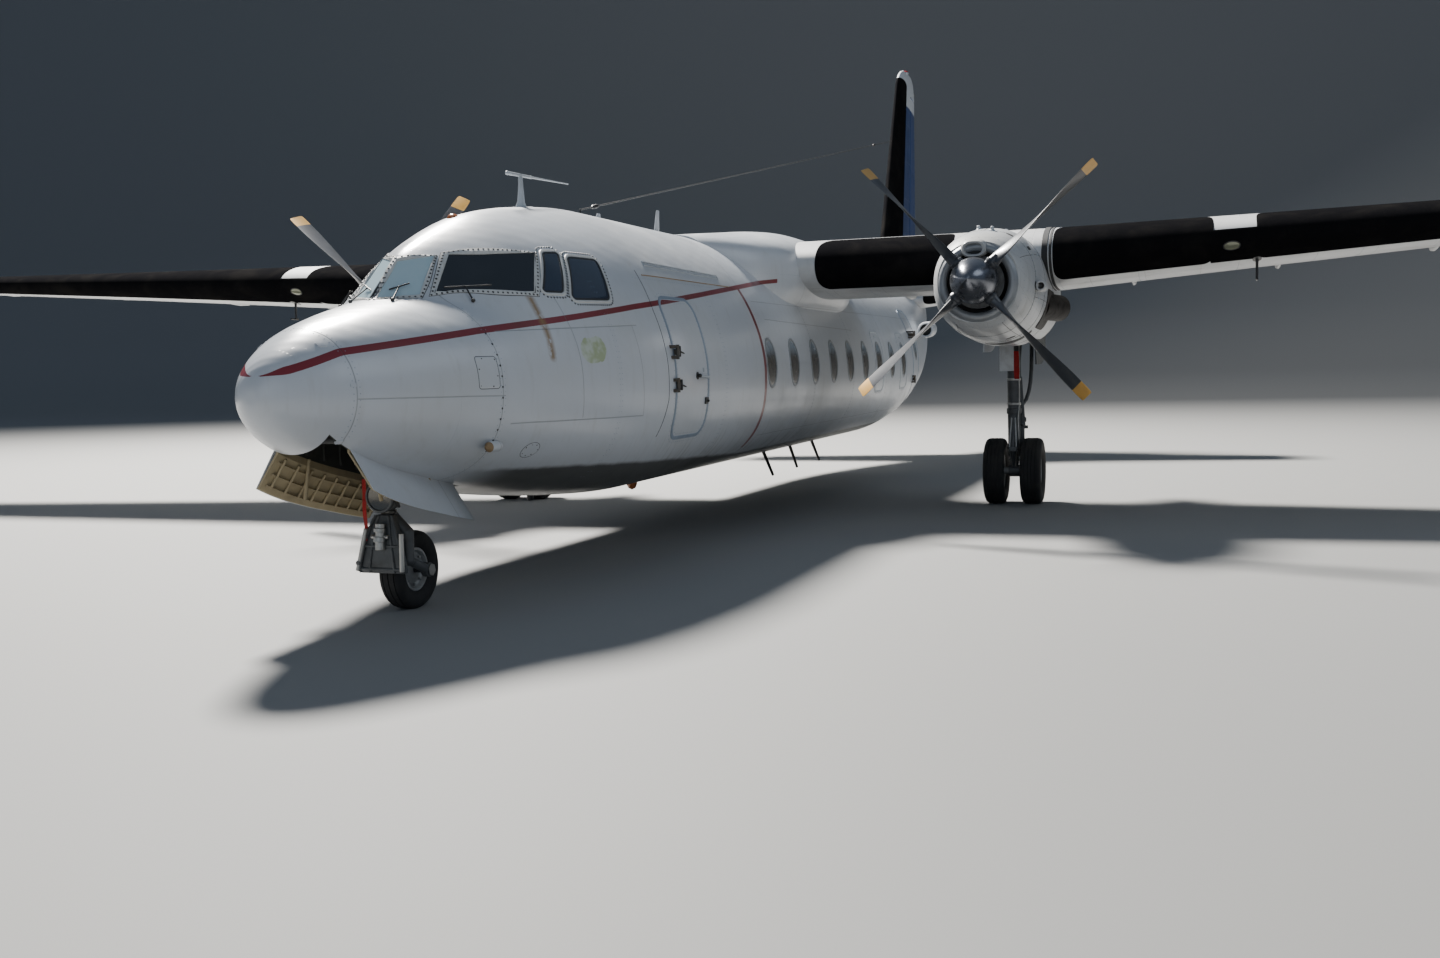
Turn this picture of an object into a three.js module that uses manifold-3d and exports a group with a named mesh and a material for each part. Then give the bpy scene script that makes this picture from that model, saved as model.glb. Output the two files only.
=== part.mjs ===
// A twin-engined, high-winged turboprop airliner, parked on its gear with its doors shut.
// The airframe is laid out level: x to port, y aft of the nose tip, z above the ground under the main
// wheels. It is then turned a little nose down, as it stands, and centred over the origin.
// Dimensions are in millimetres.
import * as THREE from 'three';
import { mergeVertices } from 'three/addons/utils/BufferGeometryUtils.js';
import Module from 'manifold-3d';

const wasm = await Module();
wasm.setup();

const { PI, sin, cos, hypot, sign, abs, min, max, sqrt } = Math;
const radians = THREE.MathUtils.degToRad;

// Driving dimensions
const LENGTH = 23560;
const HALF_SPAN = 14500;
const NOSE_DOWN = radians(0.6);
const SEAM = 0.3; // air between two fixed pieces
const RUNNING_GAP = 12; // air between a moving piece and what it moves past
const CABIN_HALF_WIDTH = 1350;

const MAIN_WHEEL_Y = 10750;
const NOSE_WHEEL_Y = 1780;
const ENGINE_X = 3600; // engines, nacelles and main gear share this distance from the centre line
const ENGINE_Z = 2740;
const PROPELLER_Y = 7230;
const PROPELLER_RADIUS = 1700;

// Finishes
const finish = (color, roughness, metalness = 0) =>
  new THREE.MeshStandardMaterial({ color, roughness, metalness });
const WHITE_PAINT = finish(0xe4e6e8, 0.4);
const DARK_PAINT = finish(0x23262b, 0.5);
const BLUE_PAINT = finish(0x24406c, 0.4);
const GREY_ALUMINIUM = finish(0xb4b8bb, 0.4, 0.7);
const POLISHED_ALUMINIUM = finish(0xdadcdd, 0.18, 0.95);
const GEAR_GREY = finish(0x8d8f8c, 0.5, 0.3);
const ENGINE_GREY = finish(0x5b5d5f, 0.55, 0.6);
const HEATED_STEEL = finish(0x57493f, 0.6, 0.7);
const PRIMER_TAN = finish(0xa08f6c, 0.6);
const TYRE_RUBBER = finish(0x1d1d1d, 0.9);
const GLASS = finish(0x2c3b48, 0.08, 0.2);

// Solids

// A solid from vertices and triangles, turned right side out if its faces point inwards.
function solidFromFaces(vertices, faces) {
  let sixVolumes = 0;
  const [a, b, c] = [0, 1, 2].map(() => new THREE.Vector3());
  for (const [i, j, k] of faces) {
    sixVolumes += a.fromArray(vertices[i]).dot(b.fromArray(vertices[j]).cross(c.fromArray(vertices[k])));
  }
  const outward = sixVolumes > 0 ? faces : faces.map(([i, j, k]) => [i, k, j]);
  const vertProperties = new Float32Array(vertices.flat());
  const triVerts = new Uint32Array(outward.flat());
  return new wasm.Manifold(new wasm.Mesh({ numProp: 3, vertProperties, triVerts }));
}

// A solid from a closed three.js geometry.
function solidFromGeometry(geometry) {
  const bare = geometry.clone();
  bare.deleteAttribute('normal');
  bare.deleteAttribute('uv');
  const merged = mergeVertices(bare, 1e-3);
  const corners = merged.index.array;
  const points = merged.attributes.position;
  const corner = (_, i) => [points.getX(i), points.getY(i), points.getZ(i)];
  const vertices = Array.from({ length: points.count }, corner);
  const faces = [];
  for (let i = 0; i < corners.length; i += 3) {
    const face = [corners[i], corners[i + 1], corners[i + 2]];
    if (new Set(face).size === 3) faces.push(face);
  }
  return solidFromFaces(vertices, faces);
}

// A skin stretched over rings of points, each ring with as many points as the last, and both ends closed.
function loft(rings) {
  const count = rings[0].length;
  const vertices = rings.flat();
  const faces = [];
  for (let r = 0; r + 1 < rings.length; r++) {
    for (let i = 0; i < count; i++) {
      const here = r * count + i;
      const beside = r * count + ((i + 1) % count);
      faces.push([here, beside, here + count], [beside, beside + count, here + count]);
    }
  }
  for (const [start, turn] of [[0, 1], [(rings.length - 1) * count, -1]]) {
    const middle = vertices.length;
    const ring = vertices.slice(start, start + count);
    vertices.push([0, 1, 2].map((axis) => ring.reduce((sum, point) => sum + point[axis], 0) / count));
    for (let i = 0; i < count; i++) {
      const face = [middle, start + ((i + 1) % count), start + i];
      faces.push(turn > 0 ? face : face.toReversed());
    }
  }
  return solidFromFaces(vertices, faces);
}

// A round bar from one point to another, narrowing to endRadius where that is given.
function bar(from, to, radius, { endRadius = radius, sides = 12 } = {}) {
  const start = new THREE.Vector3(...from);
  const along = new THREE.Vector3(...to).sub(start);
  const geometry = new THREE.CylinderGeometry(endRadius, radius, along.length(), sides);
  geometry.translate(0, along.length() / 2, 0);
  const upright = new THREE.Vector3(0, 1, 0);
  geometry.applyQuaternion(new THREE.Quaternion().setFromUnitVectors(upright, along.normalize()));
  geometry.translate(...from);
  return solidFromGeometry(geometry);
}

function box([x0, y0, z0], [x1, y1, z1]) {
  const geometry = new THREE.BoxGeometry(x1 - x0, y1 - y0, z1 - z0);
  geometry.translate((x0 + x1) / 2, (y0 + y1) / 2, (z0 + z1) / 2);
  return solidFromGeometry(geometry);
}

const joined = (...solids) => solids.reduce((whole, solid) => whole.add(solid));
const cutBy = (solid, ...cutters) => cutters.reduce((rest, cutter) => rest.subtract(cutter), solid);
const mirrored = (solid) => solid.mirror([1, 0, 0]);

// The scene graph: the part holds the parked attitude, which holds the level airframe.
const part = new THREE.Group();
const attitude = new THREE.Group();
const airframe = new THREE.Group();
part.add(attitude);
attitude.add(airframe);
airframe.position.set(0, -MAIN_WHEEL_Y, 0);
attitude.rotation.x = NOSE_DOWN;

// Height in the level airframe of a point that stands this high above the ground.
const aboveGround = (y, height) => (height - (y - MAIN_WHEEL_Y) * sin(NOSE_DOWN)) / cos(NOSE_DOWN);

function addMesh(name, solid, material) {
  const { vertProperties, triVerts } = solid.getMesh();
  const geometry = new THREE.BufferGeometry();
  geometry.setAttribute('position', new THREE.BufferAttribute(vertProperties, 3));
  geometry.setIndex(new THREE.BufferAttribute(triVerts, 1));
  const mesh = new THREE.Mesh(geometry, material);
  mesh.name = name;
  airframe.add(mesh);
}

// Both hands of a piece that is drawn on the port side.
function addPair(name, solid, material) {
  addMesh(`${name}_port`, solid, material);
  addMesh(`${name}_starboard`, mirrored(solid), material);
}

// Fuselage

const RING_POINTS = 28;
const WIDEST_Z = 1830;
// Its sections: distance aft of the nose tip, half width, and the heights of the top, the widest level
// and the bottom, with how square the upper and lower halves are (2 is an ellipse, less is a ridge).
const FUSELAGE_SECTIONS = [
  { y: 0, half: 24, top: 1810, wide: 1780, bottom: 1750, upper: 2, lower: 2 },
  { y: 30, half: 112, top: 1900, wide: 1780, bottom: 1660, upper: 2, lower: 2 },
  { y: 150, half: 245, top: 2035, wide: 1782, bottom: 1530, upper: 2, lower: 2 },
  { y: 320, half: 358, top: 2145, wide: 1786, bottom: 1425, upper: 2, lower: 2 },
  { y: 520, half: 452, top: 2240, wide: 1790, bottom: 1345, upper: 2, lower: 2 },
  { y: 900, half: 610, top: 2350, wide: 1798, bottom: 1245, upper: 2.05, lower: 2.15 },
  { y: 1350, half: 775, top: 2450, wide: 1806, bottom: 1150, upper: 2.1, lower: 2.3 },
  { y: 1450, half: 809, top: 2472, wide: 1808, bottom: 1131, upper: 1.2, lower: 2.33 },
  { y: 1700, half: 890, top: 2730, wide: 1812, bottom: 1080, upper: 1.25, lower: 2.4 },
  { y: 1860, half: 940, top: 2850, wide: 1815, bottom: 1048, upper: 1.35, lower: 2.4 },
  { y: 2020, half: 985, top: 2930, wide: 1817, bottom: 1017, upper: 1.44, lower: 2.43 },
  { y: 2420, half: 1090, top: 3090, wide: 1821, bottom: 948, upper: 1.64, lower: 2.5 },
  { y: 2900, half: 1190, top: 3245, wide: 1825, bottom: 870, upper: 1.76, lower: 2.55 },
  { y: 3700, half: 1295, top: 3375, wide: 1830, bottom: 785, upper: 1.8, lower: 2.6 },
  { y: 4600, half: CABIN_HALF_WIDTH, top: 3440, wide: WIDEST_Z, bottom: 735, upper: 1.8, lower: 2.6 },
  { y: 14300, half: CABIN_HALF_WIDTH, top: 3440, wide: WIDEST_Z, bottom: 735, upper: 1.8, lower: 2.6 },
  { y: 15600, half: 1325, top: 3435, wide: 1850, bottom: 810, upper: 1.82, lower: 2.5 },
  { y: 17200, half: 1210, top: 3425, wide: 1960, bottom: 1080, upper: 1.85, lower: 2.4 },
  { y: 18900, half: 985, top: 3415, wide: 2160, bottom: 1500, upper: 1.9, lower: 2.3 },
  { y: 20600, half: 695, top: 3395, wide: 2440, bottom: 2010, upper: 2, lower: 2.15 },
  { y: 22200, half: 395, top: 3370, wide: 2780, bottom: 2520, upper: 2, lower: 2.05 },
  { y: 23200, half: 185, top: 3335, wide: 3040, bottom: 2850, upper: 2, lower: 2 },
  { y: LENGTH, half: 40, top: 3230, wide: 3150, bottom: 3090, upper: 2, lower: 2 },
];
// The nose runs on as a hood under the windshield; beyond these stations it is inside the roof's section.
const HOOD = [
  { y: 1350, top: 2450 },
  { y: 1700, top: 2520 },
  { y: 2020, top: 2600 },
  { y: 2420, top: 2720 },
];
const HOOD_SQUARENESS = 2.1;

// The value of a key at y, along the straight line between its neighbours in a table.
function tableValue(table, key, y) {
  const next = table.findIndex((row) => row.y >= y);
  const after = table[max(next, 1)];
  const before = table[max(next, 1) - 1];
  return THREE.MathUtils.lerp(before[key], after[key], (y - before.y) / (after.y - before.y));
}

function fuselageSectionAt(y) {
  const keys = ['half', 'top', 'wide', 'bottom', 'upper', 'lower'];
  const hooded = y > HOOD[0].y && y < HOOD.at(-1).y;
  return {
    y,
    hoodTop: hooded ? tableValue(HOOD, 'top', y) : 0,
    ...Object.fromEntries(keys.map((key) => [key, tableValue(FUSELAGE_SECTIONS, key, y)])),
  };
}

// How far out of a section's centre a rounded outline lies, in the direction of a point.
function outlineReach(across, up, half, rise, squareness) {
  return 1 / ((abs(across) / half) ** squareness + (abs(up) / rise) ** squareness) ** (1 / squareness);
}

// One section as a ring, grown by an offset; over the hood it is the outer one of roof and hood.
function fuselageRing({ y, half, top, wide, bottom, upper, lower, hoodTop }, offset = 0) {
  return Array.from({ length: RING_POINTS }, (_, i) => {
    const angle = (2 * PI * i) / RING_POINTS;
    const above = i <= RING_POINTS / 2;
    const power = 2 / (above ? max(upper, hoodTop ? HOOD_SQUARENESS : 0) : lower);
    const reach = half + offset;
    const rise = (above ? (hoodTop || top) - wide : wide - bottom) + offset;
    const across = reach * sign(cos(angle)) * abs(cos(angle)) ** power;
    const up = rise * sign(sin(angle)) * abs(sin(angle)) ** power;
    const roof = hoodTop && above ? outlineReach(across, up, reach, top - wide + offset, upper) : 1;
    return [across * max(roof, 1), y, wide + up * max(roof, 1)];
  });
}

const JOINT_Y = { radome: 520, nose: 1350, cockpit: 3200, forward: 7030, centre: 13400, aft: 19300 };
const STATIONS = [...new Set([...FUSELAGE_SECTIONS.map((section) => section.y), ...Object.values(JOINT_Y)])]
  .sort((a, b) => a - b);

// A length of fuselage, with a ring at each section and joint that it passes.
function fuselageLength(from, to, offset = 0) {
  const between = STATIONS.filter((y) => y > from + 1 && y < to - 1);
  return loft([from, ...between, to].map((y) => fuselageRing(fuselageSectionAt(y), offset)));
}

// Half width of the fuselage at a distance aft and a height.
function halfWidthAt(y, z) {
  const { half, top, wide, bottom, upper, lower } = fuselageSectionAt(y);
  const above = z > wide;
  const power = above ? upper : lower;
  const reach = min(abs(z - wide) / (above ? top - wide : wide - bottom), 1);
  return half * (1 - reach ** power) ** (1 / power);
}

// Lifting surfaces

// An aerofoil as a ring of [aft, up] points, from the trailing edge over the top and back underneath.
const AEROFOIL_STATIONS = [1, 0.85, 0.7, 0.55, 0.4, 0.27, 0.16, 0.08, 0.03, 0.007, 0];
const TRAILING_EDGE_HALF = 5;

function halfThickness(share, { chord, thickness }) {
  const shape = 0.2969 * sqrt(share) - 0.126 * share - 0.3516 * share ** 2
    + 0.2843 * share ** 3 - 0.1036 * share ** 4;
  return 5 * thickness * shape * chord + TRAILING_EDGE_HALF * share;
}

// The middle line and the thickness of a rib at a share of its chord, in [aft, up] from its own nose.
function ribPoint(rib, share, side, offset = 0) {
  const up = 4 * rib.camber * rib.chord * share * (1 - share) + side * (halfThickness(share, rib) + offset);
  const aft = share * rib.chord;
  const tilt = rib.incidence ?? 0;
  return [aft * cos(tilt) + up * sin(tilt), up * cos(tilt) - aft * sin(tilt)];
}

function ribRing(rib, place, offset = 0) {
  const upper = AEROFOIL_STATIONS.map((share) => ribPoint(rib, share, 1, offset));
  const lower = AEROFOIL_STATIONS.slice(0, -1).reverse().map((share) => ribPoint(rib, share, -1, offset));
  upper.at(-1)[0] -= offset;
  upper[0][0] += offset;
  lower.at(-1)[0] += offset;
  return [...upper, ...lower].map(([aft, up]) => place(rib.span, rib.aft + aft, rib.up + up));
}

// Where a surface lies: a wing spans along x, a fin along z.
const ACROSS = (span, aft, up) => [span, aft, up];
const UPRIGHT = (span, aft, side) => [side, aft, span];

// The rib at any distance along the span.
function ribAt(ribs, span) {
  const next = max(ribs.findIndex((rib) => rib.span >= span), 1);
  const share = (span - ribs[next - 1].span) / (ribs[next].span - ribs[next - 1].span);
  const mix = (key) => THREE.MathUtils.lerp(ribs[next - 1][key] ?? 0, ribs[next][key] ?? 0, share);
  const keys = ['aft', 'up', 'chord', 'thickness', 'camber', 'incidence'];
  return { span, ...Object.fromEntries(keys.map((key) => [key, mix(key)])) };
}

function hingePoint(ribs, span, hingeShare) {
  const rib = ribAt(ribs, span);
  const [aft, up] = ribPoint(rib, hingeShare, 0);
  return { aft: rib.aft + aft, up: rib.up + up, radius: halfThickness(hingeShare, rib), rib };
}

// The space cut out of a surface for a moving surface of its own, from its hinge to behind its tail.
function controlCutter(ribs, { from, to, hinge }, place) {
  const DEEP = 900;
  return loft([from, to].map((span) => {
    const { aft, up, radius, rib } = hingePoint(ribs, span, hinge);
    const front = aft - radius - RUNNING_GAP;
    const back = rib.aft + rib.chord + DEEP;
    const corners = [[front, -DEEP], [back, -DEEP], [back, DEEP], [front, DEEP]];
    return corners.map(([y, z]) => place(span, y, up + z));
  }));
}

// The moving surface: a round nose about its hinge, straight to its tail, on a stub pin at each end.
// Its hinge is swept, so its ends climb as it swings and need more room than its nose.
function controlSurface(ribs, { from, to, hinge }, place) {
  const NOSE_STEPS = 6;
  const PIN_RADIUS = 14;
  const END_GAP = 26;
  const ends = [from + END_GAP, to - END_GAP];
  const rings = ends.map((span) => {
    const { aft, up, radius, rib } = hingePoint(ribs, span, hinge);
    const nose = Array.from({ length: NOSE_STEPS + 1 }, (_, i) => {
      const angle = PI / 2 + (PI * i) / NOSE_STEPS;
      return [aft + radius * cos(angle), up + radius * sin(angle)];
    });
    const tail = [-1, 1].map((side) => {
      const [y, z] = ribPoint(rib, 1, side);
      return [rib.aft + y, rib.up + z];
    });
    return [...nose, ...tail].map(([y, z]) => place(span, y, z));
  });
  const point = (span) => {
    const { aft, up } = hingePoint(ribs, span, hinge);
    return [span, aft, up];
  };
  const [start, end] = [point(from), point(to)];
  const length = hypot(...end.map((value, i) => value - start[i]));
  const across = (end[0] - start[0]) / length;
  const inset = (SEAM + PIN_RADIUS * sqrt(1 - across ** 2)) / across / (end[0] - start[0]);
  const along = (share) => place(...start.map((value, i) => value + share * (end[i] - value)));
  return joined(loft(rings), bar(along(inset), along(1 - inset), PIN_RADIUS, { sides: 12 }));
}

// Wing

const WING_ROOT_CHORD = 3450;
const WING_TIP_CHORD = 1400;
const WING_INCIDENCE = radians(3.5);
const DIHEDRAL = radians(2.5);
const WING_Y = 8900;
const WING_Z = 3115;
const WING_BREAK_X = 4210; // the wing is level and unswept inboard of this, outboard of the nacelles
const WING_TIP_X = HALF_SPAN - 420;

const wingRib = (span, scale = 1) => {
  const outboard = max(span - WING_BREAK_X, 0);
  const taper = outboard / (HALF_SPAN - WING_BREAK_X);
  const chord = THREE.MathUtils.lerp(WING_ROOT_CHORD, WING_TIP_CHORD, taper);
  const quarterLine = (WING_ROOT_CHORD - chord) / 4;
  return {
    span,
    aft: WING_Y + quarterLine + (chord * (1 - scale)) / 3,
    up: WING_Z + outboard * sin(DIHEDRAL),
    chord: chord * scale,
    thickness: THREE.MathUtils.lerp(0.21, 0.15, taper) * (scale < 1 ? scale : 1),
    camber: 0.02,
    incidence: WING_INCIDENCE * (1 - 0.5 * taper),
  };
};
const CENTRE_RIBS = [wingRib(-WING_BREAK_X), wingRib(WING_BREAK_X)];
const OUTER_RIBS = [
  wingRib(WING_BREAK_X + SEAM),
  wingRib(WING_TIP_X),
  wingRib(HALF_SPAN - 130, 0.93),
  wingRib(HALF_SPAN, 0.66),
];
const INNER_FLAP = { from: 1480, to: 2950, hinge: 0.74 };
const OUTER_FLAP = { from: 4260, to: 9250, hinge: 0.74 };
const AILERON = { from: 9300, to: 13900, hinge: 0.76 };

const wingCentreBlank = (offset) => loft(CENTRE_RIBS.map((rib) => ribRing(rib, ACROSS, offset)));
const innerFlapSpace = controlCutter(CENTRE_RIBS, INNER_FLAP, ACROSS);
const wingCentre = cutBy(wingCentreBlank(0), innerFlapSpace, mirrored(innerFlapSpace));
const wingRoom = wingCentreBlank(SEAM);

const outerWing = cutBy(
  loft(OUTER_RIBS.map((rib) => ribRing(rib, ACROSS))),
  controlCutter(OUTER_RIBS, OUTER_FLAP, ACROSS),
  controlCutter(OUTER_RIBS, AILERON, ACROSS),
);

addMesh('wing_centre', wingCentre, WHITE_PAINT);
addPair('wing', outerWing, WHITE_PAINT);
addPair('inner_flap', controlSurface(CENTRE_RIBS, INNER_FLAP, ACROSS), GREY_ALUMINIUM);
addPair('outer_flap', controlSurface(OUTER_RIBS, OUTER_FLAP, ACROSS), GREY_ALUMINIUM);
addPair('aileron', controlSurface(OUTER_RIBS, AILERON, ACROSS), GREY_ALUMINIUM);

// Tail

const FIN_RIBS = [
  { span: 3250, aft: 19180, up: 0, chord: 3850, thickness: 0.11, camber: 0 },
  { span: 7720, aft: 21300, up: 0, chord: 1830, thickness: 0.1, camber: 0 },
  { span: 8080, aft: 21900, up: 0, chord: 900, thickness: 0.07, camber: 0 },
];
const RUDDER = { from: 3560, to: 7600, hinge: 0.62 };
// The dorsal fillet that leads up to the fin, as [aft, height] corners of one thin blade.
const DORSAL_OUTLINE = [[16300, 3380], [19800, 3380], [19900, 4450]];
const DORSAL_HALF = 45;
const BEACON = { y: 22160, top: 8125, radius: 38 }; // a lamp in a glass dome on the fin's tip

const TAILPLANE_DIHEDRAL = radians(6);
const TAILPLANE_Z = 3060;
const tailRib = (span, chord, aft, thickness = 0.12) => ({
  span,
  aft,
  up: TAILPLANE_Z + abs(span) * sin(TAILPLANE_DIHEDRAL),
  chord,
  thickness,
  camber: 0,
});
const TAIL_HALF_RIBS = [
  tailRib(0, 2450, 19750),
  tailRib(4700, 1280, 20350),
  tailRib(4875, 900, 20480, 0.07),
];
const TAIL_RIBS = TAIL_HALF_RIBS.slice(1).reverse()
  .map((rib) => ({ ...rib, span: -rib.span }))
  .concat(TAIL_HALF_RIBS);
const ELEVATOR = { from: 740, to: 4560, hinge: 0.64 };

const tailplaneBlank = (offset) => loft(TAIL_RIBS.map((rib) => ribRing(rib, ACROSS, offset)));
const elevatorSpace = controlCutter(TAIL_HALF_RIBS, ELEVATOR, ACROSS);
const tailplane = cutBy(tailplaneBlank(0), elevatorSpace, mirrored(elevatorSpace));
const tailRoom = tailplaneBlank(SEAM);

function blade(outline, half) {
  const shape = new THREE.Shape(outline.map(([y, z]) => new THREE.Vector2(y, z)));
  const geometry = new THREE.ExtrudeGeometry(shape, { depth: 2 * half, bevelEnabled: false });
  geometry.translate(0, 0, -half);
  geometry.applyMatrix4(new THREE.Matrix4().set(0, 0, 1, 0, 1, 0, 0, 0, 0, 1, 0, 0, 0, 0, 0, 1));
  return solidFromGeometry(geometry);
}

const tailTop = fuselageLength(JOINT_Y.centre, LENGTH - 1, SEAM);
const fin = cutBy(
  joined(
    loft(FIN_RIBS.map((rib) => ribRing(rib, UPRIGHT))),
    blade(DORSAL_OUTLINE, DORSAL_HALF),
    bar([0, BEACON.y, FIN_RIBS.at(-1).span - 20], [0, BEACON.y, BEACON.top], BEACON.radius),
  ),
  controlCutter(FIN_RIBS, RUDDER, UPRIGHT),
  tailTop,
  tailRoom,
);

addMesh('fin', fin, BLUE_PAINT);
addMesh('rudder', controlSurface(FIN_RIBS, RUDDER, UPRIGHT), BLUE_PAINT);
addMesh('tailplane', tailplane, WHITE_PAINT);
addPair('elevator', controlSurface(TAIL_HALF_RIBS, ELEVATOR, ACROSS), GREY_ALUMINIUM);

// Cabin doors, each a slice of the skin on a pair of external knuckles at its forward edge

const DOOR_THICKNESS = 90;
const DOOR_GAP = 8;
const DOORWAY_DEPTH = 620;
const KNUCKLE_RADIUS = 18;
const KNUCKLE_HEIGHT = 60;
const HINGE_STANDOFF = 22; // from the widest skin of the door to the hinge line
// The knuckles' heights are shares of the door's height; side is 1 for port and -1 for starboard.
const CLOSE = [0.38, 0.61];
const WIDE = [0.28, 0.74];
const DOORS = [
  { name: 'crew_door', section: 'forward', side: 1, from: 4230, to: 5090, bottom: 1250, top: 2560, hinges: CLOSE },
  { name: 'passenger_door', section: 'aft', side: 1, from: 15750, to: 16490, bottom: 1130, top: 2780, hinges: WIDE },
  { name: 'service_door', section: 'aft', side: -1, from: 15750, to: 16490, bottom: 1330, top: 2450, hinges: WIDE },
];

function hingeLine({ side, from, bottom, top, hinges }) {
  const widest = halfWidthAt(from, min(max(WIDEST_Z, bottom), top));
  const heights = hinges.map((share) => bottom + share * (top - bottom));
  return { x: side * (widest + HINGE_STANDOFF), y: from, heights };
}

// The slab of space between two skins, over the door's own height and length.
function doorSlab({ side, from, to, bottom, top }, inset, depth, proud) {
  const reach = 2 * CABIN_HALF_WIDTH;
  const window = box([0, from + inset, bottom + inset], [reach, to - inset, top - inset]);
  const outer = fuselageLength(from - 200, to + 200, proud);
  const slab = window.intersect(outer);
  const shell = depth ? slab.subtract(fuselageLength(from - 300, to + 300, -depth)) : slab;
  return side > 0 ? shell : mirrored(shell);
}

function doorway({ side, from, to, bottom, top }) {
  const inner = halfWidthAt(from, top) - DOORWAY_DEPTH;
  const space = box([inner, from, bottom], [2 * CABIN_HALF_WIDTH, to, top]);
  return side > 0 ? space : mirrored(space);
}

// Two knuckles that turn with the door, each between two that stay on the fuselage.
function knuckles(door, moving) {
  const { x, y, heights } = hingeLine(door);
  const pieces = heights.flatMap((z) => {
    const spans = moving
      ? [[z - KNUCKLE_HEIGHT / 2, z + KNUCKLE_HEIGHT / 2]]
      : [-1, 1].map((way) => {
        const near = z + way * (KNUCKLE_HEIGHT / 2 + SEAM);
        return [near, near + way * KNUCKLE_HEIGHT * 0.6];
      });
    return spans.flatMap(([start, end]) => {
      const [low, high] = [min(start, end), max(start, end)];
      const inboard = door.side * (halfWidthAt(y, low > WIDEST_Z ? high : low) - 14);
      const strapX = [min(inboard, x), max(inboard, x)];
      const strapY = moving ? [y + DOOR_GAP, y + 60] : [y - 60, y - SEAM];
      const barrel = bar([x, y, low], [x, y, high], KNUCKLE_RADIUS, { sides: 12 });
      return [barrel, box([strapX[0], strapY[0], low], [strapX[1], strapY[1], high])];
    });
  });
  return joined(...pieces);
}

const doorwaysOf = (section) => DOORS.filter((door) => door.section === section);
for (const door of DOORS) {
  const leaf = doorSlab(door, DOOR_GAP, DOOR_THICKNESS, 0);
  addMesh(door.name, joined(leaf, knuckles(door, true)), WHITE_PAINT);
}

// Cockpit glass: each pane is a flat plate let into the skin, given by its four corners on the skin.
const PANE_THICKNESS = 30;
const PANES = [
  {
    name: 'windshield',
    corners: [[24, 1450, 2474], [288, 1640, 2500], [229, 1980, 2820], [16, 1775, 2785]],
  },
  {
    name: 'cockpit_side_window',
    corners: [[359, 1724, 2516], [848, 2449, 2537], [688, 2772, 2871], [281, 2074, 2844]],
  },
];

// A plate on the plane nearest its corners, with its outer face there and grown all round by an offset.
function pane(corners, thickness, offset = 0) {
  const points = corners.map((corner) => new THREE.Vector3(...corner));
  const middle = new THREE.Vector3();
  for (const point of points) middle.addScaledVector(point, 1 / points.length);
  const normal = points[2].clone().sub(points[0]).cross(points[3].clone().sub(points[1])).normalize();
  const inward = normal.x > 0 ? normal.negate() : normal;
  const flat = points.map((point) => {
    const onPlane = point.clone().addScaledVector(inward, -inward.dot(point.clone().sub(middle)));
    const outward = onPlane.clone().sub(middle).setLength(offset);
    return onPlane.add(outward);
  });
  const lift = (amount) => flat.map((point) => point.clone().addScaledVector(inward, amount).toArray());
  return loft([lift(-thickness[0]), lift(thickness[1])]);
}

const paneCutters = PANES.map(({ corners }) => pane(corners, [400, PANE_THICKNESS + SEAM], SEAM));
for (const { name, corners } of PANES) {
  addPair(name, pane(corners, [0, PANE_THICKNESS]), GLASS);
}

// Nose gear bay and its two doors

const BAY = { half: 300, from: 400, to: 2080, roof: 1560 };
const noseBay = box([-BAY.half, BAY.from, 0], [BAY.half, BAY.to, BAY.roof]);

// Fuselage pieces

const fuselagePiece = (from, to) => fuselageLength(from, to - SEAM);
const crewDoorway = doorwaysOf('forward').map(doorway);
const aftDoorways = doorwaysOf('aft').map(doorway);
const hingesOf = (section) => doorwaysOf(section).map((door) => knuckles(door, false));

addMesh('radome', cutBy(fuselagePiece(0, JOINT_Y.radome), noseBay), WHITE_PAINT);
addMesh('nose_section', cutBy(fuselagePiece(JOINT_Y.radome, JOINT_Y.nose), noseBay), WHITE_PAINT);
addMesh(
  'cockpit_section',
  cutBy(
    fuselagePiece(JOINT_Y.nose, JOINT_Y.cockpit),
    noseBay,
    ...paneCutters,
    ...paneCutters.map(mirrored),
  ),
  WHITE_PAINT,
);

// Aerials on the roof: a T on a mast and a swept blade
const T_AERIAL = { y: 3900, height: 290, mastRadius: 26, barFrom: 3700, barTo: 4900, barRadius: 11 };
const BLADE_AERIAL = { y: 7180, height: 270, chord: 150, half: 12 };
const roofAt = (y) => fuselageSectionAt(y).top;
const T_TOP = roofAt(T_AERIAL.y) + T_AERIAL.height;
const mastFoot = [0, T_AERIAL.y, roofAt(T_AERIAL.y) - 30];
const tAerial = joined(
  bar(mastFoot, [0, T_AERIAL.y + 20, T_TOP], 60, { endRadius: T_AERIAL.mastRadius }),
  bar([0, T_AERIAL.barFrom, T_TOP], [0, T_AERIAL.barTo, T_TOP + 40], T_AERIAL.barRadius, { sides: 8 }),
);
const bladeRoot = roofAt(BLADE_AERIAL.y) - 20;
const bladeAerial = blade([
  [BLADE_AERIAL.y, bladeRoot],
  [BLADE_AERIAL.y + BLADE_AERIAL.chord, bladeRoot],
  [BLADE_AERIAL.y + 1.3 * BLADE_AERIAL.chord, bladeRoot + BLADE_AERIAL.height],
  [BLADE_AERIAL.y + 0.6 * BLADE_AERIAL.chord, bladeRoot + BLADE_AERIAL.height],
], BLADE_AERIAL.half);

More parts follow.
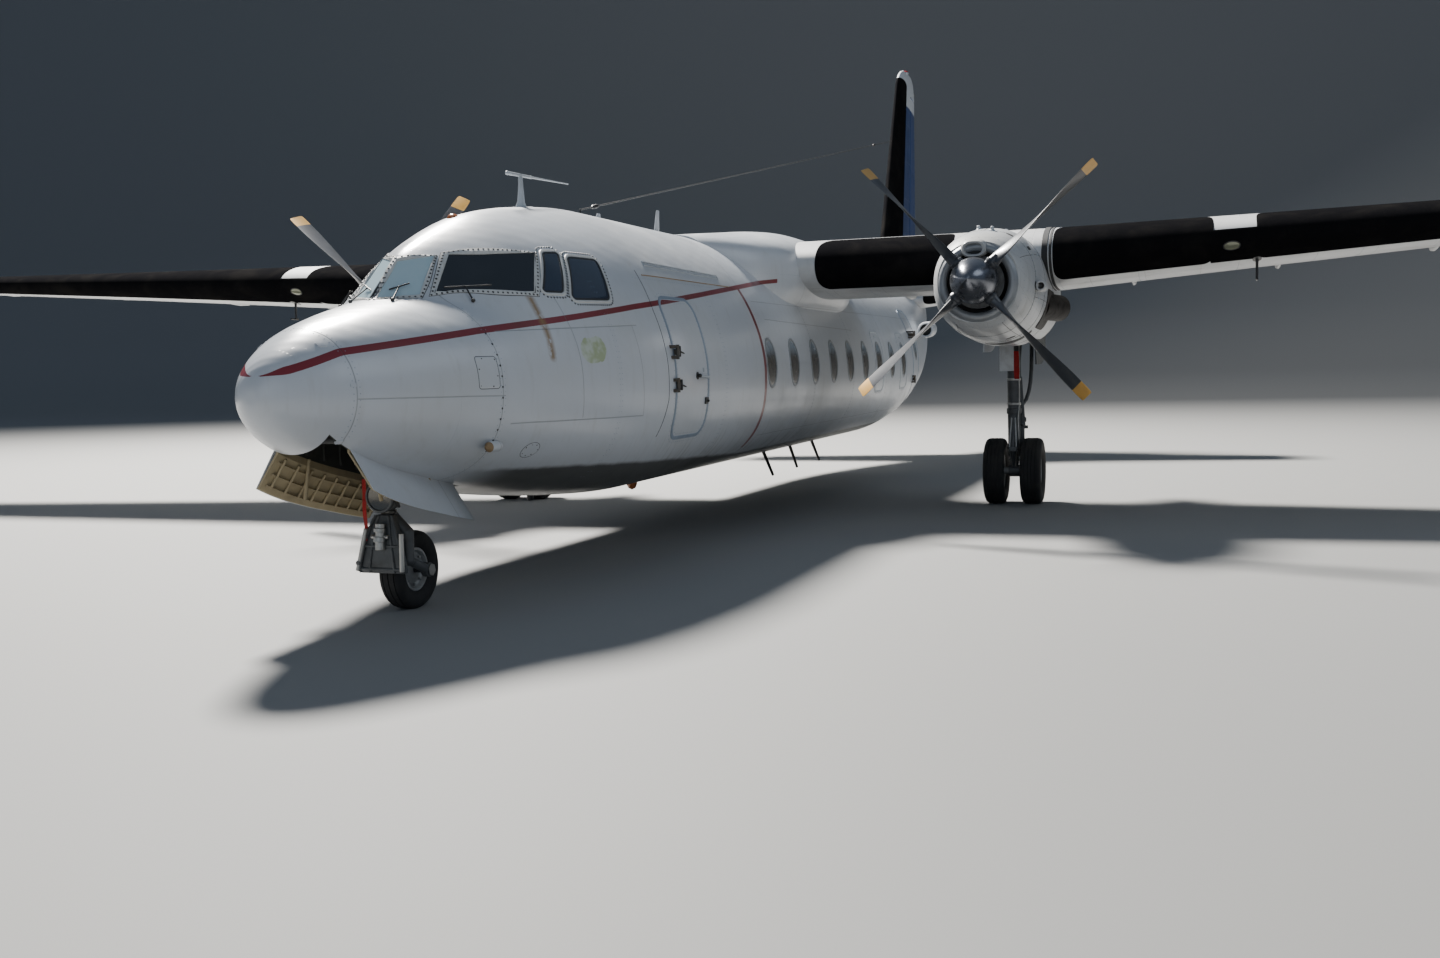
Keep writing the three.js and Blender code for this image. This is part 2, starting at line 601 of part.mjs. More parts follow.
addMesh(
  'forward_fuselage',
  cutBy(
    joined(fuselagePiece(JOINT_Y.cockpit, JOINT_Y.forward), ...hingesOf('forward'), tAerial),
    ...crewDoorway,
  ),
  WHITE_PAINT,
);
addMesh(
  'centre_fuselage',
  cutBy(joined(fuselagePiece(JOINT_Y.forward, JOINT_Y.centre), bladeAerial), wingRoom),
  WHITE_PAINT,
);
// The after cabin is hollow over its floor; both rear doors open into it.
const AFT_CABIN = { wall: 140, floor: 1120, to: 18700 };
const aftCabin = fuselageLength(JOINT_Y.centre - 100, AFT_CABIN.to, -AFT_CABIN.wall)
  .intersect(box([-CABIN_HALF_WIDTH, 0, AFT_CABIN.floor], [CABIN_HALF_WIDTH, LENGTH, 4000]));
addMesh(
  'aft_fuselage',
  cutBy(joined(fuselagePiece(JOINT_Y.centre, JOINT_Y.aft), ...hingesOf('aft')), ...aftDoorways, aftCabin),
  WHITE_PAINT,
);
addMesh('tail_cone', cutBy(fuselageLength(JOINT_Y.aft, LENGTH), tailRoom), WHITE_PAINT);

// The fairing that hides where the wing crosses the fuselage
const FAIRING_SECTIONS = [
  { y: 7600, half: 500, top: 3445 },
  { y: 8200, half: 980, top: 3505 },
  { y: 8800, half: 1200, top: 3560 },
  { y: 9800, half: 1290, top: 3640 },
  { y: 11000, half: 1290, top: 3620 },
  { y: 12300, half: 1050, top: 3530 },
  { y: 13350, half: 500, top: 3440 },
];
const FAIRING_BASE_Z = 2950;
const FAIRING_POINTS = 14;
const fairing = loft(FAIRING_SECTIONS.map(({ y, half, top }) =>
  Array.from({ length: FAIRING_POINTS }, (_, i) => {
    const angle = (PI * i) / (FAIRING_POINTS - 1);
    const across = sign(cos(angle)) * abs(cos(angle)) ** 0.7;
    return [half * across, y, FAIRING_BASE_Z + (top - FAIRING_BASE_Z) * abs(sin(angle)) ** 0.7];
  })));
const fairingOver = cutBy(fairing, fuselageLength(JOINT_Y.cockpit, JOINT_Y.aft, SEAM), wingRoom);
addMesh('wing_fairing', fairingOver.decompose().sort((a, b) => b.volume() - a.volume())[0], WHITE_PAINT);

// Nacelles

const NACELLE_POINTS = 20;
const NACELLE_POWER = 2.2;
const LIP_Y = 7480;
const NACELLE_SECTIONS = [
  { y: LIP_Y, half: 425, top: 3165, mid: ENGINE_Z, bottom: 2315 },
  { y: 7620, half: 490, top: 3235, mid: ENGINE_Z, bottom: 2245 },
  { y: 8000, half: 555, top: 3330, mid: ENGINE_Z, bottom: 2170 },
  { y: 8600, half: 595, top: 3400, mid: ENGINE_Z, bottom: 2110 },
  { y: 9500, half: 600, top: 3400, mid: 2720, bottom: 2065 },
  { y: 10800, half: 590, top: 3330, mid: 2700, bottom: 2060 },
  { y: 11700, half: 480, top: 3180, mid: 2740, bottom: 2230 },
  { y: 12400, half: 300, top: 3110, mid: 2820, bottom: 2530 },
  { y: 12950, half: 60, top: 2990, mid: 2920, bottom: 2860 },
];
const nacelleBlank = loft(NACELLE_SECTIONS.map(({ y, half, top, mid, bottom }) =>
  Array.from({ length: NACELLE_POINTS }, (_, i) => {
    const angle = (2 * PI * i) / NACELLE_POINTS;
    const across = sign(cos(angle)) * abs(cos(angle)) ** (2 / NACELLE_POWER);
    const up = sign(sin(angle)) * abs(sin(angle)) ** (2 / NACELLE_POWER);
    return [ENGINE_X + half * across, y, mid + up * (sin(angle) > 0 ? top - mid : mid - bottom)];
  })));

// The bore takes the air in round the spinner and holds the engine.
const BORE_RADIUS = 395;
const ENGINE_FROM = 7520;
const ENGINE_TO = 8860;
const engineBore = bar(
  [ENGINE_X, LIP_Y - 50, ENGINE_Z],
  [ENGINE_X, ENGINE_TO + SEAM, ENGINE_Z],
  BORE_RADIUS,
  { sides: 24 },
);

// The oil cooler's own intake above the spinner, and its fairing
const COOLER = { half: 85, height: 50, z: ENGINE_Z + 415, depth: 260 };
const coolerIntake = box(
  [ENGINE_X - COOLER.half, LIP_Y - 50, COOLER.z - COOLER.height / 2],
  [ENGINE_X + COOLER.half, LIP_Y + COOLER.depth, COOLER.z + COOLER.height / 2],
);
const coolerFairing = loft([[LIP_Y - 25, 120, 62], [LIP_Y + 250, 150, 80], [LIP_Y + 700, 60, 20]].map(
  ([y, half, height]) => Array.from({ length: 12 }, (_, i) => {
    const angle = (2 * PI * i) / 12;
    return [ENGINE_X + half * cos(angle), y, COOLER.z + (y - LIP_Y) * 0.16 + height * sin(angle)];
  }),
));

// The bay for the main gear, open below
const MAIN_BAY = { half: 330, from: 10250, to: 12050, roof: 2620 };
const mainBay = box(
  [ENGINE_X - MAIN_BAY.half, MAIN_BAY.from, 0],
  [ENGINE_X + MAIN_BAY.half, MAIN_BAY.to, MAIN_BAY.roof],
);

// The exhaust leaves through the outboard side, under the wing.
const EXHAUST = { from: [4050, 9250, 2530], to: [4290, 9900, 2500], radius: 175, wall: 9, floor: 0.15 };
const alongExhaust = (share) => EXHAUST.from.map((start, i) => start + share * (EXHAUST.to[i] - start));
const exhaustRoom = bar(alongExhaust(-0.002), alongExhaust(1.5), EXHAUST.radius + SEAM, { sides: 20 });
const exhaust = cutBy(
  bar(EXHAUST.from, EXHAUST.to, EXHAUST.radius, { sides: 20 }),
  bar(alongExhaust(EXHAUST.floor), alongExhaust(2), EXHAUST.radius - EXHAUST.wall, { sides: 20 }),
);

const nacelle = cutBy(
  joined(nacelleBlank, coolerFairing),
  wingRoom,
  engineBore,
  coolerIntake,
  mainBay,
  exhaustRoom,
);
addPair('nacelle', nacelle, WHITE_PAINT);
addPair('exhaust', exhaust, HEATED_STEEL);

// The engine is one plain block: a nose case inside the intake, the case in the bore, and the shaft.
const SHAFT_RADIUS = 70;
const HUB_BACK_Y = PROPELLER_Y + 150;
const engine = joined(
  bar([ENGINE_X, ENGINE_FROM, ENGINE_Z], [ENGINE_X, 7900, ENGINE_Z], 285, { endRadius: 300, sides: 24 }),
  bar([ENGINE_X, 7899, ENGINE_Z], [ENGINE_X, ENGINE_TO, ENGINE_Z], BORE_RADIUS - SEAM, { sides: 24 }),
  bar([ENGINE_X, HUB_BACK_Y + SEAM, ENGINE_Z], [ENGINE_X, ENGINE_FROM + 1, ENGINE_Z], SHAFT_RADIUS),
);
addPair('engine', engine, ENGINE_GREY);

// Propellers: four blades on a hub, inside a spinner

const HUB_RADIUS = 130;
const BLADE_ROOT_RADIUS = 72;
const BLADE_AZIMUTH = { port: radians(47), starboard: radians(43) };
// Blade sections: distance from the axis, chord, thickness and the angle from the disc's plane. The
// blades are feathered, as on a parked propeller.
const BLADE_SECTIONS = [
  { r: 330, chord: 190, thick: 96, angle: 122 },
  { r: 520, chord: 270, thick: 58, angle: 112 },
  { r: 850, chord: 300, thick: 38, angle: 98 },
  { r: 1250, chord: 285, thick: 24, angle: 86 },
  { r: 1550, chord: 235, thick: 16, angle: 76 },
  { r: PROPELLER_RADIUS, chord: 110, thick: 9, angle: 70 },
];
const BLADE_RING = [
  [0.5, 0], [0.3, 0.3], [0, 0.5], [-0.3, 0.42], [-0.5, 0], [-0.3, -0.3], [0, -0.4], [0.3, -0.22],
];

// One blade standing up from the axis, with its root.
function propellerBlade() {
  const rings = BLADE_SECTIONS.map(({ r, chord, thick, angle }) => BLADE_RING.map(([along, through]) => {
    const turn = radians(angle);
    const [u, v] = [along * chord, through * thick];
    return [u * cos(turn) - v * sin(turn), u * sin(turn) + v * cos(turn), r];
  }));
  return joined(loft(rings), bar([0, 0, 0], [0, 0, 360], BLADE_ROOT_RADIUS, { endRadius: 55 }));
}

function fourTimes(solid, azimuth) {
  const first = THREE.MathUtils.radToDeg(azimuth);
  return joined(...[0, 1, 2, 3].map((turn) => solid.rotate([0, first + 90 * turn, 0])));
}

const SPINNER_RADIUS = 268;
// The spinner's outline: distance ahead of its back, radius.
const SPINNER_PROFILE = [
  [0, 255], [190, SPINNER_RADIUS], [340, 246], [480, 190], [590, 112], [645, 45], [660, 0],
];
const spinnerBackY = HUB_BACK_Y + 20;

function propeller(azimuth) {
  const hub = bar([0, -150, 0], [0, HUB_BACK_Y - PROPELLER_Y, 0], HUB_RADIUS, { sides: 16 });
  return joined(hub, fourTimes(propellerBlade(), azimuth)).translate([ENGINE_X, PROPELLER_Y, ENGINE_Z]);
}

function spinner(azimuth) {
  const profile = [[0, 0], ...SPINNER_PROFILE].map(([ahead, radius]) => new THREE.Vector2(radius, ahead));
  const body = new THREE.LatheGeometry(profile, 24);
  body.rotateX(PI);
  const shell = solidFromGeometry(body);
  const room = joined(
    bar([0, 50, 0], [0, -(spinnerBackY - PROPELLER_Y) - 150 - SEAM, 0], HUB_RADIUS + SEAM, { sides: 16 }),
    fourTimes(bar([0, 0, 0], [0, 0, 400], BLADE_ROOT_RADIUS + 14, { sides: 12 }), azimuth)
      .translate([0, -(spinnerBackY - PROPELLER_Y), 0]),
  );
  return shell.subtract(room).translate([ENGINE_X, spinnerBackY, ENGINE_Z]);
}

for (const [hand, azimuth] of Object.entries(BLADE_AZIMUTH)) {
  const side = hand === 'port' ? 1 : -1;
  const place = (solid) => (side > 0 ? solid : solid.translate([-2 * ENGINE_X, 0, 0]));
  addMesh(`propeller_${hand}`, place(propeller(azimuth)), DARK_PAINT);
  addMesh(`spinner_${hand}`, place(spinner(azimuth)), POLISHED_ALUMINIUM);
}

// Wheels and tyres

const TYRE_SIDES = 20;
// Tyre outline as [share of the radius, share of the half width], from bead to bead over the tread.
const TYRE_OUTLINE = [
  [0.56, -0.62], [0.8, -1], [0.94, -0.84], [1, -0.5], [1, 0.5], [0.94, 0.84], [0.8, 1], [0.56, 0.62],
];

// A ring about an x axis; each ring's lowest vertices lie straight below its centre, over the ground.
function tyre(radius, width, centre) {
  const outline = [...TYRE_OUTLINE, TYRE_OUTLINE[0]];
  const points = outline.map(([r, w]) => new THREE.Vector2(r * radius, (w * width) / 2));
  const geometry = new THREE.LatheGeometry(points, TYRE_SIDES);
  geometry.rotateZ(-PI / 2);
  geometry.rotateX(-NOSE_DOWN);
  geometry.translate(...centre);
  return solidFromGeometry(geometry);
}

// A wheel inside its tyre: a dished rim on a hub, with a bore where it turns on a fixed axle.
function wheelRim(tyreRadius, width, centre, boreRadius = 0) {
  const bead = tyreRadius * 0.56 - SEAM;
  const flange = bead - 26;
  const half = width / 2;
  const profile = [
    [boreRadius, -half * 0.5], [tyreRadius * 0.2, -half * 0.5], [flange, -half * 0.25],
    [flange, -half * 0.62], [bead, -half * 0.62], [bead, half * 0.62],
    [flange, half * 0.62], [flange, half * 0.25], [tyreRadius * 0.2, half * 0.5], [boreRadius, half * 0.5],
  ];
  const closed = boreRadius ? [...profile, profile[0]] : profile;
  const geometry = new THREE.LatheGeometry(closed.map(([r, w]) => new THREE.Vector2(r, w)), TYRE_SIDES);
  geometry.rotateZ(-PI / 2);
  geometry.rotateX(-NOSE_DOWN);
  geometry.translate(...centre);
  return solidFromGeometry(geometry);
}

// Main gear

const MAIN_TYRE = { radius: 432, width: 273 };
const TWIN_OFFSET = 235; // from the leg to the middle of each tyre
const AXLE_RADIUS = 45;
const AXLE_CLEARANCE = 0.9;
const MAIN_AXLE = [ENGINE_X, MAIN_WHEEL_Y, aboveGround(MAIN_WHEEL_Y, MAIN_TYRE.radius)];
const LEG_TOP_Z = 2480;
const LEG_RAKE = 40; // the leg's top lies this far ahead of the axle

const shifted = ([x, y, z], dx, dy = 0, dz = 0) => [x + dx, y + dy, z + dz];
const legTop = [ENGINE_X, MAIN_WHEEL_Y - LEG_RAKE, LEG_TOP_Z];
const legKnee = [ENGINE_X, MAIN_WHEEL_Y - LEG_RAKE * 0.45, 1180];
const mainLeg = cutBy(
  joined(
    bar(legKnee, legTop, 82),
    bar(shifted(MAIN_AXLE, 0, 0, 20), legKnee, 56),
    bar(shifted(legTop, -MAIN_BAY.half + SEAM), shifted(legTop, MAIN_BAY.half - SEAM), 52),
    bar(shifted(MAIN_AXLE, -72), shifted(MAIN_AXLE, 72), 78, { sides: 24 }),
    bar(shifted(legKnee, 0, 60, 60), [ENGINE_X, MAIN_WHEEL_Y + 950, MAIN_BAY.roof - 60], 36),
    bar([ENGINE_X - MAIN_BAY.half + SEAM, MAIN_WHEEL_Y + 950, MAIN_BAY.roof - 60],
      [ENGINE_X + MAIN_BAY.half - SEAM, MAIN_WHEEL_Y + 950, MAIN_BAY.roof - 60], 34),
    box([ENGINE_X - 30, MAIN_WHEEL_Y - 190, 700], [ENGINE_X + 30, MAIN_WHEEL_Y - 60, 760]),
    bar([ENGINE_X, MAIN_WHEEL_Y - 185, 730], [ENGINE_X, MAIN_WHEEL_Y - 70, 1150], 24, { sides: 8 }),
    bar([ENGINE_X, MAIN_WHEEL_Y - 185, 730], [ENGINE_X, MAIN_WHEEL_Y - 40, 480], 24, { sides: 8 }),
  ),
  bar(shifted(MAIN_AXLE, -400), shifted(MAIN_AXLE, 400), AXLE_RADIUS + AXLE_CLEARANCE, { sides: 24 }),
);
const mainRim = (way) => wheelRim(MAIN_TYRE.radius, MAIN_TYRE.width, shifted(MAIN_AXLE, way * TWIN_OFFSET));
const twinWheels = joined(
  mainRim(-1),
  mainRim(1),
  bar(shifted(MAIN_AXLE, -TWIN_OFFSET), shifted(MAIN_AXLE, TWIN_OFFSET), AXLE_RADIUS, { sides: 24 }),
);
addPair('main_gear_leg', mainLeg, GEAR_GREY);
addPair('main_wheels', twinWheels, GEAR_GREY);
for (const [place, way] of [['outer', 1], ['inner', -1]]) {
  const centre = shifted(MAIN_AXLE, way * TWIN_OFFSET);
  addPair(`main_tyre_${place}`, tyre(MAIN_TYRE.radius, MAIN_TYRE.width, centre), TYRE_RUBBER);
}

// A door that hangs open from the edge of a bay: a lip inside the bay, then a leaf that splays outwards.
function hangingDoor({ stations, middle, edge, half, drop, splay, side, skirt }) {
  const LIP_ABOVE = 30;
  const LIP_BELOW = 22;
  const near = edge - SEAM - 2 * half;
  const far = edge - SEAM;
  const [out, down] = [sin(splay) * drop, cos(splay) * drop];
  return loft(stations.map((y) => {
    const z = skirt(y);
    const corners = [
      [near, z + LIP_ABOVE], [far, z + LIP_ABOVE], [far, z - LIP_BELOW], [far + out, z - LIP_BELOW - down],
      [near + out, z - LIP_BELOW - down], [near, z - LIP_BELOW],
    ];
    return corners.map(([x, height]) => [middle + side * x, y, height]);
  }));
}

// Main gear doors hang open from both sides of the bay; the inner one is a short flap.
const MAIN_DOOR_DROP = { outer: 300, inner: 130 };
function nacelleSkirt(y) {
  const next = NACELLE_SECTIONS.findIndex((section) => section.y >= y);
  const [a, b] = [NACELLE_SECTIONS[next - 1], NACELLE_SECTIONS[next]];
  const mix = (key) => THREE.MathUtils.lerp(a[key], b[key], (y - a.y) / (b.y - a.y));
  const reach = min(MAIN_BAY.half / mix('half'), 1);
  return mix('mid') - (mix('mid') - mix('bottom')) * (1 - reach ** NACELLE_POWER) ** (1 / NACELLE_POWER);
}
const mainDoor = (side, drop) => hangingDoor({
  stations: [MAIN_BAY.from + 20, 10800, 11500],
  middle: ENGINE_X,
  edge: MAIN_BAY.half,
  half: 9,
  drop,
  splay: radians(2),
  side,
  skirt: nacelleSkirt,
});
addPair('main_gear_door_outer', mainDoor(1, MAIN_DOOR_DROP.outer), WHITE_PAINT);
addPair('main_gear_door_inner', mainDoor(-1, MAIN_DOOR_DROP.inner), WHITE_PAINT);

// Nose gear

const NOSE_TYRE = { radius: 305, width: 196 };
const NOSE_AXLE = [0, NOSE_WHEEL_Y, aboveGround(NOSE_WHEEL_Y, NOSE_TYRE.radius)];
const NOSE_AXLE_RADIUS = 26;
const NOSE_LEG_Y = NOSE_WHEEL_Y - 240; // the wheel trails the steering axis
const NOSE_LEG_TOP = [0, NOSE_LEG_Y, 1400];
const NOSE_LEG_FOOT = [0, NOSE_LEG_Y, 905];
const NOSE_PISTON_RADIUS = 45;
const FORK_CROWN_Z = 830;
const FORK_ARM_X = NOSE_TYRE.width / 2 + 62;
const FORK_ELBOW_Z = 510;
const TOW_FACE_X = FORK_ARM_X + 40; // the axle's flat ends, where a tow bar goes

const noseLeg = cutBy(
  joined(
    bar(NOSE_LEG_FOOT, NOSE_LEG_TOP, 74, { sides: 24 }),
    bar([-BAY.half + SEAM, NOSE_LEG_Y, 1330], [BAY.half - SEAM, NOSE_LEG_Y, 1330], 42),
    bar([0, NOSE_LEG_Y, 1010], [0, BAY.from + 620, 1450], 28),
    bar([-BAY.half + SEAM, BAY.from + 620, 1450], [BAY.half - SEAM, BAY.from + 620, 1450], 26),
  ),
  bar([0, NOSE_LEG_Y, 500], [0, NOSE_LEG_Y, 1200], NOSE_PISTON_RADIUS + AXLE_CLEARANCE, { sides: 24 }),
);
function forkArm(way) {
  const crown = [way * 40, NOSE_LEG_Y, FORK_CROWN_Z];
  const shoulder = [way * FORK_ARM_X, NOSE_LEG_Y - 10, FORK_CROWN_Z - 110];
  const elbow = [way * FORK_ARM_X, NOSE_LEG_Y - 20, FORK_ELBOW_Z];
  const foot = [way * FORK_ARM_X, NOSE_WHEEL_Y, NOSE_AXLE[2]];
  return joined(bar(crown, shoulder, 44), bar(shoulder, elbow, 44), bar(elbow, foot, 36));
}
const noseFork = joined(
  bar([0, NOSE_LEG_Y, FORK_CROWN_Z], [0, NOSE_LEG_Y, 1180], NOSE_PISTON_RADIUS, { sides: 24 }),
  bar([-60, NOSE_LEG_Y, FORK_CROWN_Z], [60, NOSE_LEG_Y, FORK_CROWN_Z], 46),
  forkArm(-1),
  forkArm(1),
  bar(shifted(NOSE_AXLE, -TOW_FACE_X), shifted(NOSE_AXLE, TOW_FACE_X), NOSE_AXLE_RADIUS, { sides: 24 }),
);
addMesh('nose_gear_leg', noseLeg, GEAR_GREY);
addMesh('nose_gear_fork', noseFork, GEAR_GREY);
const noseRim = wheelRim(NOSE_TYRE.radius, NOSE_TYRE.width, NOSE_AXLE, NOSE_AXLE_RADIUS + AXLE_CLEARANCE);
addMesh('nose_wheel', noseRim, GEAR_GREY);
addMesh('nose_tyre', tyre(NOSE_TYRE.radius, NOSE_TYRE.width, NOSE_AXLE), TYRE_RUBBER);

// The bay's doors, hinged along its edges and hanging open
function noseSkirt(y) {
  const { half, wide, bottom, lower } = fuselageSectionAt(y);
  const reach = min(BAY.half / half, 1);
  return wide - (wide - bottom) * (1 - reach ** lower) ** (1 / lower);
}
addPair('nose_gear_door', hangingDoor({
  stations: [620, 900, 1350, 1960],
  middle: 0,
  edge: BAY.half,
  half: 8,
  drop: 310,
  splay: radians(35),
  side: 1,
  skirt: noseSkirt,
}), PRIMER_TAN);

// Centre the level airframe's two ends over the origin once it stands nose down.
const standingY = ([, y, z]) => (y - MAIN_WHEEL_Y) * cos(NOSE_DOWN) - z * sin(NOSE_DOWN);
attitude.position.y = -(standingY([0, 0, 1780]) + standingY([0, LENGTH, 3160])) / 2;

export default part;
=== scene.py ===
import math

import bmesh
import bpy
import numpy as np
from mathutils import Matrix, Vector


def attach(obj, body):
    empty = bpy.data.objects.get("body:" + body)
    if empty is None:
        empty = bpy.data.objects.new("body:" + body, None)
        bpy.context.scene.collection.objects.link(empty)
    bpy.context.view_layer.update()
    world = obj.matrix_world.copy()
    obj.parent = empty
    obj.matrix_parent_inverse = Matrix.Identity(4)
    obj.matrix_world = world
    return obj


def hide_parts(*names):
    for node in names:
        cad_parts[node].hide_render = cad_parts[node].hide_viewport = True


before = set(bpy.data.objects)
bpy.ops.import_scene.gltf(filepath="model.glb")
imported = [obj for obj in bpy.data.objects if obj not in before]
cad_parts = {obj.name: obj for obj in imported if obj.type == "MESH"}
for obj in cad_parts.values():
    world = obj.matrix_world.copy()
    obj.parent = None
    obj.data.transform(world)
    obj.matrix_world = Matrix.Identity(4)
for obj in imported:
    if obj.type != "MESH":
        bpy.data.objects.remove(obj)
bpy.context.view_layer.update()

# The camera stands ahead of the left wing, at a standing person's height, and looks back along the
# left side of the nose. Its place and its turn were solved from the photograph.
EYE = Vector((5.707, -19.055, 1.738))
LOOK = {"yaw": 19.02, "down": 4.29, "roll": -1.26}
camera_data = bpy.data.cameras.new("camera")
camera_data.sensor_width = 36.0
camera_data.lens = 33.72
camera_data.clip_end = 400.0
camera = bpy.data.objects.new("camera", camera_data)
turn = Matrix.Rotation(math.radians(LOOK["yaw"]), 4, "Z")
turn = turn @ Matrix.Rotation(math.radians(90 - LOOK["down"]), 4, "X")
turn = turn @ Matrix.Rotation(math.radians(LOOK["roll"]), 4, "Z")
camera.matrix_world = Matrix.Translation(EYE) @ turn
bpy.context.collection.objects.link(camera)
bpy.context.scene.camera = camera

# The floor is plain and pale and runs up behind the aircraft in one sweep. Three broad soft lights
# and a pale surrounding light it, the strongest from its left and behind as the sun stood.
FLOOR_HALF = 170.0


def area_light(name, place, aim, size, power, tint):
    data = bpy.data.lights.new(name, "AREA")
    data.shape = "DISK"
    data.size = size
    data.energy = power
    data.color = tint
    lamp = bpy.data.objects.new(name, data)
    lamp.location = place
    lamp.rotation_euler = (Vector(aim) - Vector(place)).to_track_quat("-Z", "Y").to_euler()
    bpy.context.collection.objects.link(lamp)


area_light("high_behind", (-19, 15, 33), (0, -3, 2), 7, 88000, (1.0, 0.965, 0.91))
area_light("high_left", (26, -2, 20), (0, -5, 2), 16, 900, (0.86, 0.93, 1.0))
area_light("front_soft", (6, -32, 12), (0, -8, 2), 20, 600, (0.86, 0.93, 1.0))
world = bpy.data.worlds.new("pale_room")
bpy.context.scene.world = world
world.use_nodes = True
world.node_tree.nodes["Background"].inputs["Color"].default_value = (0.58, 0.75, 1.0, 1)
world.node_tree.nodes["Background"].inputs["Strength"].default_value = 0.22

floor_mesh = bpy.data.meshes.new("floor")
sweep = [(-90.0, 0.0), (60.0, 0.0), (70.0, 1.5), (78.0, 6.0), (82.0, 14.0), (84.0, 60.0)]
floor_mesh.from_pydata(
    [(x, y, z) for y, z in sweep for x in (-FLOOR_HALF, FLOOR_HALF)],
    [],
    [(2 * i, 2 * i + 1, 2 * i + 3, 2 * i + 2) for i in range(len(sweep) - 1)],
)
floor_mesh.shade_smooth()
floor = bpy.data.objects.new("floor", floor_mesh)
bpy.context.collection.objects.link(floor)
floor_finish = bpy.data.materials.new("floor")
floor_finish.use_nodes = True
floor_shader = floor_finish.node_tree.nodes["Principled BSDF"]
floor_shader.inputs["Base Color"].default_value = (0.28, 0.28, 0.275, 1)
floor_shader.inputs["Roughness"].default_value = 0.75
floor_mesh.materials.append(floor_finish)

# Fuselage skin: aluminium sheets riveted to rings, in lengths that meet at butt joints, painted white.
# Its sections are rounder above and fuller below their widest level; the nose is nearly round.
NOSE_DOWN = math.radians(0.6)
# the main wheels' place aft of the nose tip, and how far ahead of the frame's origin they stand
WHEELS_AFT = 10.75
WHEELS_AHEAD = 1.00408
STAND = (
    Matrix.Translation((0, -WHEELS_AHEAD, 0))
    @ Matrix.Rotation(NOSE_DOWN, 4, "X")
    @ Matrix.Translation((0, -WHEELS_AFT, 0))
)
# aft of the nose tip, half width, top, widest level, bottom, upper and lower squareness
SECTIONS = np.array([
    (0.00, 0.024, 1.810, 1.780, 1.750, 2.00, 2.00),
    (0.03, 0.112, 1.900, 1.780, 1.660, 2.00, 2.00),
    (0.15, 0.245, 2.035, 1.782, 1.530, 2.00, 2.00),
    (0.32, 0.358, 2.145, 1.786, 1.425, 2.00, 2.00),
    (0.52, 0.452, 2.240, 1.790, 1.345, 2.00, 2.00),
    (0.90, 0.610, 2.350, 1.798, 1.245, 2.05, 2.15),
    (1.35, 0.775, 2.450, 1.806, 1.150, 2.10, 2.30),
    (1.45, 0.809, 2.472, 1.808, 1.131, 1.20, 2.33),
    (1.70, 0.890, 2.730, 1.812, 1.080, 1.25, 2.40),
    (1.86, 0.940, 2.850, 1.815, 1.048, 1.35, 2.40),
    (2.02, 0.985, 2.930, 1.817, 1.017, 1.44, 2.43),
    (2.42, 1.090, 3.090, 1.821, 0.948, 1.64, 2.50),
    (2.90, 1.190, 3.245, 1.825, 0.870, 1.76, 2.55),
    (3.70, 1.295, 3.375, 1.830, 0.785, 1.80, 2.60),
    (4.60, 1.350, 3.440, 1.830, 0.735, 1.80, 2.60),
    (14.3, 1.350, 3.440, 1.830, 0.735, 1.80, 2.60),
    (15.6, 1.325, 3.435, 1.850, 0.810, 1.82, 2.50),
    (17.2, 1.210, 3.425, 1.960, 1.080, 1.85, 2.40),
    (18.9, 0.985, 3.415, 2.160, 1.500, 1.90, 2.30),
    (20.6, 0.695, 3.395, 2.440, 2.010, 2.00, 2.15),
    (22.2, 0.395, 3.370, 2.780, 2.520, 2.00, 2.05),
    (23.2, 0.185, 3.335, 3.040, 2.850, 2.00, 2.00),
    (23.558, 0.040, 3.230, 3.150, 3.090, 2.00, 2.00),
])
# the nose runs on as a hood under the windshield and meets the roof in a soft crease
HOOD = [(1.35, 2.45), (1.70, 2.52), (2.02, 2.60), (2.42, 2.72), (2.90, 2.85)]
HOOD_SQUARENESS = 2.1
CREASE_SOFTNESS = 0.03
RING_POINTS = 128
# painted shade: the fuselage's white paint is given as a dimmer, bluer grey, the look of its side in the
# sky's shade
SKY_SHADED_WHITE = (0.56, 0.59, 0.63)
JOINT_RED = (0.215, 0.022, 0.032)


def smooth_through(xs, ys):
    """A curve through the points that never swings past them."""
    xs, ys = np.asarray(xs, float), np.asarray(ys, float)
    step = np.diff(xs)
    slope = np.diff(ys) / step
    tangent = np.zeros(len(xs))
    inner = slope[:-1] * slope[1:] > 0
    blend = np.zeros(len(xs) - 2)
    blend[inner] = 2 / (1 / slope[:-1][inner] + 1 / slope[1:][inner])
    tangent[1:-1] = blend
    tangent[0], tangent[-1] = slope[0], slope[-1]

    def value(x):
        i = int(np.clip(np.searchsorted(xs, x) - 1, 0, len(xs) - 2))
        t = (x - xs[i]) / step[i]
        return (
            ys[i] * (1 + 2 * t) * (1 - t) ** 2 + ys[i + 1] * t * t * (3 - 2 * t)
            + step[i] * (tangent[i] * t * (1 - t) ** 2 - tangent[i + 1] * t * t * (1 - t))
        )

    return value


# the square root spreads the tip's stations, so that the nose is round at its point
section_curves = [smooth_through(np.sqrt(SECTIONS[:, 0]), SECTIONS[:, k]) for k in range(1, 7)]
hood_top = smooth_through(*zip(*HOOD))


def section(aft):
    return [curve(math.sqrt(aft)) for curve in section_curves]


def fade(value, low, high):
    t = min(max((value - low) / (high - low), 0.0), 1.0)
    return t * t * (3 - 2 * t)


def mix(first, second, share):
    return first + share * (second - first)


def bulged(value, power):
    """A sine or cosine drawn out towards a square's corners, with its sign kept."""
    return math.copysign(abs(value) ** power, value)


def round_angles(count):
    return [math.tau * k / count for k in range(count)]


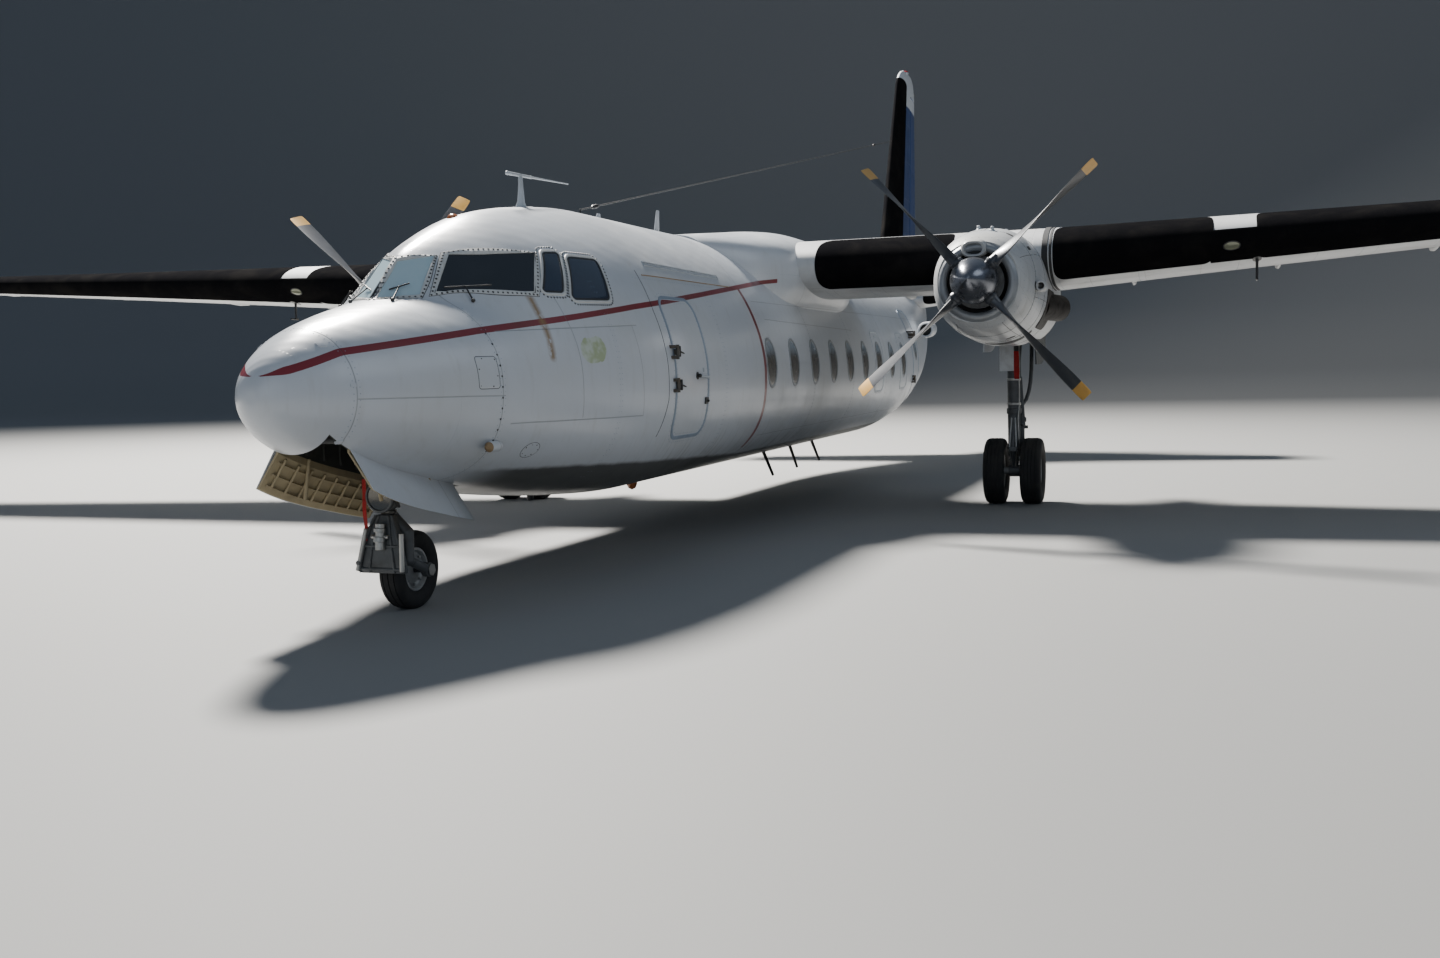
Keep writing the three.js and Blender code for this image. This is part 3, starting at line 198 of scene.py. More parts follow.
def outline_reach(across, up, half, rise, squareness):
    """How far out a rounded outline lies in the direction of a point, in times its distance."""
    return ((abs(across) / half) ** squareness + (abs(up) / rise) ** squareness) ** (-1 / squareness)


def snapped(aft, across, height):
    """The skin's point straight out from its section's middle through a place."""
    half, top, wide, bottom, upper, lower = section(aft)
    up = height - wide
    if up < 0:
        grow = outline_reach(across, up, half, wide - bottom, lower)
    else:
        grow = outline_reach(across, up, half, top - wide, upper)
        if HOOD[0][0] < aft < HOOD[-1][0]:
            hood = outline_reach(across, up, half, hood_top(aft) - wide, HOOD_SQUARENESS)
            soft = CREASE_SOFTNESS * fade(up / math.hypot(across, up), 0, 0.4)
            soft *= fade(aft, 1.38, 1.5) * (1 - fade(aft, 2.5, 2.9))
            grow = 0.5 * (grow + hood + math.hypot(grow - hood, soft * hood))
    return Vector((across * grow, aft, wide + up * grow))


def ring_point(aft, angle):
    half, top, wide, bottom, upper, lower = section(aft)
    c, s = math.cos(angle), math.sin(angle)
    squareness, rise = lower, wide - bottom
    if s >= 0:
        squareness, rise = upper, top - wide
        if aft > HOOD[0][0]:
            # the points' spread goes over slowly from the hood's to the roof's
            share = fade(aft, 1.9, 3.4)
            squareness = mix(HOOD_SQUARENESS, upper, share)
            rise = mix(hood_top(min(aft, HOOD[-1][0])), top, share) - wide
    across = half * bulged(c, 2 / squareness)
    return snapped(aft, across, wide + rise * bulged(s, 2 / squareness))


def on_skin(aft, across, height, out=0.0):
    """A place on the skin, moved out along the skin's own slope, and that slope's normal."""
    wide = section(aft)[2]
    turn, step = math.atan2(height - wide, across), 0.01

    def at(a, angle):
        return snapped(a, math.cos(angle), section(a)[2] + math.sin(angle))

    round_it = at(aft, turn + step) - at(aft, turn - step)
    normal = (at(aft + step, turn) - at(max(aft - step, 0.001), turn)).cross(round_it).normalized()
    if normal.x * across + normal.z * (height - wide) < 0:
        normal.negate()
    return at(aft, turn) + normal * out, normal


def half_width(aft, height):
    half, top, wide, bottom, upper, lower = section(aft)
    if height <= wide:
        return half * (1 - min((wide - height) / (wide - bottom), 1) ** lower) ** (1 / lower)
    width = half * (1 - min((height - wide) / (top - wide), 1) ** upper) ** (1 / upper)
    if HOOD[0][0] < aft < HOOD[-1][0]:
        share = min((height - wide) / (hood_top(aft) - wide), 1)
        width = max(width, half * (1 - share ** HOOD_SQUARENESS) ** (1 / HOOD_SQUARENESS))
    return width


def beside(aft, height, side=1, out=0.0):
    """A place on the side at a height, and its normal."""
    return on_skin(aft, side * half_width(aft, height), height, out)


def mesh_object(name, points, faces, corner_uv=None):
    mesh = bpy.data.meshes.new(name)
    mesh.from_pydata([tuple(p) for p in points], [], faces)
    if corner_uv is not None:
        layer = mesh.uv_layers.new(name="skin")
        layer.data.foreach_set("uv", np.asarray(corner_uv, np.float32).ravel())
    obj = bpy.data.objects.new(name, mesh)
    bpy.context.collection.objects.link(obj)
    return obj


def outward(obj):
    work = bmesh.new()
    work.from_mesh(obj.data)
    bmesh.ops.recalc_face_normals(work, faces=work.faces)
    work.to_mesh(obj.data)
    work.free()


def band_faces(rows, size, closed=False):
    """Quads between neighbouring rows of points; each row is closed on itself."""
    pairs = [(i * size, (i + 1) % rows * size) for i in range(rows if closed else rows - 1)]
    return [(a + j, a + (j + 1) % size, b + (j + 1) % size, b + j) for a, b in pairs for j in range(size)]


def banded(name, rows, closed):
    """A body from rows of points, closed from the last row to the first or with its two ends filled."""
    size, count = len(rows[0]), len(rows)
    faces = band_faces(count, size, closed)
    if not closed:
        faces += [tuple(range(size)), tuple(range(count * size - 1, (count - 1) * size - 1, -1))]
    obj = mesh_object(name, [p for row in rows for p in row], faces)
    outward(obj)
    return obj


def loft(name, rings, lengthways=None, around=None):
    """A closed body through rings of points; its map holds metres along and metres or shares round."""
    rings = [[Vector(p) for p in ring] for ring in rings]
    count = len(rings[0])
    points = [p for ring in rings for p in ring]
    lengthways = lengthways or [ring[0].y for ring in rings]
    girth = around
    if girth is None:
        girth = []
        for ring in rings:
            steps = [(ring[(j + 1) % count] - ring[j]).length for j in range(count)]
            girth.append(np.concatenate([[0], np.cumsum(steps)]))
    faces, uv = band_faces(len(rings), count), []
    for i in range(len(rings) - 1):
        for j in range(count):
            uv += [
                (lengthways[i], girth[i][j]), (lengthways[i], girth[i][j + 1]),
                (lengthways[i + 1], girth[i + 1][j + 1]), (lengthways[i + 1], girth[i + 1][j]),
            ]
    last = (len(rings) - 1) * count
    faces += [tuple(range(count)), tuple(range(last + count - 1, last - 1, -1))]
    uv += [(lengthways[0], g) for g in girth[0][:-1]] + [(lengthways[-1], g) for g in girth[-1][:-1][::-1]]
    obj = mesh_object(name, points, faces, uv)
    outward(obj)
    return obj


def applied(obj):
    """Turns the object's modifiers into its mesh."""
    depsgraph = bpy.context.evaluated_depsgraph_get()
    mesh = bpy.data.meshes.new_from_object(obj.evaluated_get(depsgraph))
    obj.modifiers.clear()
    obj.data = mesh
    return obj


def carve(obj, cutters, operation="DIFFERENCE"):
    """Cuts the cutters out of a body, or keeps only what lies in them, and removes them."""
    for cutter in cutters:
        cut = obj.modifiers.new("cut", "BOOLEAN")
        cut.operation = operation
        cut.solver = "EXACT"
        cut.object = cutter
    applied(obj)
    for cutter in cutters:
        bpy.data.objects.remove(cutter)
    return obj


def fit(obj, body, finish, crease=32):
    """Stands a finished piece in its place, gives it its finish, and lets it ride on its body."""
    obj.data.transform(STAND)
    obj.data.materials.clear()
    obj.data.materials.append(finish)
    obj.data.shade_smooth()
    obj.data.set_sharp_from_angle(angle=math.radians(crease))
    obj.data.update()
    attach(obj, body)
    return obj


def box_cutter(low, high, name="cutter"):
    (x0, y0, z0), (x1, y1, z1) = low, high
    corners = [(x, y, z) for z in (z0, z1) for x, y in ((x0, y0), (x1, y0), (x1, y1), (x0, y1))]
    faces = [(3, 2, 1, 0), (4, 5, 6, 7), (0, 1, 5, 4), (1, 2, 6, 5), (2, 3, 7, 6), (3, 0, 4, 7)]
    return mesh_object(name, corners, faces)


def rounded_outline(aft0, aft1, low, high, radius, steps=8):
    """The corners of an upright rounded rectangle as (aft, up), going round."""
    centres = [
        (aft1 - radius, high - radius, 0), (aft0 + radius, high - radius, 90),
        (aft0 + radius, low + radius, 180), (aft1 - radius, low + radius, 270),
    ]
    return [
        (a + radius * math.cos(math.radians(start + 90 * i / steps)),
         u + radius * math.sin(math.radians(start + 90 * i / steps)))
        for a, u, start in centres for i in range(steps + 1)
    ]


def prism(outline, x0, x1):
    """A straight-sided body across the aircraft with an outline given as (aft, up)."""
    return banded("cutter", [[(x, a, u) for a, u in outline] for x in (x0, x1)], False)


def group_tree(name, inputs, outputs):
    tree = bpy.data.node_groups.new(name, "ShaderNodeTree")
    for label, kind, value in inputs:
        socket = tree.interface.new_socket(label, in_out="INPUT", socket_type=kind)
        socket.default_value = value
    for label, kind in outputs:
        tree.interface.new_socket(label, in_out="OUTPUT", socket_type=kind)
    return tree, tree.nodes.new("NodeGroupInput"), tree.nodes.new("NodeGroupOutput")


def sums(tree, operation, first, second=None, clamp=False):
    node = tree.nodes.new("ShaderNodeMath")
    node.operation = operation
    node.use_clamp = clamp
    for socket, value in zip(node.inputs, (first, second)):
        if isinstance(value, (int, float)):
            socket.default_value = value
        elif value is not None:
            tree.links.new(value, socket)
    return node.outputs[0]


def times(tree, first, second):
    return sums(tree, "MULTIPLY", first, second)


def plus(tree, first, second, clamp=False):
    return sums(tree, "ADD", first, second, clamp)


def minus(tree, first, second, clamp=False):
    return sums(tree, "SUBTRACT", first, second, clamp)


def apart(tree, first, second):
    return sums(tree, "ABSOLUTE", minus(tree, first, second))


def thin_line(tree, distance, width):
    """1 where the distance is nought, and 0 from the width on."""
    return minus(tree, 1.0, sums(tree, "DIVIDE", distance, width), clamp=True)


def noise(tree, vector, scale, detail=4.0, roughness=0.55, distortion=0.0):
    node = tree.nodes.new("ShaderNodeTexNoise")
    node.inputs["Scale"].default_value = scale
    node.inputs["Detail"].default_value = detail
    node.inputs["Roughness"].default_value = roughness
    node.inputs["Distortion"].default_value = distortion
    tree.links.new(vector, node.inputs["Vector"])
    return node.outputs["Fac"]


def ramp(tree, factor, low, high):
    """0 below low, 1 above high, and a soft step between."""
    node = tree.nodes.new("ShaderNodeMapRange")
    node.interpolation_type = "SMOOTHSTEP"
    node.inputs["From Min"].default_value = low
    node.inputs["From Max"].default_value = high
    tree.links.new(factor, node.inputs["Value"])
    return node.outputs[0]


def stretched(tree, vector, scale):
    node = tree.nodes.new("ShaderNodeMapping")
    node.inputs["Scale"].default_value = scale
    tree.links.new(vector, node.inputs["Vector"])
    return node.outputs[0]


def mixed(tree, factor, first, second):
    """Two colours mixed by a mask."""
    node = tree.nodes.new("ShaderNodeMix")
    node.data_type = "RGBA"
    for socket, value in ((node.inputs[0], factor), (node.inputs[6], first), (node.inputs[7], second)):
        if isinstance(value, (int, float)):
            socket.default_value = value
        elif isinstance(value, tuple):
            socket.default_value = (*value, 1)
        else:
            tree.links.new(value, socket)
    return node.outputs[2]


# level place: metres out from the middle, aft of the nose tip and up, whatever way the aircraft stands
level_place, _, out = group_tree("level place", [], [("Out", "NodeSocketFloat"), ("Aft", "NodeSocketFloat"),
                                                     ("Up", "NodeSocketFloat"),
                                                     ("Place", "NodeSocketVector")])
coordinates = level_place.nodes.new("ShaderNodeTexCoord")
shift = level_place.nodes.new("ShaderNodeMapping")
shift.inputs["Location"].default_value = (0, WHEELS_AHEAD, 0)
rotate = level_place.nodes.new("ShaderNodeMapping")
rotate.inputs["Rotation"].default_value = (-NOSE_DOWN, 0, 0)
rotate.inputs["Location"].default_value = (0, WHEELS_AFT, 0)
split = level_place.nodes.new("ShaderNodeSeparateXYZ")
level_place.links.new(coordinates.outputs["Object"], shift.inputs["Vector"])
level_place.links.new(shift.outputs[0], rotate.inputs["Vector"])
level_place.links.new(rotate.outputs[0], split.inputs[0])
level_place.links.new(rotate.outputs[0], out.inputs["Place"])
for axis, label in enumerate(("Out", "Aft", "Up")):
    level_place.links.new(split.outputs[axis], out.inputs[label])

# grime: patches, fine specks and streaks that run down, each from its own noise
grime, given, out = group_tree("grime", [("Place", "NodeSocketVector", (0, 0, 0)),
                                         ("Scale", "NodeSocketFloat", 1.0),
                                         ("Amount", "NodeSocketFloat", 0.5)],
                               [("Patches", "NodeSocketFloat"), ("Streaks", "NodeSocketFloat"),
                                ("Specks", "NodeSocketFloat")])
scaled = grime.nodes.new("ShaderNodeVectorMath")
scaled.operation = "SCALE"
grime.links.new(given.outputs["Place"], scaled.inputs[0])
grime.links.new(given.outputs["Scale"], scaled.inputs["Scale"])
place = scaled.outputs[0]
for label, source in (
    ("Patches", ramp(grime, noise(grime, place, 0.9, 6, 0.6, 0.4), 0.42, 0.78)),
    ("Streaks", ramp(grime, noise(grime, stretched(grime, place, (5, 5, 0.7)), 2.2, 5, 0.6), 0.5, 0.82)),
    ("Specks", ramp(grime, noise(grime, place, 38, 3, 0.7), 0.66, 0.78)),
):
    grime.links.new(times(grime, source, given.outputs["Amount"]), out.inputs[label])

# seam: a thin straight line between two places on the side, given as metres aft and up
seam, given, out = group_tree(
    "seam",
    [("Aft", "NodeSocketFloat", 0.0), ("Up", "NodeSocketFloat", 0.0)]
    + [(label, "NodeSocketFloat", 0.0) for label in ("Aft 1", "Up 1", "Aft 2", "Up 2")]
    + [("Width", "NodeSocketFloat", 0.004)],
    [("Line", "NodeSocketFloat")],
)
run = [minus(seam, given.outputs[f"{k} 2"], given.outputs[f"{k} 1"]) for k in ("Aft", "Up")]
reach = [minus(seam, given.outputs[k], given.outputs[f"{k} 1"]) for k in ("Aft", "Up")]
squared = plus(seam, times(seam, run[0], run[0]), times(seam, run[1], run[1]))
dotted = plus(seam, times(seam, run[0], reach[0]), times(seam, run[1], reach[1]))
share = sums(seam, "DIVIDE", dotted, squared, clamp=True)
miss = [minus(seam, reach[i], times(seam, run[i], share)) for i in (0, 1)]
far = sums(seam, "SQRT", plus(seam, times(seam, miss[0], miss[0]), times(seam, miss[1], miss[1])))
line = thin_line(seam, far, given.outputs["Width"])
seam.links.new(line, out.inputs["Line"])

# rivets: a row of round heads along a line, from metres along it and metres to its side
rivets, given, out = group_tree(
    "rivets",
    [("Along", "NodeSocketFloat", 0.0), ("Across", "NodeSocketFloat", 0.0),
     ("Pitch", "NodeSocketFloat", 0.03), ("Size", "NodeSocketFloat", 0.004)],
    [("Heads", "NodeSocketFloat")],
)
cell = sums(rivets, "DIVIDE", given.outputs["Along"], given.outputs["Pitch"])
offset = times(rivets, minus(rivets, sums(rivets, "FRACT", cell), 0.5), given.outputs["Pitch"])
far = sums(rivets, "SQRT", plus(rivets, times(rivets, offset, offset),
                                times(rivets, given.outputs["Across"], given.outputs["Across"])))
heads = thin_line(rivets, far, given.outputs["Size"])
rivets.links.new(heads, out.inputs["Heads"])


def use(tree, group, **values):
    """Places a group in a material; a value is a number, a vector or another node's output."""
    node = tree.nodes.new("ShaderNodeGroup")
    node.node_tree = group
    for label, value in values.items():
        socket = node.inputs[label.replace("_", " ")]
        if isinstance(value, (int, float, tuple)):
            socket.default_value = value
        else:
            tree.links.new(value, socket)
    return node


def with_grime(tree, scale, amount):
    """The level place and the grime of a material."""
    level = use(tree, level_place)
    return level, use(tree, grime, Place=level.outputs["Place"], Scale=scale, Amount=amount)


def finish_material(name, roughness, metallic=0.0, coat=0.0, coat_roughness=0.1):
    material = bpy.data.materials.new(name)
    material.use_nodes = True
    tree = material.node_tree
    shader = tree.nodes["Principled BSDF"]
    shader.inputs["Roughness"].default_value = roughness
    shader.inputs["Metallic"].default_value = metallic
    shader.inputs["Coat Weight"].default_value = coat
    shader.inputs["Coat Roughness"].default_value = coat_roughness
    return material, tree, shader


def skin_map(tree):
    """The two outputs of a piece's own map, along it and round it."""
    held = tree.nodes.new("ShaderNodeUVMap")
    held.uv_map = "skin"
    split_map = tree.nodes.new("ShaderNodeSeparateXYZ")
    tree.links.new(held.outputs[0], split_map.inputs[0])
    return split_map.outputs[0], split_map.outputs[1]


def raised(tree, shader, height, distance):
    bump = tree.nodes.new("ShaderNodeBump")
    bump.inputs["Distance"].default_value = distance
    bump.inputs["Strength"].default_value = 1.0
    tree.links.new(height, bump.inputs["Height"])
    tree.links.new(bump.outputs[0], shader.inputs["Normal"])


# Paint: a red line climbs from the nose tip to the wing and meets a red ring ahead of the propellers. Lap
# joints show as fine dark lines. The belly is near black, partly from oil and exhaust and partly as painted
# shade under the fuselage.
RED_LINE = [(0.0, 1.905), (0.055, 1.928), (0.504, 2.074), (1.683, 2.222), (3.712, 2.447), (8.415, 2.908)]
RED_LINE_END = 8.42
RED_RING = {"aft": 6.99, "from": 1.0, "to": 2.76, "half": 0.042}
# the belly below this line, from one place aft and up to another, is near black: oil and exhaust grime, and
# painted shade
BELLY_GRIME_AND_SHADE_LINE = ((1.0, 1.215), (2.04, 1.168), (7.2, 0.931), (30.0, 0.93))
LEFT_SEAMS = [
    (0.52, 1.755, 1.76, 1.735), (1.84, 2.22, 3.63, 2.284), (1.85, 1.52, 3.6, 1.50), (7.4, 2.42, 11.5, 2.36),
    (3.55, 2.28, 3.6, 1.5), (2.62, 2.53, 2.66, 1.53),
]

white_paint, tree, shader = finish_material("white_paint", 0.34, coat=0.25, coat_roughness=0.18)
level, dirt = with_grime(tree, 1.0, 1.0)
out_, aft_, up_ = (level.outputs[k] for k in ("Out", "Aft", "Up"))
curve = tree.nodes.new("ShaderNodeFloatCurve")
points = curve.mapping.curves[0].points
curve.mapping.use_clip = False
table = [(a / 10, (u - 1.5) / 2) for a, u in RED_LINE]
points[0].location, points[1].location = table[0], table[-1]
for place in table[1:-1]:
    points.new(*place)
for point in points:
    point.handle_type = "VECTOR"
curve.mapping.update()
tree.links.new(times(tree, aft_, 0.1), curve.inputs["Value"])
red_up = plus(tree, times(tree, curve.outputs[0], 2.0), 1.5)
off_line = apart(tree, up_, red_up)
red = sums(tree, "LESS_THAN", off_line, times(tree, ramp(tree, aft_, 0.02, 0.16), 0.0235))
red = times(tree, red, sums(tree, "LESS_THAN", aft_, RED_LINE_END))
red = times(tree, red, sums(tree, "GREATER_THAN", aft_, 0.05))
ring = sums(tree, "LESS_THAN", apart(tree, aft_, RED_RING["aft"]), RED_RING["half"])
ring = times(tree, ring, sums(tree, "GREATER_THAN", up_, RED_RING["from"]))
ring = times(tree, ring, sums(tree, "LESS_THAN", up_, RED_RING["to"]))
red = sums(tree, "MAXIMUM", red, ring)
lines = 0.0
port_side = sums(tree, "GREATER_THAN", out_, 0.05)
for aft1, up1, aft2, up2 in LEFT_SEAMS:
    node = use(tree, seam, Aft=aft_, Up=up_, Aft_1=aft1, Up_1=up1, Aft_2=aft2, Up_2=up2, Width=0.007)
    lines = sums(tree, "MAXIMUM", lines, node.outputs[0])
lines = times(tree, lines, port_side)
for aft1 in (0.52, 1.74, 7.03, 9.1, 11.2, 13.4, 16.9, 19.3, 21.4):
    gap = apart(tree, aft_, aft1)
    lines = sums(tree, "MAXIMUM", lines, thin_line(tree, gap, 0.006))
for up1 in (2.62, 1.12):
    lap = use(tree, seam, Aft=aft_, Up=up_, Aft_1=7.2, Up_1=up1, Aft_2=19.0, Up_2=up1 + 0.02, Width=0.006)
    lines = sums(tree, "MAXIMUM", lines, lap.outputs[0])
# painted shade and grime: below the line the skin darkens to near black
belly = 0.0
for (aft1, up1), (aft2, up2) in zip(BELLY_GRIME_AND_SHADE_LINE, BELLY_GRIME_AND_SHADE_LINE[1:]):
    slope = (up2 - up1) / (aft2 - aft1)
    edge = plus(tree, times(tree, aft_, slope), up1 - slope * aft1)
    under = minus(tree, edge, up_)
    wander = times(tree, minus(tree, noise(tree, level.outputs["Place"], 5, 4), 0.5), 0.03)
    under = ramp(tree, plus(tree, under, wander), -0.012, 0.03)
    within = times(tree, sums(tree, "GREATER_THAN", aft_, aft1), sums(tree, "LESS_THAN", aft_, aft2))
    belly = sums(tree, "MAXIMUM", belly, times(tree, under, within))
belly = times(tree, belly, ramp(tree, aft_, 1.6, 2.3))
# oil and water have run back and down from the doors' sills to the belly
drained = ramp(tree, noise(tree, stretched(tree, level.outputs["Place"], (1, 11, 1.1)), 1.6, 3), 0.50, 0.66)
drained = times(tree, drained, minus(tree, 1.0, ramp(tree, up_, 0.95, 1.42), clamp=True))
drained = times(tree, drained, ramp(tree, aft_, 2.6, 4.2))
rust_run = use(tree, seam, Aft=aft_, Up=up_, Aft_1=2.38, Up_1=2.48, Aft_2=2.31, Up_2=2.02, Width=0.05)
rust_run = times(tree, rust_run.outputs[0], ramp(tree, noise(tree, level.outputs["Place"], 22, 3), 0.25, 0.5))
colour = mixed(tree, times(tree, dirt.outputs["Patches"], 0.34), SKY_SHADED_WHITE, (0.50, 0.50, 0.47))
colour = mixed(tree, times(tree, dirt.outputs["Streaks"], 0.22), colour, (0.36, 0.35, 0.31))
colour = mixed(tree, times(tree, dirt.outputs["Specks"], 0.12), colour, (0.22, 0.21, 0.19))
colour = mixed(tree, red, colour, mixed(tree, dirt.outputs["Patches"], JOINT_RED, (0.16, 0.03, 0.028)))
colour = mixed(tree, times(tree, drained, 0.42), colour, (0.20, 0.205, 0.19))
colour = mixed(tree, times(tree, times(tree, rust_run, port_side), 0.95), colour, (0.25, 0.15, 0.05))
colour = mixed(tree, times(tree, belly, 0.93), colour, (0.052, 0.052, 0.044))
colour = mixed(tree, times(tree, lines, 0.5), colour, (0.06, 0.06, 0.06))
scar = use(tree, seam, Aft=aft_, Up=up_, Aft_1=2.78, Up_1=2.06, Aft_2=2.93, Up_2=2.08, Width=0.125)
scar_edge = plus(tree, scar.outputs[0], times(tree, noise(tree, level.outputs["Place"], 13, 3), 0.45))
scarred = times(tree, sums(tree, "GREATER_THAN", scar_edge, 0.40), port_side)
scarred = times(tree, scarred, sums(tree, "GREATER_THAN", scar.outputs[0], 0.01))
primer = mixed(tree, ramp(tree, noise(tree, level.outputs["Place"], 9, 2), 0.40, 0.62), (0.40, 0.46, 0.29),
               (0.55, 0.60, 0.53))
colour = mixed(tree, scarred, colour, primer)
tree.links.new(colour, shader.inputs["Base Color"])
gloss = plus(tree, 0.30, times(tree, dirt.outputs["Patches"], 0.22))
tree.links.new(plus(tree, gloss, times(tree, belly, 0.2), clamp=True), shader.inputs["Roughness"])
# skins between rings dish a little, and the lines are grooves
sheet = skin_map(tree)
ring_wave = sums(tree, "SINE", times(tree, sheet[0], 2 * math.pi / 0.47))
stringer_wave = sums(tree, "SINE", times(tree, sheet[1], 2 * math.pi / 0.19))
dish = times(tree, times(tree, ring_wave, stringer_wave), 0.10)
dish = plus(tree, dish, times(tree, noise(tree, level.outputs["Place"], 1.6, 3), 0.9))
heads = 0.0
for pitch, line_step, along, across in ((0.032, 0.47, 1, 0), (0.045, 0.38, 0, 1)):
    nearest = minus(tree, sums(tree, "FRACT", sums(tree, "DIVIDE", sheet[across], line_step)), 0.5)
    row = use(tree, rivets, Along=sheet[along], Across=times(tree, nearest, line_step), Pitch=pitch,
              Size=0.0055)
    heads = sums(tree, "MAXIMUM", heads, row.outputs[0])
height = plus(tree, dish, times(tree, heads, 0.16))
raised(tree, shader, minus(tree, height, times(tree, lines, 0.5)), 0.004)

# Fuselage lengths. Each ring of points goes from the keel round the left side. The nose gear bay, the
# doorways and the beds of the four cockpit panes are cut out of them; the after cabin is hollow.
LENGTHS = [
    ("radome_skin", "radome", 0.0, 0.52, 26), ("nose_skin", "nose_section", 0.52, 1.35, 20),
    ("cockpit_skin", "cockpit_section", 1.35, 3.2, 72), ("forward_skin", "forward_fuselage", 3.2, 7.03, 44),
    ("centre_skin", "centre_fuselage", 7.03, 13.4, 36), ("aft_skin", "aft_fuselage", 13.4, 19.3, 60),
    ("tail_skin", "tail_cone", 19.3, 23.558, 40),
]
LENGTH_GAP = 0.0008
# name, length it opens, side, aft from and to, bottom and top
DOORS = [
    ("crew_door", "forward_skin", 1, 4.23, 5.09, 1.25, 2.56),
    ("passenger_door", "aft_skin", 1, 15.75, 16.49, 1.13, 2.78),
    ("service_door", "aft_skin", -1, 15.75, 16.49, 1.33, 2.45),
]
HINGE_SHARES = {"crew_door": (0.38, 0.61), "passenger_door": (0.28, 0.74), "service_door": (0.28, 0.74)}
DOOR_CORNER = 0.16
DOORWAY_DEPTH = 0.62
BAY = {"half": 0.3, "from": 0.4, "to": 2.08, "roof": 1.56}
CABIN = {"wall": 0.14, "floor": 1.12, "from": 13.3, "to": 18.7}
# the flat panes' corners on the left: across, aft, height
WINDSHIELD = [(0.024, 1.450, 2.474), (0.288, 1.640, 2.500), (0.229, 1.980, 2.820), (0.016, 1.775, 2.785)]
SIDE_PANE = [(0.359, 1.724, 2.516), (0.848, 2.449, 2.537), (0.688, 2.772, 2.871), (0.281, 2.074, 2.844)]
PANE_THICKNESS = 0.03


def skin_length(name, start, end, steps, inward=0.0):
    spread = np.linspace(start, end, steps + 1)
    if start == 0:
        spread = np.linspace(0, math.sqrt(end), steps + 1) ** 2
    rings = []
    for aft in spread:
        middle = Vector((0, aft, section(float(aft))[2]))
        ring = [ring_point(float(aft), -math.pi / 2 + math.tau * k / RING_POINTS) for k in range(RING_POINTS)]
        rings.append([p + (middle - p).normalized() * inward for p in ring])
    return loft(name, rings)


def flat_pane(corners, outward_by, inward_by, side=1, grow=0.0):
    """The bed of a flat pane: its four corners moved on to their middle plane and given a depth."""
    places = [Vector((side * x, a, h)) for x, a, h in corners]
    middle = sum(places, Vector()) / 4
    normal = (places[2] - places[0]).cross(places[3] - places[1]).normalized()
    if normal.x * side < 0:
        normal.negate()
    flat = [p - normal * normal.dot(p - middle) for p in places]
    flat = [p + (p - middle).normalized() * grow for p in flat]
    rings = [[p + normal * lift for p in flat] for lift in (outward_by, -inward_by)]
    return loft("cutter", rings, lengthways=[0, 1]), flat, normal


skins = {name: skin_length(name, start, end - LENGTH_GAP, steps) for name, _, start, end, steps in LENGTHS}
for name in ("radome_skin", "nose_skin", "cockpit_skin"):
    cutters = [box_cutter((-BAY["half"], BAY["from"], 0), (BAY["half"], BAY["to"], BAY["roof"]))]
    if name == "cockpit_skin":
        for corners in (WINDSHIELD, SIDE_PANE):
            cutters += [flat_pane(corners, 0.4, PANE_THICKNESS + 0.0005, side, 0.0005)[0] for side in (1, -1)]
    carve(skins[name], cutters)
for name, skin, side, start, end, bottom, top in DOORS:
    inner = half_width(start, top) - DOORWAY_DEPTH
    outline = rounded_outline(start, end, bottom, top, DOOR_CORNER)
    carve(skins[skin], [prism(outline, side * inner, side * 1.7)])
hollow = skin_length("hollow", CABIN["from"], CABIN["to"], 30, CABIN["wall"])
carve(hollow, [box_cutter((-2, 13, 0), (2, 19, CABIN["floor"]))])
carve(skins["aft_skin"], [hollow])
for name, node, *_ in LENGTHS:
    fit(skins[name], "airframe", white_paint)
    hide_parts(node)

# Doors: each is a leaf of the skin itself with rounded corners, hung at its forward edge on two outside
# knuckles. A thin grey rim stands a little proud round each doorway.
DOOR_GAP = 0.008
DOOR_THICKNESS = 0.09
HINGE_STANDOFF = 0.022
KNUCKLE = {"radius": 0.017, "height": 0.06, "strap": 0.06, "gap": 0.0005}
KNUCKLE_BOLT = {"radius": 0.006, "head": 0.006, "from_end": 0.012, "from_edge": 0.014}
WIDEST_UP = 1.83


def turned(name, outline, start, towards, segments=48, loop=False):
    """A piece turned about a line, from its outline as (metres along, radius)."""
    start = Vector(start)
    along = (Vector(towards) - start).normalized()
    side = along.orthogonal().normalized()
    other = along.cross(side)
    points, rows = [], []
    for ahead, radius in outline:
        centre = start + along * ahead
        count = 1 if radius < 1e-5 else segments
        rows.append(range(len(points), len(points) + count))
        angles = [math.tau * j / segments for j in range(count)]
        points += [centre + (side * math.cos(a) + other * math.sin(a)) * radius for a in angles]
    faces = []
    for row, after in zip(rows, rows[1:] + (rows[:1] if loop else [])):
        for j in range(segments):
            k = (j + 1) % segments
            corners = [row[j % len(row)], row[k % len(row)], after[k % len(after)], after[j % len(after)]]
            corners = list(dict.fromkeys(corners))
            if len(corners) > 2:
                faces.append(corners)
    obj = mesh_object(name, points, faces)
    outward(obj)
    return obj


def rod(start, end, radius, end_radius=None, bevel=0.004, segments=20):
    """A round bar with broken edges."""
    end_radius = radius if end_radius is None else end_radius
    length = (Vector(end) - Vector(start)).length
    bevel = min(bevel, radius / 2, end_radius / 2, length / 3)
    outline = [(0, 0), (0, radius - bevel), (bevel, radius), (length - bevel, end_radius)]
    outline += [(length, end_radius - bevel), (length, 0)]
    return turned("rod", outline, start, end, segments)


def ball(centre, radius, segments=24):
    outline = [(radius * -math.cos(math.pi * k / 12), radius * math.sin(math.pi * k / 12)) for k in range(13)]
    return turned("ball", outline, centre, Vector(centre) + Vector((0, 0, 1)), segments)


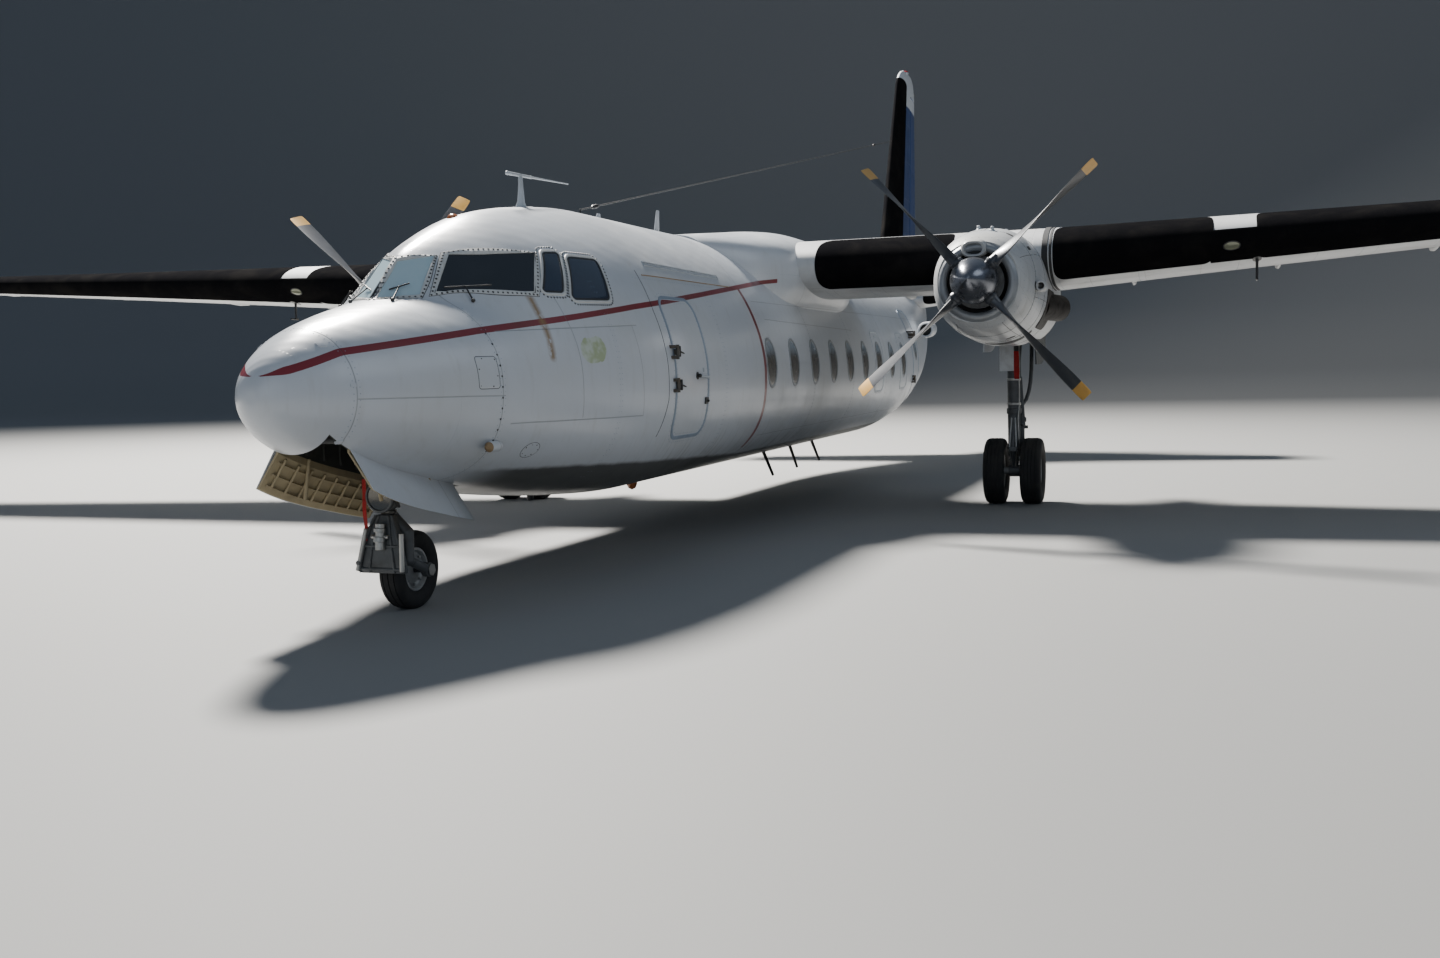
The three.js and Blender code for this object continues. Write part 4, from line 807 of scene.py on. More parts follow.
def bent_rod(path, radius, joint, segments):
    """A bent bar or pipe as straight lengths, with a ball where one ends."""
    lengths = []
    for a, b in zip(path, path[1:]):
        lengths += [rod(a, b, radius, segments=segments), ball(b, joint, segments)]
    return lengths


def block(low, high, bevel=0.004):
    """A bar or plate with broken edges."""
    obj = box_cutter([min(a, b) for a, b in zip(low, high)], [max(a, b) for a, b in zip(low, high)], "block")
    work = bmesh.new()
    work.from_mesh(obj.data)
    bmesh.ops.bevel(work, geom=work.edges[:], offset=bevel, segments=2, profile=0.7, affect="EDGES")
    bmesh.ops.recalc_face_normals(work, faces=work.faces)
    work.to_mesh(obj.data)
    work.free()
    return obj


def together(name, pieces):
    work = bmesh.new()
    for piece in pieces:
        work.from_mesh(piece.data)
        bpy.data.objects.remove(piece)
    mesh = bpy.data.meshes.new(name)
    work.to_mesh(mesh)
    work.free()
    obj = bpy.data.objects.new(name, mesh)
    bpy.context.collection.objects.link(obj)
    return obj


def other_hand(obj, name):
    """The same piece for the starboard side."""
    mesh = obj.data.copy()
    mesh.transform(Matrix.Scale(-1, 4, (1, 0, 0)))
    mesh.flip_normals()
    copy = bpy.data.objects.new(name, mesh)
    bpy.context.collection.objects.link(copy)
    return copy


def fit_pair(obj, name, body, finish, nodes=(), crease=32, per_side_body=False):
    """Fits a port piece and its starboard copy; body and nodes get the side's name behind them."""
    pair = [(obj, "port"), (other_hand(obj, f"{name}_starboard"), "starboard")]
    obj.name = f"{name}_port"
    for piece, hand in pair:
        fit(piece, f"{body}_{hand}" if per_side_body else body, finish, crease)
        if nodes:
            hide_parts(*[f"{node}_{hand}" for node in nodes])
    return [piece for piece, _ in pair]


def ribbon(name, path, normals, profile, closed=True):
    """A strip laid along a path; its profile is given as (metres to the path's right, metres out)."""
    count = len(path)
    rings = []
    for i in range(count):
        before = path[i - 1 if closed else max(i - 1, 0)]
        after = path[(i + 1) % count if closed else min(i + 1, count - 1)]
        across = (after - before).normalized().cross(normals[i]).normalized()
        rings.append([path[i] + across * a + normals[i] * n for a, n in profile])
    return banded(name, rings, closed)


def weathered(name, base, worn, roughness, metallic=0.0, scale=3.0, dirt=0.6, bump=0.001, coat=0.0,
              fine=60.0):
    """A finish with stains, streaks, specks and a fine uneven surface."""
    material, tree, shader = finish_material(name, roughness, metallic, coat)
    level, marks = with_grime(tree, scale, dirt)
    colour = mixed(tree, marks.outputs["Patches"], base, worn)
    colour = mixed(tree, times(tree, marks.outputs["Streaks"], 0.55), colour, worn)
    colour = mixed(tree, times(tree, marks.outputs["Specks"], 0.4), colour, tuple(c * 0.35 for c in worn))
    tree.links.new(colour, shader.inputs["Base Color"])
    rough = plus(tree, roughness, times(tree, marks.outputs["Patches"], 0.22), clamp=True)
    tree.links.new(rough, shader.inputs["Roughness"])
    raised(tree, shader, noise(tree, level.outputs["Place"], fine, 4, 0.6), bump)
    return material


rim_grey = weathered("rim_grey", (0.28, 0.345, 0.43), (0.20, 0.23, 0.27), 0.42, 0.25, 6.0)
knuckle_steel = weathered("knuckle_steel", (0.10, 0.095, 0.085), (0.17, 0.11, 0.065), 0.5, 0.5, 14.0, 0.8)
worn_metal = weathered("worn_metal", (0.48, 0.48, 0.46), (0.26, 0.24, 0.21), 0.38, 0.85, 8.0)
for name, skin, side, start, end, bottom, top in DOORS:
    g = DOOR_GAP
    leaf = skin_length(f"{name}_leaf", start - 0.15, end + 0.15, 24)
    outline = rounded_outline(start + g, end - g, bottom + g, top - g, DOOR_CORNER - g, 12)
    carve(leaf, [prism(outline, side * 0.3, side * 1.7)], operation="INTERSECT")
    carve(leaf, [skin_length("inner", start - 0.2, end + 0.2, 12, DOOR_THICKNESS)])
    fit(leaf, name, white_paint)
    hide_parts(name)
    hinge_x = side * (half_width(start, min(max(WIDEST_UP, bottom), top)) + HINGE_STANDOFF)
    for moving in (True, False):
        pieces = []
        for share in HINGE_SHARES[name]:
            z = bottom + share * (top - bottom)
            h = KNUCKLE["height"]
            spans = [(z - h / 2, z + h / 2)] if moving else [
                (z + way * (h / 2 + KNUCKLE["gap"]), z + way * (h * 1.1)) for way in (-1, 1)]
            for low, high in map(sorted, spans):
                pieces.append(rod((hinge_x, start, low), (hinge_x, start, high), KNUCKLE["radius"],
                                  bevel=0.002))
                level_up = high if low > WIDEST_UP else low
                inner = side * (half_width(start, level_up) - 0.012)
                strap = KNUCKLE["strap"]
                reach = (start + g, start + strap) if moving else (start - strap, start - KNUCKLE["gap"])
                pieces.append(block((inner, reach[0], low + 0.003), (hinge_x, reach[1], high - 0.003), 0.003))
                bolt, end_by, edge_by = KNUCKLE_BOLT, KNUCKLE_BOLT["from_end"], KNUCKLE_BOLT["from_edge"]
                pieces += [rod((hinge_x, a, u), (hinge_x + side * bolt["head"], a, u), bolt["radius"],
                               bevel=0.002, segments=10)
                           for a, u in ((reach[0] + end_by, low + edge_by),
                                        (reach[1] - end_by, high - edge_by))]
        knuckles = together(f"{name}_{'moving' if moving else 'fixed'}_knuckles", pieces)
        fit(knuckles, name if moving else "airframe", knuckle_steel)
    rim = rounded_outline(start - 0.004, end + 0.004, bottom - 0.004, top + 0.004, DOOR_CORNER, 12)
    rim = [corner for a, b in zip(rim, rim[1:] + rim[:1])
           for corner in [(mix(a[0], b[0], k / 12), mix(a[1], b[1], k / 12))
                          for k in range(12 if math.dist(a, b) > 0.1 else 1)]]
    places = [beside(a, u, side) for a, u in rim]
    strip = ribbon(f"{name}_rim", [p for p, _ in places], [n for _, n in places],
                   [(-side * a, n) for a, n in ((-0.004, -0.02), (-0.004, 0.004), (0.030, 0.004),
                                                (0.034, 0.001), (0.034, -0.02))])
    fit(strip, "airframe", rim_grey)

# Cockpit panes: flat laminated glass let into the skin and held by riveted frames. The two front panes
# stand behind a blind; the large side panes are dark.
pane_glass = weathered("pane_glass", (0.010, 0.013, 0.018), (0.03, 0.035, 0.04), 0.06, 0.0, 2.0, 0.4, 0.00005,
                       0.6, 4.0)
blind_glass = weathered("blind_glass", (0.50, 0.66, 0.72), (0.66, 0.76, 0.78), 0.12, 0.0, 2.0, 0.5, 0.0001,
                        0.6, 4.0)
frame_paint = weathered("frame_paint", (0.60, 0.61, 0.60), (0.36, 0.35, 0.32), 0.45, 0.0, 7.0)
for side, hand in ((1, "port"), (-1, "starboard")):
    for node, finish in ((f"windshield_{hand}", blind_glass), (f"cockpit_side_window_{hand}", pane_glass)):
        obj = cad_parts[node]
        obj.data.materials.clear()
        obj.data.materials.append(finish)


RIVET_STEP = 0.040
frame_seal = weathered("frame_seal", (0.030, 0.032, 0.036), (0.06, 0.06, 0.055), 0.6, 0.0, 9.0, 0.5)


def pane_frame(name, corners, side, inner, outer, rise=1.0):
    """A frame that bridges from a flat pane's edge up to the skin round it, and its rivets' places."""
    _, flat, normal = flat_pane(corners, 0.1, 0.1, side)
    bpy.data.objects.remove(bpy.data.objects["cutter"])
    middle = sum(flat, Vector()) / 4
    rows, spots = [], []
    for i in range(4):
        here, after = flat[i], flat[(i + 1) % 4]
        steps = max(round((after - here).length / RIVET_STEP), 6)
        for k in range(steps):
            on_edge = here.lerp(after, k / steps)
            inside = on_edge + (middle - on_edge).normalized() * inner
            outside = on_edge - (middle - on_edge).normalized() * outer
            skin, slope = on_skin(outside.y, outside.x, outside.z)
            near, near_slope = on_skin(on_edge.y, on_edge.x, on_edge.z)
            rows.append([inside + normal * 0.0015, inside + normal * 0.006 * rise,
                         near + near_slope * 0.007 * rise, skin + slope * 0.005 * rise, skin - slope * 0.02,
                         inside - normal * 0.02])
            spots.append((near.lerp(skin, 0.55) + slope * 0.0062, slope))
    return banded(name, rows, True), spots


frame_rivets = []
for corners, name, inner, outer in ((WINDSHIELD, "windshield_frame", 0.010, 0.030),
                                    (SIDE_PANE, "side_pane_frame", 0.014, 0.044)):
    piece, spots = pane_frame(name, corners, 1, inner, outer)
    fit_pair(piece, name, "airframe", frame_paint, crease=40)
    piece, _ = pane_frame(name, corners, 1, 0.0, outer + 0.006, 0.3)
    fit_pair(piece, f"{name}_line", "airframe", frame_seal, crease=40)
    frame_rivets += spots

# Rows of rivets, screws and bolt heads: a point stands for each, with its outward direction kept on it,
# and one Geometry Nodes tree sets a low dome on every point. Each set of rows is one mesh on its body.
HEAD_SEED = 7
HEAD_SIZES = (0.92, 1.08)
head_tree = bpy.data.node_groups.new("fastener heads", "GeometryNodeTree")
for label, kind, value in (("Points", "NodeSocketGeometry", None), ("Head radius", "NodeSocketFloat", 0.004),
                           ("Head rise", "NodeSocketFloat", 0.4), ("Seed", "NodeSocketInt", HEAD_SEED),
                           ("Finish", "NodeSocketMaterial", None)):
    socket = head_tree.interface.new_socket(label, in_out="INPUT", socket_type=kind)
    if value is not None:
        socket.default_value = value
head_tree.interface.new_socket("Heads", in_out="OUTPUT", socket_type="NodeSocketGeometry")
head_inputs = {item.name: item.identifier for item in head_tree.interface.items_tree
               if item.in_out == "INPUT"}
given, out = head_tree.nodes.new("NodeGroupInput"), head_tree.nodes.new("NodeGroupOutput")
dome = head_tree.nodes.new("GeometryNodeMeshUVSphere")
dome.inputs["Segments"].default_value, dome.inputs["Rings"].default_value = 8, 4
dome.inputs["Radius"].default_value = 1.0
flat = head_tree.nodes.new("GeometryNodeTransform")
squash = head_tree.nodes.new("ShaderNodeCombineXYZ")
squash.inputs[0].default_value = squash.inputs[1].default_value = 1.0
facing = head_tree.nodes.new("GeometryNodeInputNamedAttribute")
facing.data_type = "FLOAT_VECTOR"
facing.inputs["Name"].default_value = "outward"
aimed = head_tree.nodes.new("FunctionNodeAlignRotationToVector")
aimed.axis = "Z"
sizes = head_tree.nodes.new("FunctionNodeRandomValue")
sizes.data_type = "FLOAT"
float_inputs = [socket for socket in sizes.inputs if socket.type == "VALUE"]
float_inputs[0].default_value, float_inputs[1].default_value = HEAD_SIZES
size_drawn = [socket for socket in sizes.outputs if socket.type == "VALUE" and socket.enabled][0]
scale = head_tree.nodes.new("ShaderNodeMath")
scale.operation = "MULTIPLY"
stand = head_tree.nodes.new("GeometryNodeInstanceOnPoints")
real = head_tree.nodes.new("GeometryNodeRealizeInstances")
dress = head_tree.nodes.new("GeometryNodeSetMaterial")
smooth = head_tree.nodes.new("GeometryNodeSetShadeSmooth")
for source, target in (
        (given.outputs["Head rise"], squash.inputs[2]), (dome.outputs["Mesh"], flat.inputs["Geometry"]),
        (squash.outputs[0], flat.inputs["Scale"]), (facing.outputs[0], aimed.inputs["Vector"]),
        (given.outputs["Seed"], sizes.inputs["Seed"]), (given.outputs["Head radius"], scale.inputs[0]),
        (size_drawn, scale.inputs[1]), (given.outputs["Points"], stand.inputs["Points"]),
        (flat.outputs[0], stand.inputs["Instance"]), (aimed.outputs[0], stand.inputs["Rotation"]),
        (scale.outputs[0], stand.inputs["Scale"]), (stand.outputs[0], real.inputs[0]),
        (real.outputs[0], smooth.inputs["Geometry"]),
        (smooth.outputs[0], dress.inputs["Geometry"]), (given.outputs["Finish"], dress.inputs["Material"]),
        (dress.outputs[0], out.inputs[0])):
    head_tree.links.new(source, target)


def fastener_rows(name, spots, body, finish, radius=0.004, rise=0.45):
    """Heads on the given (place, outward direction) spots, in level places, as one mesh on one body."""
    obj = mesh_object(name, [place for place, _ in spots], [])
    layer = obj.data.attributes.new("outward", "FLOAT_VECTOR", "POINT")
    layer.data.foreach_set("vector", np.asarray([tuple(n) for _, n in spots], np.float32).ravel())
    heads = obj.modifiers.new("heads", "NODES")
    heads.node_group = head_tree
    for label, value in (("Head radius", radius), ("Head rise", rise), ("Seed", HEAD_SEED),
                         ("Finish", finish)):
        heads[head_inputs[label]] = value
    return fit(applied(obj), body, finish)


def spaced(path, pitch, closed=True):
    """Points at even steps along a path of points."""
    path = [Vector(p) for p in path] + ([Vector(path[0])] if closed else [])
    lengths = [0.0]
    for a, b in zip(path, path[1:]):
        lengths.append(lengths[-1] + (b - a).length)
    count = max(int(lengths[-1] / pitch), 2)
    spots = []
    for k in range(count + (0 if closed else 1)):
        want = lengths[-1] * k / count
        i = min(max(int(np.searchsorted(lengths, want)) - 1, 0), len(path) - 2)
        share = (want - lengths[i]) / max(lengths[i + 1] - lengths[i], 1e-9)
        spots.append(path[i].lerp(path[i + 1], share))
    return spots


def oval(aft, up, half_aft, half_up, count=40, squareness=2.0):
    return [(aft + half_aft * bulged(math.cos(t), 2 / squareness),
             up + half_up * bulged(math.sin(t), 2 / squareness)) for t in round_angles(count)]


def cornered(corners, radius, steps=6):
    """An outline of straight sides with its corners rounded."""
    outline = []
    for i, corner in enumerate(corners):
        here = Vector(corner)
        before, after = Vector(corners[i - 1]), Vector(corners[(i + 1) % len(corners)])
        first = here + (before - here).normalized() * radius
        last = here + (after - here).normalized() * radius
        for k in range(steps + 1):
            t = k / steps
            outline.append(tuple(first * (1 - t) ** 2 + here * 2 * t * (1 - t) + last * t * t))
    return outline


def grown(outline, by):
    """The outline moved outwards by a distance; it runs from aft to up."""
    count = len(outline)
    moved = []
    for i in range(count):
        (a0, u0), (a1, u1) = outline[i - 1], outline[(i + 1) % count]
        way = Vector((a1 - a0, u1 - u0))
        way = way.normalized() if way.length > 1e-6 else Vector((0, 1))
        moved.append((outline[i][0] + by * way.y, outline[i][1] - by * way.x))
    return moved


def dense(outline, closed=True, most=0.045):
    """The outline with points added on its long sides, so that it can follow a curved skin."""
    filled = []
    ends = outline[1:] + outline[:1] if closed else outline[1:]
    for here, after in zip(outline, ends):
        parts = max(int(math.dist(here, after) / most), 1)
        filled += [(mix(here[0], after[0], k / parts), mix(here[1], after[1], k / parts))
                   for k in range(parts)]
    return filled if closed else filled + [outline[-1]]


def plate(name, outline, side=1, out=0.004, depth=0.012, bulge=0.0, place=beside):
    """A plate that follows the skin, from its outline as (aft, up); its face may bulge."""
    outline = dense(outline)
    count = len(outline)
    middle = (sum(a for a, _ in outline) / count, sum(u for _, u in outline) / count)
    points = [place(*middle, side, out + bulge)[0]]
    for share, lift in ((0.3, out + 0.93 * bulge), (0.6, out + 0.68 * bulge), (0.85, out + 0.3 * bulge),
                        (0.985, out), (1.0, out * 0.55), (1.0, -depth)):
        points += [place(mix(middle[0], a, share), mix(middle[1], u, share), side, lift)[0]
                   for a, u in outline]
    faces = [(0, 1 + i, 1 + (i + 1) % count) for i in range(count)]
    for row in range(5):
        start = 1 + row * count
        faces += [(start + i, start + (i + 1) % count, start + count + (i + 1) % count, start + count + i)
                  for i in range(count)]
    faces.append(tuple(range(1 + 5 * count, 1 + 6 * count)))
    obj = mesh_object(name, points, faces)
    outward(obj)
    return obj


def edging(name, outline, profile, side=1, closed=True, place=beside):
    """A strip along an outline on the skin; its profile is (metres outside the outline, metres out)."""
    spots = [place(a, u, side) for a, u in dense(outline, closed)]
    return ribbon(name, [p for p, _ in spots], [n for _, n in spots], [(side * a, n) for a, n in profile],
                  closed)


def strip(inner, outer, height, depth=0.01):
    """The profile of a flat strip with broken edges."""
    soft = min(0.3 * (outer - inner), 0.6 * height)
    return [(inner, -depth), (inner, height - soft), (inner + soft, height), (outer - soft, height),
            (outer, height - soft), (outer, -depth)]


HEAD_LIFT = 0.0005


def heads_on(outline, pitch, side=1, closed=True):
    """Spots for fasteners at even steps along an outline on the skin."""
    path = [(a, u, 0) for a, u in dense(outline, closed)]
    return [beside(spot.x, spot.y, side, HEAD_LIFT) for spot in spaced(path, pitch, closed)]


def mirrored(spots, side=-1):
    """The same spots on the other side."""
    return [(Vector((side * p.x, p.y, p.z)), Vector((side * n.x, n.y, n.z))) for p, n in spots]


SIDES = ((1, "port"), (-1, "starboard"))
dark_steel_and_shade = weathered("dark_steel_and_shade", (0.055, 0.056, 0.058), (0.10, 0.085, 0.07), 0.42, 0.7, 12.0, 0.6)
dark_seal_and_shade = weathered("dark_seal_and_shade", (0.022, 0.023, 0.026), (0.05, 0.05, 0.048), 0.6, 0.0, 9.0, 0.5)
old_sealant = weathered("old_sealant", (0.30, 0.20, 0.10), (0.16, 0.11, 0.06), 0.6, 0.0, 8.0, 0.7)
light_grey = weathered("light_grey", (0.46, 0.50, 0.54), (0.30, 0.31, 0.31), 0.4, 0.05, 5.0, 0.5)

# Cabin windows: stretched acrylic in pressed oval rims, nine on each side and one in each after door. The
# two emergency exits show as raised rims round the seventh and the ninth.
WINDOWS = {"first": 7.243, "step": 0.943, "count": 9, "up": 1.93, "half_aft": 0.178, "half_up": 0.262}
EXITS = (6, 8)
window_rim = weathered("window_rim", (0.27, 0.29, 0.31), (0.16, 0.16, 0.15), 0.42, 0.2, 9.0)
window_glass, tree, shader = finish_material("window_glass", 0.22, coat=0.15, coat_roughness=0.1)
level, marks = with_grime(tree, 3.0, 0.8)
# painted reflection: the glass is dark brown below a height and pale grey-blue above it, the sky's reflection
# in the panes' upper part
sky_reflection_share = ramp(tree, plus(tree, level.outputs["Up"], times(tree, marks.outputs["Patches"], 0.05)), 1.97,
                2.13)
colour = mixed(tree, sky_reflection_share, (0.070, 0.060, 0.045), (0.22, 0.27, 0.32))
colour = mixed(tree, times(tree, marks.outputs["Streaks"], 0.4), colour, (0.16, 0.13, 0.09))
tree.links.new(colour, shader.inputs["Base Color"])
tree.links.new(plus(tree, 0.22, times(tree, marks.outputs["Patches"], 0.25)), shader.inputs["Roughness"])
raised(tree, shader, noise(tree, level.outputs["Place"], 6.0, 2), 0.0006)
for side, hand in SIDES:
    rims, glass, heads, frames = [], [], [], []
    for k in range(WINDOWS["count"]):
        shape = oval(WINDOWS["first"] + WINDOWS["step"] * k, WINDOWS["up"], WINDOWS["half_aft"],
                     WINDOWS["half_up"], squareness=2.15)
        rims.append(edging("rim", shape, [(-0.012, -0.01), (-0.012, 0.002), (-0.006, 0.007), (0.010, 0.007),
                                          (0.022, 0.003), (0.026, -0.01)], side))
        glass.append(plate("glass", grown(shape, -0.008), side, 0.0012, 0.006, 0.003))
        heads += heads_on(grown(shape, 0.034), 0.055, side)
        if k in EXITS:
            a = WINDOWS["first"] + WINDOWS["step"] * k
            frame_line = rounded_outline(a - 0.29, a + 0.29, 1.46, 2.36, 0.11)
            frames.append(edging("exit", frame_line, strip(-0.016, 0.016, 0.004), side))
            frames.append(plate("handle", rounded_outline(a - 0.05, a + 0.05, 2.27, 2.30, 0.012), side,
                                0.006))
            heads += heads_on(grown(frame_line, 0.03), 0.07, side)
    fit(together(f"cabin_window_rims_{hand}", rims), "airframe", window_rim)
    fit(together(f"cabin_window_panes_{hand}", glass), "airframe", window_glass)
    fit(together(f"exit_frames_{hand}", frames), "airframe", light_grey)
    fastener_rows(f"cabin_window_rivets_{hand}", heads, "airframe", rim_grey)
for door, side, aft, up in (("passenger_door", 1, 16.12, 2.16), ("service_door", -1, 16.12, 2.06)):
    shape = oval(aft, up, 0.15, 0.22, squareness=2.15)
    fit(edging(f"{door}_window_rim", shape, strip(-0.010, 0.024, 0.006), side), door, window_rim)
    fit(plate(f"{door}_window_pane", grown(shape, -0.006), side, 0.001, 0.006, 0.010), door, window_glass)

# Fuselage fittings: rain gutters over the crew door, screwed hatches, rows of screws, and the crew door's
# catches and lever. They are pressed or cast pieces screwed to the skin.
for side, hand in SIDES:
    gutters = []
    for start, end, out_height in (((4.443, 2.891), (6.486, 2.870), 0.012),
                                   ((4.443, 2.860), (6.486, 2.839), 0.007)):
        path = [(mix(start[0], end[0], k / 40), mix(start[1], end[1], k / 40)) for k in range(41)]
        gutters.append(edging("gutter", path, [(-0.008, -0.01), (-0.008, out_height * 0.4),
                                               (-0.002, out_height), (0.005, out_height), (0.009, -0.01)],
                              side, False))
    for aft in (4.443, 6.486):
        gutters.append(edging("gutter", [(aft, 2.856 - 0.01 * (aft > 5)), (aft, 2.895 - 0.02 * (aft > 5))],
                              strip(-0.005, 0.005, 0.008), side, False))
    fit(together(f"rain_gutters_{hand}", gutters), "airframe", light_grey)
    path = [(mix(4.221, 6.673, k / 40), mix(2.756, 2.758, k / 40)) for k in range(41)]
    fit(edging(f"gutter_seal_{hand}", path, strip(-0.006, 0.006, 0.004), side, False), "airframe",
        old_sealant)

skirt_line = [(4.141, 2.798), (4.071, 2.429), (4.08, 2.0), (4.08, 1.619), (3.966, 1.292)]
lines = [edging("line", skirt_line, strip(-0.003, 0.003, 0.0022), 1, False)]
HATCH = rounded_outline(1.513, 1.707, 1.793, 2.026, 0.02)
OVAL_HATCH = oval(2.181, 1.298, 0.085, 0.055, 32)
for outline in (HATCH, OVAL_HATCH):
    lines.append(edging("line", grown(outline, 0.003), strip(-0.002, 0.002, 0.0012)))
lines.append(edging("line", grown(rounded_outline(3.9, 5.0, 1.2, 2.2, 0.08), 0.003),
                    strip(-0.003, 0.003, 0.0015), -1))
fit(together("hatch_gaps", lines), "airframe", dark_seal_and_shade)
plates = [plate("hatch", HATCH, 1, 0.0022), plate("hatch", OVAL_HATCH, 1, 0.0022)]
plates += [plate("latch", rounded_outline(a - 0.022, a + 0.022, u - 0.012, u + 0.012, 0.004), side, 0.006)
           for side in (1, -1) for a, u in ((0.434, 2.124), (0.503, 1.469), (0.50, 1.85))]
fit(together("nose_hatches", plates), "airframe", white_paint)
dots = heads_on(grown(HATCH, -0.014), 0.105) + heads_on(grown(OVAL_HATCH, -0.012), 0.05)
dots += heads_on([(1.735, 1.32), (1.735, 2.20)], 0.075, closed=False)
fastener_rows("hatch_screws", dots, "airframe", dark_steel_and_shade, 0.009, 0.25)
spots = []
for aft, pitch in ((0.497, 0.045), (0.543, 0.045), (1.72, 0.05), (1.762, 0.05)):
    ring = [ring_point(aft, math.tau * k / 400) for k in range(401)]
    for spot in spaced(ring, pitch, False):
        if not (spot.z < 1.62 and abs(spot.x) < 0.33 and aft > 0.39) and not (aft > 1.6 and spot.z > 2.42):
            spots.append(on_skin(aft, spot.x, spot.z, 0.0004))
for side in (1, -1):
    spots += heads_on([(4.0, 2.72), (6.6, 2.72)], 0.05, side, closed=False)
    for aft in (3.18, 3.22, 5.63, 5.67, 7.10, 9.08, 9.12, 11.18, 11.22):
        spots += heads_on([(aft, 1.0), (aft, 2.65)], 0.045, side, closed=False)
fastener_rows("skin_screws", spots, "airframe", rim_grey, 0.0038)
for name, skin, side, start, end, bottom, top in DOORS:
    spots = heads_on(rounded_outline(start - 0.03, end + 0.03, bottom - 0.03, top + 0.03, DOOR_CORNER), 0.05,
                     side)
    fastener_rows(f"{name}_surround_rivets", spots, "airframe", rim_grey)
    spots = heads_on(rounded_outline(start + 0.045, end - 0.045, bottom + 0.045, top - 0.045,
                                     DOOR_CORNER - 0.04), 0.05, side)
    fastener_rows(f"{name}_leaf_rivets", spots, name, rim_grey)

catches = []
for aft, up in ((4.335, 2.052), (4.310, 1.75)):
    foot, slope = beside(aft, up)
    pin, half_pin = foot + slope * 0.018, Vector((0, 0, 0.05))
    seat = rounded_outline(aft - 0.035, aft + 0.035, up - 0.045, up + 0.045, 0.012)
    catches += [plate("catch", seat, 1, 0.006), rod(pin - half_pin, pin + half_pin, 0.013),
                rod(pin, foot + slope * 0.022 + Vector((0, 0.11, -0.02)), 0.010, 0.006)]
foot, slope = beside(4.77, 1.826)
catches += [plate("lever_seat", oval(4.77, 1.826, 0.036, 0.036, 24), 1, 0.005),
            rod(foot, foot + slope * 0.03, 0.016), ball(foot + slope * 0.026, 0.019)]
lever = [rod(foot + slope * 0.026, foot + slope * 0.024 + Vector((0, 0.25, -0.02)), 0.019, 0.015),
         plate("keeper", rounded_outline(4.93, 4.965, 1.86, 1.90, 0.008), 1, 0.006)]
fit(together("crew_door_lever", lever), "crew_door", light_grey)
foot, slope = beside(5.045, 1.582)
catches += [plate("latch", rounded_outline(4.99, 5.07, 1.55, 1.615, 0.01), 1, 0.012),
            rod(foot, foot + slope * 0.028, 0.012)]
fit(together("crew_door_catches", catches), "crew_door", dark_steel_and_shade)

# Nose probes: a white bullet of turned metal, rusted at its tip, on each side of the nose. It stands on a
# short foot that is riveted to the skin.
for side, hand in SIDES:
    foot, slope = beside(1.72, 1.384, side)
    centre = foot + slope * 0.050
    shape = [(0, 0), (0.0, 0.022), (0.014, 0.033), (0.045, 0.041), (0.14, 0.041), (0.18, 0.030),
             (0.198, 0.012), (0.202, 0)]
    bullet = turned("bullet", shape, centre - Vector((0, 0.10, 0)), centre + Vector((0, 1, 0)), 32)
    probe = together(f"nose_probe_{hand}", [bullet, rod(foot - slope * 0.02, centre, 0.020, 0.024)])
    fit(probe, "airframe", white_paint)
    tip = turned(f"nose_probe_tip_{hand}", [(0, 0), (0, 0.012), (0.014, 0.029), (0.034, 0.0385), (0.034, 0)],
                 centre - Vector((0, 0.112, 0)), centre, 32)
    fit(tip, "airframe", old_sealant)

# Aerials, lamps and an air scoop: a T aerial and a swept blade on the roof, a taut wire to the fin, bent
# rods under the belly, an amber lamp above and below, and a round scoop on the left behind the wing.
def roof(aft):
    return section(aft)[1]


def on_roof(aft, across, side=1, out=0.0):
    """A place on the roof near its middle, and its normal."""
    return on_skin(aft, across, roof(aft), out)


def swept(name, sections, count=24):
    """A streamlined upright or hanging fin, from (place of its middle, half chord, half thickness)."""
    rings = []
    for (px_, py_, pz_), chord, thick in sections:
        rings.append([(px_ + thick * math.sin(t) * (0.75 - 0.25 * math.cos(t)), py_ + chord * math.cos(t),
                       pz_) for t in round_angles(count)])
    return loft(name, rings, lengthways=[ring[0][2] for ring in rings])


top = roof(3.9) + 0.29
aerial = [swept("mast", [((0, 3.92, roof(3.9) - 0.03), 0.10, 0.055),
                         ((0, 3.92, roof(3.9) + 0.012), 0.085, 0.045),
                         ((0, 3.92, roof(3.9) + 0.05), 0.060, 0.030),
                         ((0, 3.92, roof(3.9) + 0.20), 0.040, 0.020), ((0, 3.92, top), 0.034, 0.018),
                         ((0, 3.92, top + 0.010), 0.026, 0.012)]),
          plate("mast_foot", oval(3.92, 0, 0.15, 0.085, 32), 1, 0.004, place=on_roof),
          rod((0, 3.66, top - 0.012), (0, 4.12, top + 0.004), 0.017, 0.013),
          rod((0, 4.12, top + 0.004), (0, 4.93, top + 0.036), 0.010, 0.005, segments=12),
          ball((0, 3.66, top - 0.012), 0.019), ball((0, 4.12, top + 0.004), 0.016)]
fit(together("t_aerial", aerial), "airframe", light_grey)
blade_top = roof(7.2) + 0.262
